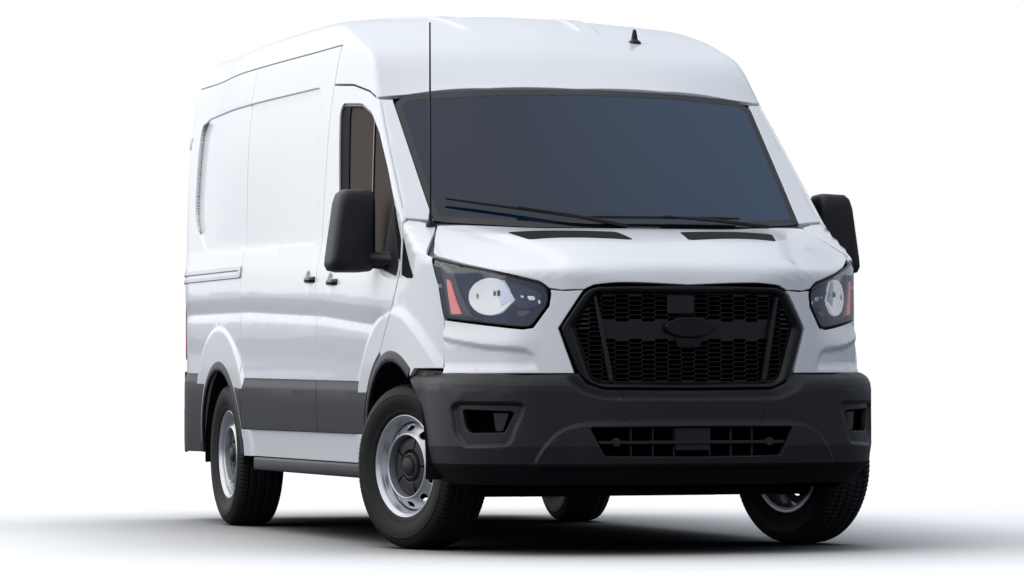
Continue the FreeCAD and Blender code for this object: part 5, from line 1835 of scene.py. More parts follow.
@dataclass
class Nose:
    """Fascia, bumper, grille and lamps."""

    form: BodyForm
    middle: tuple[float, float, float] = (0.0, -1.9, 0.8)
    lamp: Points = (
        (1.209, 1.248), (0.924, 1.192), (0.700, 1.143), (0.640, 1.129), (0.612, 1.112), (0.599, 1.076),
        (0.607, 1.031), (0.674, 0.947), (0.712, 0.942), (0.906, 0.962), (1.120, 0.984), (1.156, 1.120),
    )
    frame: Points = (
        (0.000, 1.116), (0.400, 1.109), (0.440, 1.090), (0.534, 0.938), (0.469, 0.754), (0.436, 0.714),
        (0.365, 0.688), (0.000, 0.684),
    )
    opening: Points = (
        (0.000, 1.080), (0.388, 1.077), (0.408, 1.066), (0.486, 0.942), (0.418, 0.742), (0.396, 0.722),
        (0.360, 0.716), (0.000, 0.714),
    )
    fog: Points = (
        (0.978, 0.606), (0.955, 0.621), (0.692, 0.617), (0.686, 0.602), (0.735, 0.468), (0.912, 0.461), (0.958, 0.504)
    )
    fog_inner: Points = (
        (0.942, 0.597), (0.926, 0.602), (0.716, 0.594), (0.712, 0.584), (0.748, 0.508), (0.900, 0.506), (0.926, 0.530)
    )
    intake: Points = ((0.0, 0.530), (0.426, 0.528), (0.371, 0.409), (0.0, 0.405))
    plate: Points = ((0.0, 0.677), (0.320, 0.677), (0.286, 0.540), (0.0, 0.540))
    surround: Points = ((0.0, 0.538), (0.455, 0.538), (0.530, 0.515), (0.585, 0.455), (0.640, 0.362), (0.0, 0.362))
    bumper_plan: Points = (
        (0.0, -2.822), (0.30, -2.818), (0.42, -2.797), (0.52, -2.766), (0.62, -2.737), (0.70, -2.705), (0.78, -2.655),
        (0.85, -2.590),
        (0.90, -2.520), (0.935, -2.445), (0.957, -2.370), (0.970, -2.290), (0.976, -2.210), (0.985, -2.100),
        (1.000, -1.900), (1.010, -1.700),
    )
    bumper_top: Points = ((0.0, 0.7505), (0.70, 0.7505), (0.80, 0.756), (1.12, 0.764), (1.335, 0.772), (1.60, 0.772))
    cheek: Points = (
        (0.620, 0.752), (0.638, 0.790), (0.655, 0.835), (0.692, 0.860), (0.780, 0.868), (0.877, 0.875),
        (1.048, 0.902), (1.20, 0.93), (1.25, 0.74)
    )

    def __post_init__(self) -> None:
        """Measure how far the bumper stands in front of the body."""
        along = np.arange(0.0, 1.62, 0.02)
        place = np.stack([np.interp(along, self.form.plan_along, self.form.plan_line[:, k]) for k in (0, 1)], 1)
        tangent = np.gradient(place, axis=0)
        way = np.stack([tangent[:, 1], -tangent[:, 0]], 1) / np.linalg.norm(tangent, axis=1, keepdims=True)
        line = smooth_line(self.bumper_plan, 10)
        ring = np.vstack([(line * [-1, 1])[:0:-1], line])
        steps = np.linspace(-0.03, 0.22, 126)
        self.bumper_reach = (along, np.array([self._leave(p, w, steps, ring) for p, w in zip(place, way)]))

    @staticmethod
    def _leave(place: Array, way: Array, steps: Array, ring: Array) -> float:
        """Distance from a place along a way at which it leaves a ring.

        Args:
            place: Place in the plane.
            way: Direction to look in.
            steps: Distances that are tried.
            ring: The bumper's outline from above.

        Returns:
            The distance.
        """
        depth = edge_distance(place + way * steps[:, None], ring)
        out = np.nonzero((depth[:-1] > 0) & (depth[1:] <= 0))[0]
        if not len(out):
            return 0.016
        k = int(out[-1])
        share = depth[k] / (depth[k] - depth[k + 1])
        return max(float(steps[k] + (steps[k + 1] - steps[k]) * share), 0.016)

    def along(self, x: float) -> float:
        """Distance along the plan's outline where it lies x from the middle."""
        return float(np.interp(x, self.form.plan_line[:600, 0], self.form.plan_along[:600]))

    def spread(self, points: Points) -> list[tuple[float, float]]:
        """Turn (x, z) places into (distance along the plan, z)."""
        return [(math.copysign(self.along(abs(x)), x), z) for x, z in points]

    def panel(self, name: str, outline: Points, **extra: object) -> bpy.types.Object:
        """Build a panel over the nose."""
        extra.setdefault("outward", self.middle)
        return Panel(name, outline, self.form.nose, **extra).build()

    def build(self) -> None:
        """Build the whole nose."""
        self._fascia()
        self._bumper()
        self._grille()
        for word, side in SIDES.items():
            self._lamp(word, side)
        LOG.info("nose")

    def _fascia(self) -> None:
        """Build the painted front beside the grille."""
        inner = [(self.along(x), z) for x, z in ((0.483, 0.752), (0.5435, 0.938), (0.449, 1.0945))]
        half = [
            *inner, (0.530, 1.091), (0.590, 1.096), (0.589, 1.076), (0.597, 1.028), (0.667, 0.939),
            (0.712, 0.933), (0.906, 0.953), (1.112, 0.975), (1.110, 0.88), (1.100, 0.752),
        ]
        pieces = [
            self.panel(
                "fascia", mapped_points(half, side), thickness=0.02, relief=self._fascia_relief, spacing=0.025,
                detail=0.010
            )
            for side in (RIGHT, LEFT)
        ]
        made = joined("fascia", pieces)
        PAINT.wear(made)
        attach(made, Body.VAN.value)
        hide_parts("front_fascia")

    def _fascia_relief(self, q: Array) -> Array:
        """Height of the cheeks that swell under the headlamps.

        Args:
            q: Places in the plane, one row each.

        Returns:
            One height a place.
        """
        u, z = np.abs(q[:, 0]), q[:, 1]
        inside = edge_distance(np.stack([u, z], 1), np.array(self.cheek))
        flare = 0.024 * ramp(0.965 - z, 0.0, 0.10) * ramp(u, 0.62, 0.80)
        return flare - 0.016 * ramp(inside, 0.0, 0.030) * ramp(z, 0.745, 0.80) * ramp(u, 0.60, 0.70)

    def bumper_relief(self, q: Array) -> Array:
        """Height of the bumper's skin over the body's form.

        Args:
            q: Places in the plane, one row each.

        Returns:
            One height a place.
        """
        u, z = np.abs(q[:, 0]), q[:, 1]
        full = np.interp(u, *self.bumper_reach)
        top = np.interp(u, *zip(*self.bumper_top))
        fall = np.interp(top - z, (0.0, 0.008, 0.018, 0.030, 0.050, 0.080), (0.20, 0.045, 0.028, 0.014, 0.004, 0.0))
        lift = full - np.minimum(fall, full + 0.006)
        lift = lift + np.interp(z, (0.28, 0.33, 0.375, 0.45), (-0.090, -0.048, -0.012, 0.0))
        both = np.stack([u, z], 1)
        lift = lift + 0.004 * ramp(edge_distance(both, self._ring(self.plate, 0.01)), -0.004, 0.004)
        lift = lift + 0.013 * ramp(edge_distance(both, self._ring(self.surround, 0.04)), -0.012, 0.003)
        lift = lift - 0.018 * ramp(edge_distance(both, self._ring(self._grown_fog(), 0.03)), 0.0, 0.022)
        beside = -edge_distance(both, self._ring(self.spread(self.frame), 0.02))
        return -0.004 + (lift + 0.004) * ramp(beside, 0.0, 0.050)

    @staticmethod
    def _ring(half: Points, radius: float) -> Array:
        """Close a half outline over the middle and round its corners."""
        closed = list(half) if half[0][0] > 0 else mirrored(half)
        return np.array(rounded(closed, radius, 4))

    def _grown_fog(self) -> Points:
        """Return the fog lamps' outline with its rim."""
        return (
            (1.005, 0.616), (0.968, 0.640), (0.672, 0.636), (0.662, 0.606), (0.716, 0.448), (0.922, 0.440),
            (0.982, 0.492)
        )

    def _bumper(self) -> None:
        """Build the bumper's skin and its lower lip."""
        notch = [(0.0, 0.681), (0.366, 0.685), (0.440, 0.711), (0.474, 0.7505)]
        half = self._arch_trimmed([*notch, (0.70, 0.7505), (0.80, 0.756), (1.12, 0.764), (1.335, 0.772)])
        split = 0.374
        holes = [mirrored(self.intake)] + [mapped_points(self.fog, side) for side in (RIGHT, LEFT)]
        holes = [rounded(h, 0.012, 3) for h in holes]
        upper = [p for p in half if p[1] >= split]
        made = self.panel(
            "bumper_skin", mirrored(
                [*upper, (upper[-1][0], split), (0.0, split)]
            ), relief=self.bumper_relief, holes=holes, thickness=0.02,
            roll=0.004, spacing=0.022, detail=0.006,
        )
        PLASTIC.wear(made)
        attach(made, Body.VAN.value)
        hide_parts("front_bumper")
        low = [(0.0, split - 0.001), (upper[-1][0], split - 0.001)] + [p for p in half if p[1] < split]
        made = self.panel(
            "bumper_valance", mirrored(low), relief=self.bumper_relief, thickness=0.02, roll=0.003, spacing=0.03,
            detail=0.010
        )
        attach(UNDERBODY.wear(made), Body.VAN.value)
        # Matt black undertray: painted shade under the bumper.
        tray = block("bumper_undertray", (-0.77, -2.50, 0.270), (0.77, -2.20, 0.300), 0.006)
        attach(PAINTED_SHADE_BLACK.wear(tray), Body.VAN.value)
        self._fog_pockets()
        self._intake()
        LOG.info("bumper")

    def _arch_trimmed(self, half: list[tuple[float, float]]) -> list[tuple[float, float]]:
        """Replace the bumper's rear end by the wheel arch's circle.

        Args:
            half: Half of the bumper's outline.

        Returns:
            The outline's points.
        """
        result = list(half)
        radius = 0.452
        for z in np.linspace(0.772, 0.372, 12):
            reach = math.sqrt(max(radius**2 - (z - HUB_HEIGHT) ** 2, 0.0))
            y = FRONT_AXLE - reach
            along = float(np.interp(y, self.form.plan_line[100:800, 1], self.form.plan_along[100:800]))
            result.append((along, float(z)))
        result += [(result[-1][0] - 0.03, 0.315), (1.20, 0.297), (1.0, 0.289), (0.0, 0.286)]
        return result

    def _bumper_base(self, q: Array) -> Array:
        """Height of the bumper's plain face, without pockets and plates."""
        return np.interp(np.abs(q[:, 0]), *self.bumper_reach)

    def on_bumper(self, name: str, outline: Points, **extra: object) -> bpy.types.Object:
        """Build a panel that follows the bumper's plain face."""
        return self.panel(name, outline, relief=self._bumper_base, **extra)

    def _fog_pockets(self) -> None:
        """Build the pockets of the fog lamps."""
        for word, side in SIDES.items():
            ring = mapped_points(self.fog, side)
            wall = self.on_bumper(
                f"fog_surround_{word}", rounded(grown(ring, 0.004), 0.012, 3), holes=[
                    rounded(mapped_points(self.fog_inner, side), 0.010, 3)
                ],
                lift=-0.020, thickness=0.020, roll=0.004, backed=False,
            )
            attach(PLASTIC.wear(wall), Body.VAN.value)
            # Matt black floor of the pocket: painted shade.
            floor = self.on_bumper(
                f"fog_floor_{word}", rounded(grown(mapped_points(self.fog_inner, side), 0.006), 0.01, 3), lift=-0.050,
                thickness=0.004
            )
            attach(PAINTED_SHADE_BLACK.wear(floor), Body.VAN.value)
            cover = [(side * u, z) for u, z in ((0.735, 0.588), (0.800, 0.590), (0.790, 0.512), (0.760, 0.512))]
            made = self.on_bumper(
                f"fog_cover_{word}", rounded(cover, 0.008, 4), lift=-0.034, thickness=0.008, roll=0.003
            )
            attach(PLASTIC.wear(made), Body.VAN.value)

    def _intake(self) -> None:
        """Build the lower intake with its fins."""
        # Matt black floor behind the fins: painted shade in the intake.
        floor = self.on_bumper("intake_floor", grown(mirrored(self.intake), 0.055), lift=-0.060, thickness=0.004)
        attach(PAINTED_SHADE_BLACK.wear(floor), Body.VAN.value)
        bar = self.on_bumper(
            "intake_bar", rounded(((-0.398, 0.473), (0.398, 0.473), (0.392, 0.459), (-0.392, 0.459)), 0.005, 3),
            lift=0.002, thickness=0.03
        )
        pieces = [bar]
        for x in (0.078, 0.170, 0.262):
            for side in (RIGHT, LEFT):
                fin = [
                    (side * x - 0.004, 0.528), (side * x + 0.004, 0.528), (side * x + 0.004, 0.408),
                    (side * x - 0.004, 0.408)
                ]
                pieces.append(self.on_bumper("intake_fin", fin, lift=-0.024, thickness=0.03, roll=0.002))
        block_outline = ((-0.078, 0.527), (0.078, 0.527), (0.074, 0.432), (-0.074, 0.432))
        pieces.append(self.on_bumper("intake_block", rounded(block_outline, 0.006, 3), lift=-0.012, thickness=0.03))
        for side in (RIGHT, LEFT):
            turns = np.linspace(0, 2 * math.pi, 24, endpoint=False)
            disc = [(side * 0.326 + 0.018 * math.cos(a), 0.467 + 0.018 * math.sin(a)) for a in turns]
            pieces.append(self.on_bumper("intake_sensor", disc, lift=0.006, thickness=0.03, roll=0.003))
        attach(PLASTIC.wear(joined("intake_fins", pieces)), Body.VAN.value)

    def _grille(self) -> None:
        """Build the grille's frame, mesh and back."""
        outer = mirrored(self.spread(self.frame))
        inner = mirrored(self.spread(self.opening))
        made = self.panel(
            "grille_frame", rounded(outer, 0.02, 4), holes=[rounded(inner, 0.012, 4)], lift=0.004, thickness=0.04,
            roll=0.009, relief=self._frame_relief,
            detail=0.005,
        )
        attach(BLACK.wear(made), Body.VAN.value)
        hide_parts("grille")
        holes = self._mesh_holes(np.array(inner))
        mesh = self.panel(
            "grille_mesh", grown(inner, 0.008), holes=holes, lift=-0.026, thickness=0.008, roll=0.0008, spacing=0.08
        )
        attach(MESH.wear(mesh), Body.VAN.value)
        # Matt black back behind the mesh: painted shade in the grille.
        back = self.panel("grille_back", grown(inner, 0.008), lift=-0.070, thickness=0.003, spacing=0.06)
        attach(PAINTED_SHADE_BLACK.wear(back), Body.VAN.value)
        self._grille_bars()
        LOG.info("grille")

    def _frame_relief(self, q: Array) -> Array:
        """Slope of the grille frame's face, down towards the opening."""
        inner = -edge_distance(np.stack([np.abs(q[:, 0]), q[:, 1]], 1), self._ring(self.spread(self.opening), 0.012))
        return -0.016 * (1 - ramp(inner, 0.0, 0.020))

    def _mesh_holes(self, inner: Array) -> list[list[tuple[float, float]]]:
        """Cells of the mesh, cut off along the opening.

        Args:
            inner: Outline of the opening.

        Returns:
            One outline a hole.
        """
        pitch, rise, slope, wall = 0.0578, 0.0195, 0.010, 0.0015
        flat_end, tip, half = (pitch - slope) / 2 - wall * 0.5, (pitch + slope) / 2 - wall * 1.1, rise / 2 - wall
        border = shrunk(np.array(inner), 0.002)
        holes = []
        for column in range(-9, 10):
            for row in range(-11, 11):
                u, z = column * pitch, 0.905 + (row + 0.5 * (column % 2)) * rise
                cell = [
                    (u + flat_end, z + half), (u - flat_end, z + half), (u - tip, z), (u - flat_end, z - half),
                    (u + flat_end, z - half), (u + tip, z)
                ]
                closed = abs(u) < 0.36 and 0.893 < z < 0.972
                cut = [] if closed else self._clipped(cell, border)
                if len(cut) > 2 and np.ptp(np.array(cut), axis=0).min() > 0.005:
                    holes.append(cut)
        return holes

    @staticmethod
    def _clipped(cell: list[tuple[float, float]], border: Array) -> list[tuple[float, float]]:
        """Cut a cell off along a border that bulges outwards everywhere.

        Args:
            cell: One cell's corners.
            border: Outline that cuts the cell.

        Returns:
            The cell's corners, or none.
        """
        middle = border.mean(0)
        for a, b in zip(border, np.roll(border, -1, axis=0)):
            normal = np.array([b[1] - a[1], a[0] - b[0]])
            normal = normal * np.sign((middle - a) @ normal)
            kept = []
            for p, q in zip(cell, cell[1:] + cell[:1]):
                dp, dq = (np.array(p) - a) @ normal, (np.array(q) - a) @ normal
                if dp >= 0:
                    kept.append(p)
                if (dp > 0) != (dq > 0) and dp != dq:
                    share = dp / (dp - dq)
                    kept.append((p[0] + (q[0] - p[0]) * share, p[1] + (q[1] - p[1]) * share))
            cell = [p for k, p in enumerate(kept) if math.dist(p, kept[k - 1]) > 1e-4]
            if len(cell) < 3:
                return []
        return cell

    def _grille_bars(self) -> None:
        """Build the bars and the blank badge place."""
        bar = ((0.400, 1.072), (0.411, 1.068), (0.390, 0.944), (0.348, 0.722), (0.328, 0.722), (0.370, 0.944))
        shapes = {
            "grille_bar_right": ([(-u, z) for u, z in bar], -0.004, PLASTIC),
            "grille_bar_left": (bar, -0.004, PLASTIC),
            "grille_sensor": (((-0.092, 1.076), (-0.092, 0.998), (0.026, 0.998), (0.026, 1.076)), -0.020, PLASTIC),
            "grille_tab": (((-0.062, 0.900), (0.062, 0.900), (0.050, 0.858), (-0.050, 0.858)), -0.016, BLACK),
        }
        for name, (outline, lift, finish) in shapes.items():
            made = self.panel(name, rounded(outline, 0.005, 3), lift=lift, thickness=0.018, roll=0.003)
            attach(finish.wear(made), Body.VAN.value)
        slats = []
        for side in (RIGHT, LEFT):
            for k, z in enumerate((1.016, 0.996, 0.977, 0.957, 0.938)):
                ends = (0.428, 0.448 + 0.007 * k)
                slat = [
                    (side * ends[0], z + 0.003), (side * ends[1], z + 0.003), (side * ends[1], z - 0.004),
                    (side * ends[0], z - 0.004)
                ]
                slats.append(self.panel("grille_slat", slat, lift=-0.014, thickness=0.010, roll=0.002))
        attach(LIGHT_PLASTIC.wear(joined("grille_slats", slats)), Body.VAN.value)
        turns = np.linspace(0, 2 * math.pi, 48, endpoint=False)
        oval = [(0.110 * math.cos(a), 0.942 + 0.0425 * math.sin(a)) for a in turns]
        made = self.panel("badge_place", oval, lift=0.006, thickness=0.03, roll=0.005)
        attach(BLACK.wear(made), Body.VAN.value)

    def _lamp(self, word: str, side: int) -> None:
        """Build one headlamp.

        Args:
            word: Side in the names of the pieces.
            side: RIGHT or LEFT.
        """
        outline = mapped_points(self.lamp, side)
        edge = rounded(outline, 0.022, 5)
        lens = self.panel(f"lamp_lens_{word}", edge, lift=-0.001, thickness=0.003, roll=0.002, spacing=0.03)
        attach(CLEAR_LENS.wear(lens), Body.VAN.value)
        housing = self.panel(f"lamp_housing_{word}", edge, lift=-0.034, thickness=0.003, relief=flat, spacing=0.03)
        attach(LAMP_BLACK.wear(housing), Body.VAN.value)
        if side == RIGHT:
            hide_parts("headlamps")
        rim = self.panel(
            f"lamp_rim_{word}", edge, holes=[shrunk_points(edge, 0.007, 0.02)], lift=0.0, thickness=0.040, roll=0.002
        )
        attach(BLACK.wear(rim), Body.VAN.value)
        shapes = (
            (
                "cheek", SMOKED, -0.024,
                ((1.178, 1.230), (1.085, 1.185), (1.040, 1.080), (0.975, 0.988), (1.110, 0.994), (1.142, 1.120))
            ),
            (
                "marker", AMBER, -0.012,
                ((1.113, 1.149), (1.092, 1.140), (1.059, 1.061), (1.028, 1.001), (1.083, 1.001), (1.100, 1.075))
            ),
            (
                "inner_cup", CUP, -0.026,
                (
                    (0.780, 1.128), (0.700, 1.112), (0.640, 1.085), (0.632, 1.050), (0.660, 1.025), (0.740, 1.020),
                    (0.790, 1.060)
                )
            ),
            (
                "inner_lamp", CHROME, -0.022,
                ((0.702, 1.074), (0.668, 1.071), (0.664, 1.054), (0.690, 1.053), (0.700, 1.060))
            ),
            ("inner_glint", CHROME, -0.022, ((0.736, 1.076), (0.718, 1.074), (0.718, 1.064), (0.728, 1.063))),
            ("inner_stripe", CHROME, -0.022, ((0.655, 1.055), (0.643, 1.056), (0.640, 1.038), (0.650, 1.036))),
            (
                "turn_lamp", TURN_LENS, -0.022,
                ((0.752, 1.010), (0.700, 1.014), (0.688, 1.004), (0.720, 0.986), (0.745, 0.988))
            ),
        )
        for part, finish, lift, points in shapes:
            made = self.panel(
                f"lamp_{part}_{word}", rounded(mapped_points(points, side), 0.006, 3), lift=lift, thickness=0.008,
                roll=0.002
            )
            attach(finish.wear(made), Body.VAN.value)
        self._reflector(word, side)

    def _reflector(self, word: str, side: int) -> None:
        """Build the main lamp: a faceted bowl made bright by a painted reflection, its finish's glow, cut off at its
        inner side by a slanted face.

        Args:
            word: Side in the names of the pieces.
            side: RIGHT or LEFT.
        """
        centre, wide, high = (0.884, 1.072), 0.108, 0.077

        def spot(a: float, b: float) -> tuple[float, float]:
            """Turn a place in the bowl into the lamp's plane."""
            return (centre[0] + wide * a, centre[1] + high * b)

        turns = np.radians(np.linspace(-35, 218, 52))
        bowl = [spot(math.sin(a), math.cos(a)) for a in turns]
        bowl += [spot(-1.14, -0.20), spot(-0.64, 0.88)]
        # The bowl's finish glows: painted reflection.
        made = self.panel(
            f"lamp_reflector_{word}", mapped_points(bowl, side), lift=-0.020, thickness=0.012, roll=0.003,
            spacing=0.012, detail=0.004,
            relief=lambda q: self._facets((np.abs(q) - centre) / (wide, high)),
        )
        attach(REFLECTOR_PAINTED_GLOW.wear(made), Body.VAN.value)
        pieces = (
            (
                "cut", CHROME, -0.0160,
                (spot(-0.46, 0.90), spot(-0.64, 0.86), spot(-1.10, -0.18), spot(-0.56, -0.50), spot(-0.40, 0.10))
            ),
            ("edge", SMOKED, -0.0150, (spot(-0.38, 0.34), spot(-0.52, 0.34), spot(-0.52, 0.02), spot(-0.38, 0.02))),
            ("bulb", SMOKED, -0.0150, (spot(-0.20, 0.30), spot(-0.30, 0.30), spot(-0.30, 0.04), spot(-0.20, 0.04))),
            (
                "glint", SMOKED, -0.0150,
                (spot(0.52, 0.16), spot(0.60, 0.20), spot(0.57, 0.02), spot(0.60, -0.10), spot(0.52, -0.06))
            ),
        )
        for word_of_piece, finish, lift, outline in pieces:
            made = self.panel(
                f"lamp_{word_of_piece}_{word}", rounded(mapped_points(outline, side), 0.003, 3), lift=lift,
                thickness=0.004, roll=0.001
            )
            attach(finish.wear(made), Body.VAN.value)

    @staticmethod
    def _facets(q: Array) -> Array:
        """Height of the reflector's upright facets over its hollow.

        Args:
            q: Places in the plane, one row each.

        Returns:
            One height a place.
        """
        a, b = q[:, 0], q[:, 1]
        stripes = 0.0012 * np.abs(np.sin(a * 7.0 + 0.6 * np.cos(b * 2.0)))
        bands = 0.0008 * np.abs(np.sin(b * 4.0)) * (np.abs(a) > 0.3)
        return stripes + bands - 0.007 * (1 - np.clip(np.hypot(a, b), 0, 1) ** 2)


def shrunk_points(outline: Points, depth: float, spacing: float = 0.03) -> list[tuple[float, float]]:
    """Move a closed outline inwards and return it as plain pairs."""
    return [tuple(p) for p in shrunk(densified(outline, spacing), depth)]


def grown(outline: Points, reach: float) -> list[tuple[float, float]]:
    """Move a closed outline outwards and return it as plain pairs."""
    return shrunk_points(outline, -reach)


# ---------------------------------------------------------------- wheels


@dataclass
class Wheel:
    """A steel wheel with its cap and treaded tyre, modelled about the X axis, outer face at +X."""

    radius: float = 0.356
    slots: int = 10
    ribs: int = 100
    slot_centre: float = 0.1645
    slot_half: tuple[float, float] = (0.0125, 0.0215)
    rim_profile: Points = (
        (-0.092, 0.196), (-0.094, 0.219), (-0.083, 0.220), (-0.080, 0.205), (-0.030, 0.190), (0.030, 0.190),
        (0.078, 0.204),
        (0.083, 0.2185), (0.0865, 0.2215), (0.0925, 0.2215), (0.0945, 0.2180), (0.0925, 0.2145), (0.0890, 0.2110),
        (0.0840, 0.2050), (0.0780, 0.2010), (0.0560, 0.1985), (0.0400, 0.1955), (0.0300, 0.1900),
    )
    disc_profile: Points = (
        (0.0300, 0.1930), (0.0390, 0.1890), (0.0470, 0.1820), (0.0530, 0.1745), (0.0590, 0.1665), (0.0660, 0.1585),
        (0.0735, 0.1510), (0.0800, 0.1455), (0.0850, 0.1410), (0.0870, 0.1375), (0.0860, 0.1345), (0.0820, 0.1325),
        (0.0700, 0.1310), (0.0560, 0.1295), (0.0480, 0.1270), (0.0440, 0.1200), (0.0440, 0.0600),
    )
    wall_profile: Points = (
        (0.0800, 0.2120), (0.0880, 0.2160), (0.0950, 0.2230), (0.0985, 0.2300), (0.1002, 0.2340), (0.1018, 0.2352),
        (0.1016, 0.2372), (0.1060, 0.2480), (0.1125, 0.2640), (0.1165, 0.2800), (0.1175, 0.2930), (0.1168, 0.3050),
        (0.1181, 0.3064), (0.1179, 0.3084), (0.1157, 0.3100), (0.1130, 0.3220), (0.1085, 0.3320), (0.1055, 0.3365),
        (0.1025, 0.3405), (0.0985, 0.3440), (0.0940, 0.3470),
    )
    crown_profile: Points = (
        (0.0940, 0.3470), (0.0860, 0.3503), (0.0700, 0.3535), (0.0480, 0.3552), (0.0240, 0.3558), (0.0, 0.3560)
    )

    def dress(self, end: str, word: str, side: int) -> None:
        """Build one wheel over its CAD nodes.

        Args:
            end: Which axle, front or rear.
            word: Side in the names of the pieces.
            side: RIGHT or LEFT.
        """
        body = f"wheel_{end}_{word}"
        tyre_node, rim_node = f"tyre_{end}_{word}", f"rim_{end}_{word}"
        low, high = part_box(tyre_node)
        centre = (Vector(low) + Vector(high)) / 2
        turn = Matrix.Rotation(0.0 if side > 0 else math.pi, 4, "Z")
        if end == "front":
            turn = Matrix.Rotation(math.radians(19.6), 4, "Z") @ turn
        place = Matrix.Translation(centre) @ turn
        tyre = self._tyre(f"tread_{end}_{word}")
        TYRE.wear(tyre)
        pieces = [(tyre, tyre_node)]
        rim = self._rim(f"steel_rim_{end}_{word}")
        STEEL_PAINT.wear(rim)
        pieces.append((rim, rim_node))
        for made, finish in self._cap(f"{end}_{word}"):
            finish.wear(made)
            pieces.append((made, None))
        for made, node in pieces:
            made.matrix_world = place
            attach(made, body)
            if node:
                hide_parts(node)

    def _tyre(self, name: str) -> bpy.types.Object:
        """Turn the tyre's profile and cut its tread.

        Args:
            name: Name of the piece.

        Returns:
            The new object.
        """
        turns = np.linspace(0, 2 * math.pi, self.ribs * 4, endpoint=False)
        crown = smooth_line(self.crown_profile, 4)
        outer = np.vstack([self.wall_profile[:-1], crown])
        line = np.vstack([outer[:-1], outer[::-1] * [-1, 1]])
        a, t = np.meshgrid(line[:, 0], turns, indexing="ij")
        r = np.repeat(line[:, 1][:, None], len(turns), 1)
        phase = (t * self.ribs / (2 * math.pi)) % 1.0
        side_rib = np.where(phase < 0.24, 1.0, 0.0) * ramp(r, 0.318, 0.330)
        shift = -np.sign(a) * 0.0026 * side_rib * (np.abs(a) > 0.085)
        r = r - self._grooves(a, r, phase)
        verts = np.stack([a + shift, r * np.cos(t), r * np.sin(t)], -1).reshape(-1, 3)
        n, m = a.shape
        index = np.arange(n * m).reshape(n, m)
        one, two = index[:-1], index[1:]
        quads = np.stack([one, np.roll(one, -1, 1), np.roll(two, -1, 1), two], -1).reshape(-1, 4)
        return tidy(new_mesh(name, verts, quads), 40.0)

    @staticmethod
    def _grooves(a: Array, r: Array, phase: Array) -> Array:
        """Return the tread's depth at places.

        Args:
            a: Places across the tread.
            r: Distances from the wheel's axis.
            phase: Place in the tread's pattern, from 0 to 1.

        Returns:
            One depth a place.
        """
        depth = np.zeros_like(r)
        for place in (-0.062, -0.022, 0.022, 0.062):
            depth = np.maximum(depth, 0.007 * (1 - ramp(np.abs(a - place), 0.0025, 0.0050)))
        across = (phase < 0.24) * (np.abs(a) > 0.030)
        sipe = (np.abs(phase - 0.5) < 0.13) * (np.abs(a) <= 0.018)
        return np.maximum(depth, np.maximum(0.0050 * across * ramp(r, 0.336, 0.346), 0.0025 * sipe))

    def _rim(self, name: str) -> bpy.types.Object:
        """Turn the rim's profile.

        Args:
            name: Name of the piece.

        Returns:
            The new object.
        """
        barrel = lathe(name + "_barrel", smooth_line(self.rim_profile, 3), 144)
        disc = self._disc(name + "_disc")
        return joined(name, [barrel, disc])

    def _disc(self, name: str) -> bpy.types.Object:
        """Build the wheel disc with its slots.

        Args:
            name: Name of the piece.

        Returns:
            The new object.
        """
        line = smooth_line(self.disc_profile, 2)
        count = self.slots * 20
        turns = np.linspace(0, 2 * math.pi, count, endpoint=False)
        verts, faces = [], []
        centre, (half_r, half_t) = self.slot_centre, self.slot_half
        for along, radius in line:
            for k, t in enumerate(turns):
                verts.append((along, radius * math.cos(t), radius * math.sin(t)))
        n = len(line)

        def cut(i: int, k: int) -> bool:
            """Tell whether a slot takes out a face.

            Args:
                i: Ring of the disc.
                k: Step round the disc.

            Returns:
                Whether the face goes.
            """
            radius = (line[i, 1] + line[(i + 1) % n, 1]) / 2
            t = (turns[k] + math.pi / count) % (2 * math.pi / self.slots) - math.pi / self.slots
            return ((radius - centre) / half_r) ** 4 + (t * radius / half_t) ** 2 < 1

        for i in range(n - 1):
            for k in range(count):
                if not cut(i, k):
                    m = (k + 1) % count
                    faces.append((i * count + k, i * count + m, (i + 1) * count + m, (i + 1) * count + k))
        obj = tidy(new_mesh(name, np.array(verts), faces))
        self._smooth_slots(obj, centre, half_r, half_t)
        thick = obj.modifiers.new("thickness", "SOLIDIFY")
        thick.thickness = 0.005
        thick.offset = -1.0
        apply_modifiers(obj)
        return obj

    def _smooth_slots(self, obj: bpy.types.Object, centre: float, half_r: float, half_t: float) -> None:
        """Round the slots' outlines.

        Args:
            obj: The disc.
            centre: Radius of the slots' middle.
            half_r: Half of a slot's height.
            half_t: Half of a slot's width.
        """
        work = bmesh.new()
        work.from_mesh(obj.data)
        for vert in work.verts:
            if not vert.is_boundary:
                continue
            radius = math.hypot(vert.co.y, vert.co.z)
            if abs(radius - centre) > half_r * 1.6:
                continue
            t = math.atan2(vert.co.z, vert.co.y)
            step = 2 * math.pi / self.slots
            middle = (math.floor(t / step) + 0.5) * step
            dr, dt = radius - centre, (t - middle) * radius
            size = (abs(dr / half_r) ** 2.6 + abs(dt / half_t) ** 2.6) ** (1 / 2.6)
            if size < 1e-6:
                continue
            new_r = centre + dr / size
            new_t = middle + dt / size / new_r
            slope = np.interp(-new_r, [-p[1] for p in self.disc_profile], [p[0] for p in self.disc_profile])
            vert.co = Vector((float(slope), new_r * math.cos(new_t), new_r * math.sin(new_t)))
        work.to_mesh(obj.data)
        work.free()

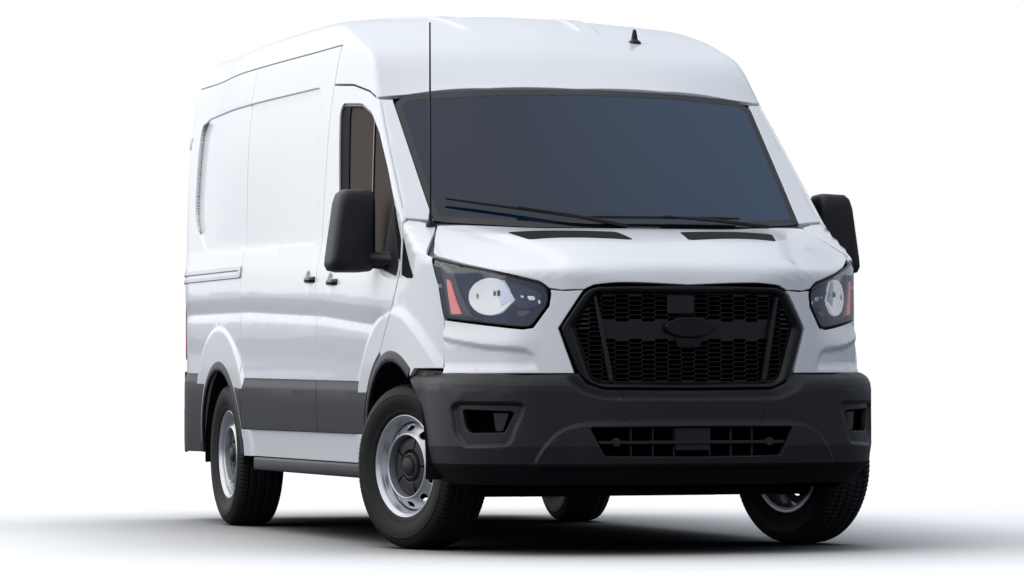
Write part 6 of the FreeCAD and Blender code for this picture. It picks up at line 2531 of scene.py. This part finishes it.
    def _cap(self, label: str) -> list[tuple[bpy.types.Object, Finish]]:
        """Build the parts of the hub cap.

        Args:
            label: Name of the wheel.

        Returns:
            Each object with its finish.
        """
        pieces = []
        ring = lathe(
            f"cap_ring_{label}",
            [(0.0480, 0.1290), (0.0560, 0.1270), (0.0580, 0.1240), (0.0560, 0.1225), (0.0520, 0.1215)], 96
        )
        bowl = lathe(f"cap_bowl_{label}", [(0.0530, 0.1240), (0.0525, 0.0760), (0.0500, 0.0660), (0.0480, 0.0)], 72)
        pieces += [(ring, PLASTIC), (bowl, BLACK)]
        hub = lathe(
            f"cap_hub_{label}",
            [(0.0500, 0.0640), (0.0600, 0.0625), (0.0700, 0.0560), (0.0720, 0.0490), (0.0715, 0.0460), (0.0690, 0.0430),
             (0.0720, 0.0405), (0.0800, 0.0370), (0.0835, 0.0300), (0.0840, 0.0)], 72,
        )
        pieces.append((hub, PLASTIC))
        sectors = []
        for k in range(5):
            start, end = 2 * math.pi * (k + 0.035) / 5, 2 * math.pi * (k + 0.965) / 5
            sectors.append(self._sector(start, end))
        pieces.append((joined(f"cap_sectors_{label}", sectors), PLASTIC))
        return pieces

    @staticmethod
    def _sector(start: float, end: float) -> bpy.types.Object:
        """Build one sector of the hub cap.

        Args:
            start: First angle.
            end: Last angle.

        Returns:
            The new object.
        """
        turns = np.linspace(start, end, 16)
        profile = [
            (0.0530, 0.1215), (0.0590, 0.1205), (0.0610, 0.1170), (0.0630, 0.0950), (0.0640, 0.0740),
            (0.0610, 0.0685), (0.0520, 0.0670)
        ]
        verts, faces = [], []
        for along, radius in profile:
            verts += [(along, radius * math.cos(t), radius * math.sin(t)) for t in turns]
        n = len(turns)
        for i in range(len(profile) - 1):
            faces += [(i * n + k, i * n + k + 1, (i + 1) * n + k + 1, (i + 1) * n + k) for k in range(n - 1)]
        for k in (0, n - 1):
            faces.append(tuple(i * n + k for i in range(len(profile))))
        return tidy(new_mesh("cap_sector", np.array(verts), faces), 28.0)


def apply_modifiers(obj: bpy.types.Object) -> None:
    """Bake an object's modifiers into its mesh.

    Args:
        obj: The object to change.
    """
    graph = bpy.context.evaluated_depsgraph_get()
    mesh = bpy.data.meshes.new_from_object(obj.evaluated_get(graph))
    obj.modifiers.clear()
    obj.data = mesh


# ---------------------------------------------------------------- fittings


@dataclass
class Fittings:
    """Cladding, arches, rails, handles, mirrors, running boards, rear corners and aerials."""

    form: BodyForm
    relief: SideRelief = field(default_factory=SideRelief)
    cladding_lift: float = 0.012
    arch: float = 0.515
    arch_opening: float = 0.449
    rear_arch: float = 0.486
    rear_opening: float = 0.420
    sill: float = 0.490

    def build(self) -> None:
        """Build every fitting."""
        for word, side in SIDES.items():
            self._cladding(word, side)
            self._arches(word, side)
            self._mirror(word, side)
            self._board(word, side)
            self._handle(f"door_handle_{word}", side, -0.774, 1.170, f"front_door_{word}_body", 0.075)
            self._rear_corner(word, side)
        self._handle("slider_handle", RIGHT, -0.356, 1.190, Body.VAN.value, 0.075)
        self._slide_rail()
        self._aerials()
        LOG.info("fittings")

    def top(self, y: float) -> float:
        """Height of the cladding's top edge along the van."""
        return float(np.interp(y, self.relief.cladding_y, self.relief.cladding_z))

    def clad_relief(self, q: Array) -> Array:
        """Height of the cladding over the body: plain face, crease and chamfered top.

        Args:
            q: Places in the plane, one row each.

        Returns:
            One height a place.
        """
        y, z = q[:, 0], q[:, 1]
        top = np.interp(y, self.relief.cladding_y, self.relief.cladding_z)
        below = top - z
        return self.cladding_lift - 0.011 * (1 - ramp(below, 0.0, 0.052)) + 0.0015 * ramp(below, 0.05, 0.09)

    def _strip(self, name: str, outline: Points, side: int, body: str, node: Optional[str], **extra: object) -> None:
        """Build one strip of cladding.

        Args:
            name: Name of the piece.
            outline: The piece's outline in the plane.
            side: RIGHT or LEFT.
            body: Body that the piece rides on.
            node: Node that the piece replaces.
        """
        extra.setdefault("relief", self.clad_relief)
        made = Panel(
            name, outline, self.form.side(side), thickness=0.014, roll=0.0025, spacing=0.035, **extra
        ).build()
        PLASTIC.wear(made)
        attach(made, body)
        if node:
            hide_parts(node)

    def _cladding(self, word: str, side: int) -> None:
        """Build one side's cladding.

        Args:
            word: Side in the names of the pieces.
            side: RIGHT or LEFT.
        """
        g = GAP / 2
        inner = self.arch - 0.01
        lean = arc(
            (FRONT_AXLE, HUB_HEIGHT), inner, math.degrees(math.asin((self.sill - HUB_HEIGHT) / inner)), 46.0, 12
        )
        reach = lean[-1]
        door = [(SEAM - g, self.sill), (SEAM - g, self.top(SEAM)), (reach[0] + 0.02, self.top(reach[0]))] + lean[::-1]
        self._strip(f"door_strip_{word}", door, side, f"front_door_{word}_body", f"door_cladding_{word}")
        rear_low = arc(
            (REAR_AXLE, HUB_HEIGHT), self.rear_arch - 0.01,
            180 - math.degrees(math.asin((self.sill - HUB_HEIGHT) / (self.rear_arch - 0.01))), 122.0, 12
        )
        start = SLIDER_END + g if side == RIGHT else SEAM + g
        ahead = [
            (start, self.sill), (start, self.top(start)), (rear_low[-1][0] - 0.012, self.top(rear_low[-1][0]))
        ] + rear_low[::-1]
        self._strip(f"rear_strip_{word}", ahead, side, Body.VAN.value, "side_cladding" if side == RIGHT else None)
        if side == RIGHT:
            slider = [
                (SEAM + g, self.sill), (SLIDER_END - g, self.sill), (SLIDER_END - g, self.top(SLIDER_END)),
                (SEAM + g, self.top(SEAM))
            ]
            self._strip("slider_strip", slider, side, Body.VAN.value, None)
        behind_arc = arc((REAR_AXLE, HUB_HEIGHT), self.rear_arch - 0.01, 1.0, 58.0, 14)
        behind = [(2.50, 0.362)] + behind_arc + [(behind_arc[-1][0] + 0.012, self.top(1.9)), (2.50, self.top(2.5))]
        self._strip(f"tail_strip_{word}", behind, side, Body.VAN.value, None)

    def _arches(self, word: str, side: int) -> None:
        """Build the rolled edges of the wheel arches.

        Args:
            word: Side in the names of the pieces.
            side: RIGHT or LEFT.
        """
        def rolled(centre: tuple[float, float], outer: float, inner: float) -> Callable[[Array], Array]:
            """Build one rolled edge.

            Args:
                centre: Middle of the arch.
                outer: Outer radius.
                inner: Inner radius.

            Returns:
                The relief as a function.
            """
            def relief(q: Array) -> Array:
                """Return the edge's rounded height.

                Args:
                    q: Places in the plane, one row each.

                Returns:
                    One height a place.
                """
                radius = np.hypot(q[:, 0] - centre[0], q[:, 1] - centre[1])
                share = np.clip((radius - inner) / (outer - inner), 0, 1)
                return 0.006 + 0.014 * np.sin(
                    np.clip(1 - share, 0, 1) * math.pi / 2
                ) - 0.004 * (1 - ramp(share, 0.0, 0.2))

            return relief

        for label, axle, outer, inner, start, end in (
            ("front", FRONT_AXLE, self.arch, self.arch_opening, 1.0, 123.0),
            ("rear", REAR_AXLE, self.rear_arch, self.rear_opening, 1.0, 179.0),
        ):
            centre = (axle, HUB_HEIGHT)
            outline = arc(centre, outer, start, end, 60) + arc(centre, inner, end, start, 60)
            self._strip(
                f"arch_{label}_{word}", outline, side, Body.VAN.value, None, relief=rolled(centre, outer, inner),
                detail=0.010
            )
            liner = self._liner(f"arch_liner_{label}_{word}", side, centre, inner + 0.012)
            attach(UNDERBODY.wear(liner), Body.VAN.value)

    def _liner(self, name: str, side: int, centre: tuple[float, float], radius: float) -> bpy.types.Object:
        """Build one wheel arch's liner.

        Args:
            name: Name of the piece.
            side: RIGHT or LEFT.
            centre: Middle of the arch.
            radius: Radius of the arch.

        Returns:
            The new object.
        """
        turns = np.radians(np.linspace(-6, 186, 49))
        xs = [0.560, 0.62, 0.90, 0.985] if centre[0] < 0 else [0.700, 0.74, 0.93, 0.985]
        verts = [
            (side * x, centre[0] + radius * math.cos(t), centre[1] + radius * math.sin(t)) for x in xs for t in turns
        ]
        n = len(turns)
        faces = [
            (i * n + k, i * n + k + 1, (i + 1) * n + k + 1, (i + 1) * n + k) for i in range(3) for k in range(n - 1)
        ]
        faces.append(tuple(range(n)))
        return tidy(new_mesh(name, np.array(verts), faces))

    def _board(self, word: str, side: int) -> None:
        """Build one running board.

        Args:
            word: Side in the names of the pieces.
            side: RIGHT or LEFT.
        """
        low, high = (side * 0.84, -1.175, 0.292), (side * 0.992, 0.868, 0.354)
        corners = [sorted(pair) for pair in zip(low, high)]
        made = block(f"step_{word}", [c[0] for c in corners], [c[1] for c in corners], 0.010)
        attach(LIGHT_PLASTIC.wear(made), Body.VAN.value)
        if side == RIGHT:
            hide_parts("running_boards")

    def _rear_corner(self, word: str, side: int) -> None:
        """Build the bumper's corner behind the rear wheel.

        Args:
            word: Side in the names of the pieces.
            side: RIGHT or LEFT.
        """
        outline = [(2.505, 0.352), (2.655, 0.366), (2.668, 0.60), (2.662, 0.765), (2.505, 0.778)]
        made = Panel(
            f"rear_corner_{word}", rounded(outline, 0.02, 3), self.form.side(side), lift=0.012, thickness=0.014,
            roll=0.003
        ).build()
        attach(PLASTIC.wear(made), Body.VAN.value)

    def _handle(self, name: str, side: int, y: float, z: float, body: str, half: float) -> None:
        """Build one door handle.

        Args:
            name: Name of the piece.
            side: RIGHT or LEFT.
            y: Place along the van.
            z: Height.
            body: Body that the piece rides on.
            half: Half of the handle's length.
        """
        base = self.form.side(side)(np.array([[y, z]]))[0]
        x = abs(base[0])
        places = [
            (0.010, -1.0, 0.0, -1), (0.012, -1.0, 0.004, 1), (0.026, -0.72, 0.0, 1), (0.029, 0.0, 0.0, 1),
            (0.026, 0.72, 0.0, 1), (0.012, 1.0, -0.004, 1), (0.010, 1.0, 0.0, -1),
        ]
        pull = tube(
            name, [(side * (x + way * out), y + half * share + more, z) for out, share, more, way in places],
            [0.011, 0.012, 0.011, 0.0105, 0.011, 0.012, 0.011], 14,
        )
        pull.data.transform(
            Matrix.Translation((0, 0, z)) @ Matrix.Diagonal((1, 1, 1.25, 1)) @ Matrix.Translation((0, 0, -z))
        )
        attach(BLACK.wear(pull), body)
        lock = lathe(name + "_lock", [(0.0, 0.0), (0.006, 0.0), (0.006, 0.008), (0.0, 0.009)], 32, "X")
        lock.matrix_world = Matrix.Translation(
            (side * (x - 0.004), y + half * 0.35, z - 0.028)
        ) @ Matrix.Rotation(0 if side > 0 else math.pi, 4, "Z")
        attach(BLACK.wear(lock), body)

    def _slide_rail(self) -> None:
        """Build the sliding door's rail."""
        end = 2.62
        outline = [(SLIDER_END + 0.004, 1.232), (SLIDER_END + 0.004, 1.292), (end, 1.292), (end, 1.232)]
        slot = [(SLIDER_END + 0.05, 1.252), (SLIDER_END + 0.05, 1.270), (end - 0.05, 1.270), (end - 0.05, 1.252)]
        made = Panel(
            "rail_cover", rounded(outline, 0.008, 3), self.form.side(RIGHT), relief=lambda q: self.relief(q) + 0.008,
            thickness=0.018,
            holes=[rounded(slot, 0.004, 3)], roll=0.003,
        ).build()
        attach(METAL.wear(made), Body.VAN.value)
        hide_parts("slide_rail")
        floor = Panel(
            "rail_floor", slot, self.form.side(RIGHT), relief=lambda q: self.relief(q) - 0.004, thickness=0.003
        ).build()
        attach(BLACK.wear(floor), Body.VAN.value)

    def _mirror(self, word: str, side: int) -> None:
        """Build one mirror with its arm and glass.

        Args:
            word: Side in the names of the pieces.
            side: RIGHT or LEFT.
        """
        body = f"front_door_{word}_body"
        x0, x1 = 1.024, 1.235
        profile = [
            (x0, 1.235), (x0 + 0.004, 1.215), (x0 + 0.022, 1.199), (x0 + 0.060, 1.195), (x1 - 0.050, 1.195),
            (x1 - 0.016, 1.203), (x1 - 0.002, 1.225),
            (x1, 1.260), (x1 - 0.002, 1.500), (x1 - 0.012, 1.538), (x1 - 0.040, 1.556), (x0 + 0.060, 1.560),
            (x0 + 0.022, 1.553), (x0 + 0.004, 1.530), (x0, 1.500),
        ]
        ring = densified([(a - 0.050 * (b - 1.195) / 0.365 * (a - x0) / (x1 - x0), b) for a, b in profile], 0.02)
        middle = ring.mean(0)
        depths = (
            (-1.605, 0.70), (-1.602, 0.82), (-1.592, 0.92), (-1.570, 0.985), (-1.530, 1.0), (-1.475, 1.0),
            (-1.458, 0.985)
        )
        verts, faces = [], []
        n = len(ring)
        for y, share in depths:
            verts += [
                (
                    side * (middle[0] + (p[0] - middle[0]) * share), y + 0.03 * (1 - share) * 0,
                    middle[1] + (p[1] - middle[1]) * share
                ) for p in ring
            ]
        for i in range(len(depths) - 1):
            faces += [(i * n + k, i * n + (k + 1) % n, (i + 1) * n + (k + 1) % n, (i + 1) * n + k) for k in range(n)]
        faces += [tuple(range(n)), tuple((len(depths) - 1) * n + k for k in range(n))]
        shell = tidy(new_mesh(f"mirror_shell_{word}", np.array(verts), faces), 50.0)
        PLASTIC.wear(shell)
        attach(shell, body)
        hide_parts(f"mirror_{word}")
        glass = [
            (
                side * (middle[0] + (p[0] - middle[0]) * 0.90), -1.4575, middle[1] + (p[1] - middle[1]) * 0.92
            ) for p in ring
        ]
        pane = tidy(new_mesh(f"mirror_glass_{word}", np.array(glass), [tuple(range(n))]))
        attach(MIRROR.wear(pane), body)
        arm = [
            tube(
                f"mirror_arm_{word}",
                [
                    (side * 0.955, -1.700, 1.245), (side * 0.99, -1.66, 1.252), (side * 1.03, -1.60, 1.256),
                    (side * 1.07, -1.545, 1.262)
                ],
                [0.030, 0.029, 0.027, 0.026], 16
            ),
            tube(
                "mirror_arm_upper",
                [(side * 0.985, -1.62, 1.225), (side * 1.04, -1.57, 1.232), (side * 1.08, -1.53, 1.24)],
                [0.022, 0.020, 0.020], 16
            ),
        ]
        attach(PLASTIC.wear(joined(f"mirror_arm_{word}", arm)), body)
        sail = [(-1.655, 1.505), (-1.835, 1.225), (-1.826, 1.168), (-1.604, 1.205), (-1.575, 1.235), (-1.60, 1.35)]
        made = Panel(
            f"mirror_sail_{word}", rounded(sail, 0.012, 3), self.form.side(side), lift=0.003, thickness=0.02,
            roll=0.003
        ).build()
        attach(PLASTIC.wear(made), body)

    def _aerials(self) -> None:
        """Build the mast and the roof aerial."""
        foot = Vector((-0.866, -1.885, 1.385))
        mast = tube(
            "mast", [foot + Vector((0, 0, 0.02)), foot + Vector((0, 0, 0.5)), foot + Vector((0, 0, 0.875))],
            [0.0048, 0.0044, 0.0036], 10
        )
        base = lathe(
            "mast_base",
            [(0.0, 0.0), (0.0, 0.020), (0.010, 0.019), (0.022, 0.011), (0.045, 0.007), (0.060, 0.005), (0.060, 0.0)],
            32, "Z"
        )
        base.location = foot
        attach(BLACK.wear(mast), Body.VAN.value)
        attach(BLACK.wear(base), Body.VAN.value)
        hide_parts("aerials")
        fin_low = Vector((0.447, -0.720, 0.0))
        top = self.form.above(np.array([[fin_low.x, fin_low.y]]))[0][2]
        profile = [
            (0.0, 0.0), (0.0, 0.032), (0.008, 0.030), (0.020, 0.016), (0.050, 0.011), (0.066, 0.007), (0.068, 0.0)
        ]
        fin = lathe("roof_fin", profile, 32, "Z")
        fin.location = (fin_low.x, fin_low.y, top - 0.006)
        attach(BLACK.wear(fin), Body.VAN.value)


MIRROR = Finish("gloss_black", (0.35, 0.37, 0.40), roughness=0.04, metallic=1.0, variant="_mirror")


# ---------------------------------------------------------------- tail and trims


@dataclass
class Tail:
    """Rear doors with hinges and handle, tail lamps, rear bumper and the frame round the doors."""

    form: BodyForm
    half: Points = ((0.0, 0.622), (0.801, 0.622), (0.803, 1.518), (0.777, 2.024), (0.728, 2.214), (0.0, 2.216))
    hinge_heights: Sequence[float] = (0.79, 1.98)

    def build(self) -> None:
        """Build the whole tail."""
        for word, side in SIDES.items():
            self._door(word, side)
            self._lamp(word, side)
            self._hinges(word, side)
        self._bumper()
        self._surround()
        LOG.info("tail")

    def astern(self, q: Array) -> Array:
        """Map (x, z) straight rearwards onto the tail."""
        start = np.stack([q[:, 0], np.full(len(q), 1.9), q[:, 1]], 1)
        return self.form.hit(start, np.tile([0.0, 1.0, 0.0], (len(q), 1)), 1.1)

    def _panel(self, name: str, outline: Points, **extra: object) -> bpy.types.Object:
        """Build a panel on the rear."""
        extra.setdefault("outward", (0.0, 1.0, 1.3))
        return Panel(name, outline, self.astern, **extra).build()

    @staticmethod
    def relief(q: Array) -> Array:
        """Height of the pressed shapes of a rear door.

        Args:
            q: Places in the plane, one row each.

        Returns:
            One height a place.
        """
        x, z = np.abs(q[:, 0]), q[:, 1]
        dish = np.minimum(np.minimum(x - 0.09, 0.72 - x), np.minimum(z - 1.28, 2.05 - z))
        plate = np.minimum(np.minimum(x + 1.0, 0.33 - x), np.minimum(z - 0.82, 0.98 - z))
        return -0.012 * ramp(dish, 0.0, 0.015) - 0.010 * ramp(plate, 0.0, 0.012) * (q[:, 0] > 0.0)

    def _door(self, word: str, side: int) -> None:
        """Build one rear door's skin.

        Args:
            word: Side in the names of the pieces.
            side: RIGHT or LEFT.
        """
        g = GAP / 2
        inner = [(side * (x - g if x > 0 else g), z) for x, z in self.half]
        outline = rounded(inner, 0.03, 4)
        made = self._panel(f"rear_door_{word}_skin", outline, relief=self.relief, thickness=0.035, spacing=0.04)
        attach(PAINT.wear(made), f"rear_door_{word}_body")
        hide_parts(f"rear_door_{word}")
        if side == LEFT:
            plate = block("plate_light", (0.06, 2.700, 0.990), (0.30, 2.728, 1.020), 0.006)
            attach(PLASTIC.wear(plate), "rear_door_left_body")
        else:
            grip = tube(
                "rear_handle",
                [
                    (-0.05, 2.700, 1.085), (-0.055, 2.738, 1.085), (-0.11, 2.748, 1.085), (-0.18, 2.748, 1.085),
                    (-0.235, 2.738, 1.085), (-0.24, 2.700, 1.085)
                ],
                0.011, 12
            )
            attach(BLACK.wear(grip), "rear_door_right_body")

    def _lamp(self, word: str, side: int) -> None:
        """Build one tail lamp.

        Args:
            word: Side in the names of the pieces.
            side: RIGHT or LEFT.
        """
        low, high = 0.838, 1.314
        shape = [(2.585, low), (2.70, low), (2.70, high), (2.600, high)]
        wrap = Panel(
            f"tail_lens_side_{word}", rounded(shape, 0.012, 3), self.form.side(side), lift=0.008, thickness=0.02,
            roll=0.004
        ).build()
        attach(RED_LENS.wear(wrap), Body.VAN.value)
        back = [(side * 0.842, low), (side * 0.955, low), (side * 0.955, high), (side * 0.842, high)]
        made = self._panel(f"tail_lens_{word}", rounded(back, 0.012, 3), lift=0.008, thickness=0.02, roll=0.004)
        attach(RED_LENS.wear(made), Body.VAN.value)
        pale = [
            (side * 0.852, low + 0.16), (side * 0.945, low + 0.16), (side * 0.945, low + 0.24),
            (side * 0.852, low + 0.24)
        ]
        inner = self._panel(f"tail_lens_pale_{word}", rounded(pale, 0.01, 3), lift=0.0095, thickness=0.006)
        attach(CHROME.wear(inner), Body.VAN.value)
        if side == RIGHT:
            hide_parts("tail_lamps")

    def _hinges(self, word: str, side: int) -> None:
        """Build one rear door's hinges.

        Args:
            word: Side in the names of the pieces.
            side: RIGHT or LEFT.
        """
        for k, height in enumerate(self.hinge_heights):
            x = float(self.form.side(1)(np.array([[2.628, height]]))[0, 0])
            across = sorted((side * (x - 0.03), side * (x + 0.008)))
            knuckle = block(
                f"rear_hinge_{word}_{k}", (across[0], 2.600, height - 0.032), (across[1], 2.650, height + 0.032),
                0.007
            )
            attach(PAINT.wear(knuckle), Body.VAN.value)
            arm = block(
                f"rear_hinge_arm_{word}_{k}", (min(side * 0.72, side * 0.83), 2.690, height - 0.022),
                (max(side * 0.72, side * 0.83), 2.712, height + 0.022), 0.006
            )
            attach(PAINT.wear(arm), Body.VAN.value)

    def _bumper(self) -> None:
        """Build the rear bumper and its step."""
        outline = mirrored([(0.0, 0.372), (0.90, 0.372), (0.962, 0.40), (0.962, 0.585), (0.90, 0.598), (0.0, 0.598)])
        made = self._panel("rear_bumper_skin", outline, lift=0.016, thickness=0.05, roll=0.008, spacing=0.035)
        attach(PLASTIC.wear(made), Body.VAN.value)
        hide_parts("rear_bumper")
        tread = mirrored([(0.0, 0.560), (0.55, 0.560), (0.56, 0.590), (0.0, 0.590)])
        step = self._panel("rear_step", tread, lift=0.022, thickness=0.01, roll=0.004)
        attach(LIGHT_PLASTIC.wear(step), Body.VAN.value)

    def _surround(self) -> None:
        """Build the frame round the rear doors."""
        outer = [
            (0.0, 0.600), (0.965, 0.600), (0.975, 1.0), (0.962, 1.45), (0.93, 1.80), (0.885, 2.08), (0.845, 2.25),
            (0.72, 2.385), (0.45, 2.43), (0.0, 2.44)
        ]
        g = GAP
        opening = [
            (0.0, 0.622 - g), (0.801 + g, 0.622 - g), (0.803 + g, 1.518), (0.777 + g, 2.024), (0.728 + g, 2.214 + g),
            (0.0, 2.216 + g)
        ]
        hole = densified(rounded(mirrored(opening)[::1], 0.03, 4), 0.03)
        made = self._panel(
            "tail_surround", mirrored(outer), holes=[[tuple(p) for p in hole]], thickness=0.03, spacing=0.04
        )
        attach(PAINT.wear(made), Body.VAN.value)


@dataclass
class Trims:
    """Wipers, door window trims and the black parts round the glass."""

    form: BodyForm

    def build(self) -> None:
        """Build every trim."""
        for word, side in SIDES.items():
            self._window(word, side)
        self._wipers()
        self._cowl()
        LOG.info("trims")

    def _window(self, word: str, side: int) -> None:
        """Build the black trims round one door window.

        Args:
            word: Side in the names of the pieces.
            side: RIGHT or LEFT.
        """
        body = f"front_door_{word}_body"
        mapping = self.form.side(side)
        outline = rounded(Shell.window, 0.03, 4)
        inner = shrunk(densified(outline, 0.02), 0.012)
        frame = Panel(
            f"window_seal_{word}", outline, mapping, holes=[[tuple(p) for p in inner]], lift=-0.006, thickness=0.012,
            roll=0.002, outward=(0.0, 0.0, 1.1)
        ).build()
        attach(BLACK.wear(frame), body)
        divider = [(-1.130, 1.925), (-1.150, 1.918), (-1.345, 1.250), (-1.322, 1.254)]
        bar = Panel(
            f"window_divider_{word}", divider, mapping, lift=-0.008, thickness=0.010, roll=0.002,
            outward=(0.0, 0.0, 1.1)
        ).build()
        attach(BLACK.wear(bar), body)
        post = [
            (-0.604, 1.95), (-0.640, 1.984), (-0.742, 1.978), (-0.742, 1.93), (-0.835, 1.58), (-0.905, 1.280),
            (-0.785, 1.282), (-0.702, 1.59)
        ]
        made = Panel(
            f"window_post_{word}", post, mapping, lift=-0.009, thickness=0.010, roll=0.002, outward=(0.0, 0.0, 1.1)
        ).build()
        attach(VENT.wear(made), body)
        cover = [(-1.872, 1.335), (-1.960, 1.250), (-2.040, 1.168), (-2.030, 1.158), (-1.960, 1.160), (-1.884, 1.176)]
        made = Panel(
            f"quarter_cover_{word}", cover, mapping, lift=0.002, thickness=0.006, roll=0.001, outward=(0.0, 0.0, 1.1)
        ).build()
        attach(VENT.wear(made), Body.VAN.value)
        edge = [
            (-1.690, 1.474), (-1.835, 1.328), (-1.857, 1.216), (-1.848, 1.168), (-1.810, 1.168), (-1.822, 1.228),
            (-1.668, 1.488)
        ]
        made = Panel(
            f"door_corner_{word}", edge, mapping, lift=0.0015, thickness=0.004, roll=0.001, outward=(0.0, 0.0, 1.1)
        ).build()
        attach(VENT.wear(made), body)

    def _wipers(self) -> None:
        """Build both wipers."""
        pieces = []
        for start, end, foot in (
            ((-0.765, 1.500), (-0.200, 1.412), (-0.02, 1.385)), ((-0.215, 1.418), (0.520, 1.418), (0.66, 1.390))
        ):
            a, b, f = (np.array(self.form.ahead(np.array([p]))[0]) for p in (start, end, foot))
            lift = np.array([0.0, -0.022, 0.010])
            line = [a + (b - a) * s for s in np.linspace(0, 1, 7)]
            line = [self.form.ahead(np.array([[p[0], p[2]]]))[0] + lift for p in line]
            pieces.append(tube("wiper_blade", line, [0.005] + [0.007] * 5 + [0.005], 10))
            middle = line[3] + np.array([0, -0.012, 0.004])
            pieces.append(
                tube(
                    "wiper_arm", [f + lift * 0.4, f + (middle - f) * 0.5 + np.array([0, -0.014, 0.006]), middle],
                    [0.010, 0.008, 0.006], 10
                )
            )
        made = joined("wiper_set", pieces)
        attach(BLACK.wear(made), Body.VAN.value)
        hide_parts("wipers")

    def _cowl(self) -> None:
        """Build the black cowl under the windscreen."""
        half = [(0.0, 1.352), (0.45, 1.357), (0.78, 1.384), (0.83, 1.396), (0.83, 1.412), (0.45, 1.390), (0.0, 1.385)]
        made = Panel(
            "cowl", mirrored(half), self.form.ahead, lift=-0.008, thickness=0.02, spacing=0.04,
            outward=(0.0, -1.0, 1.2)
        ).build()
        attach(BLACK.wear(made), Body.VAN.value)


# ---------------------------------------------------------------- the whole van


@dataclass
class PlainPieces:
    """Pieces whose CAD shape is shown as it is, with better finishes."""

    finishes: dict = field(default_factory=lambda: {
        "white_paint": PAINT, "tinted_glass": WINDOW, "grained_plastic": PLASTIC, "gloss_black": BLACK,
        "lamp_lens": LAMP_BLACK, "red_lens": RED_LENS, "underbody_paint": UNDERBODY, "cast_metal": DARK_METAL,
        "steel": METAL, "wheel_steel": STEEL_PAINT, "tyre_rubber": TYRE, "seat_cloth": CLOTH, "cab_plastic": CAB,
    })

    def build(self, frame: dict) -> None:
        """Give every CAD node its finish.

        Args:
            frame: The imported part's pieces.
        """
        slots = {part["node"]: part["material_slot"] for part in frame["record"]["subparts"]}
        for name, node in frame["nodes"].items():
            self.finishes[slots[name]].wear(node)
            mesh = node.data
            mesh.polygons.foreach_set("use_smooth", [True] * len(mesh.polygons))
            mesh.set_sharp_from_angle(angle=math.radians(35))
            mesh.update()
            LOG.info("finish on %s", name)


def main() -> None:
    """Build the van's looks piece by piece."""
    logging.basicConfig(level=logging.INFO, format="%(message)s")
    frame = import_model()
    Studio().build()
    PlainPieces().build(frame)
    form = BodyForm()
    LOG.info("form ready")
    Shell(form).build()
    Nose(form).build()
    wheel = Wheel()
    for end in ("front", "rear"):
        for word, side in SIDES.items():
            wheel.dress(end, word, side)
    LOG.info("wheels")
    Fittings(form).build()
    Tail(form).build()
    Trims(form).build()


if __name__ == "__main__":
    main()
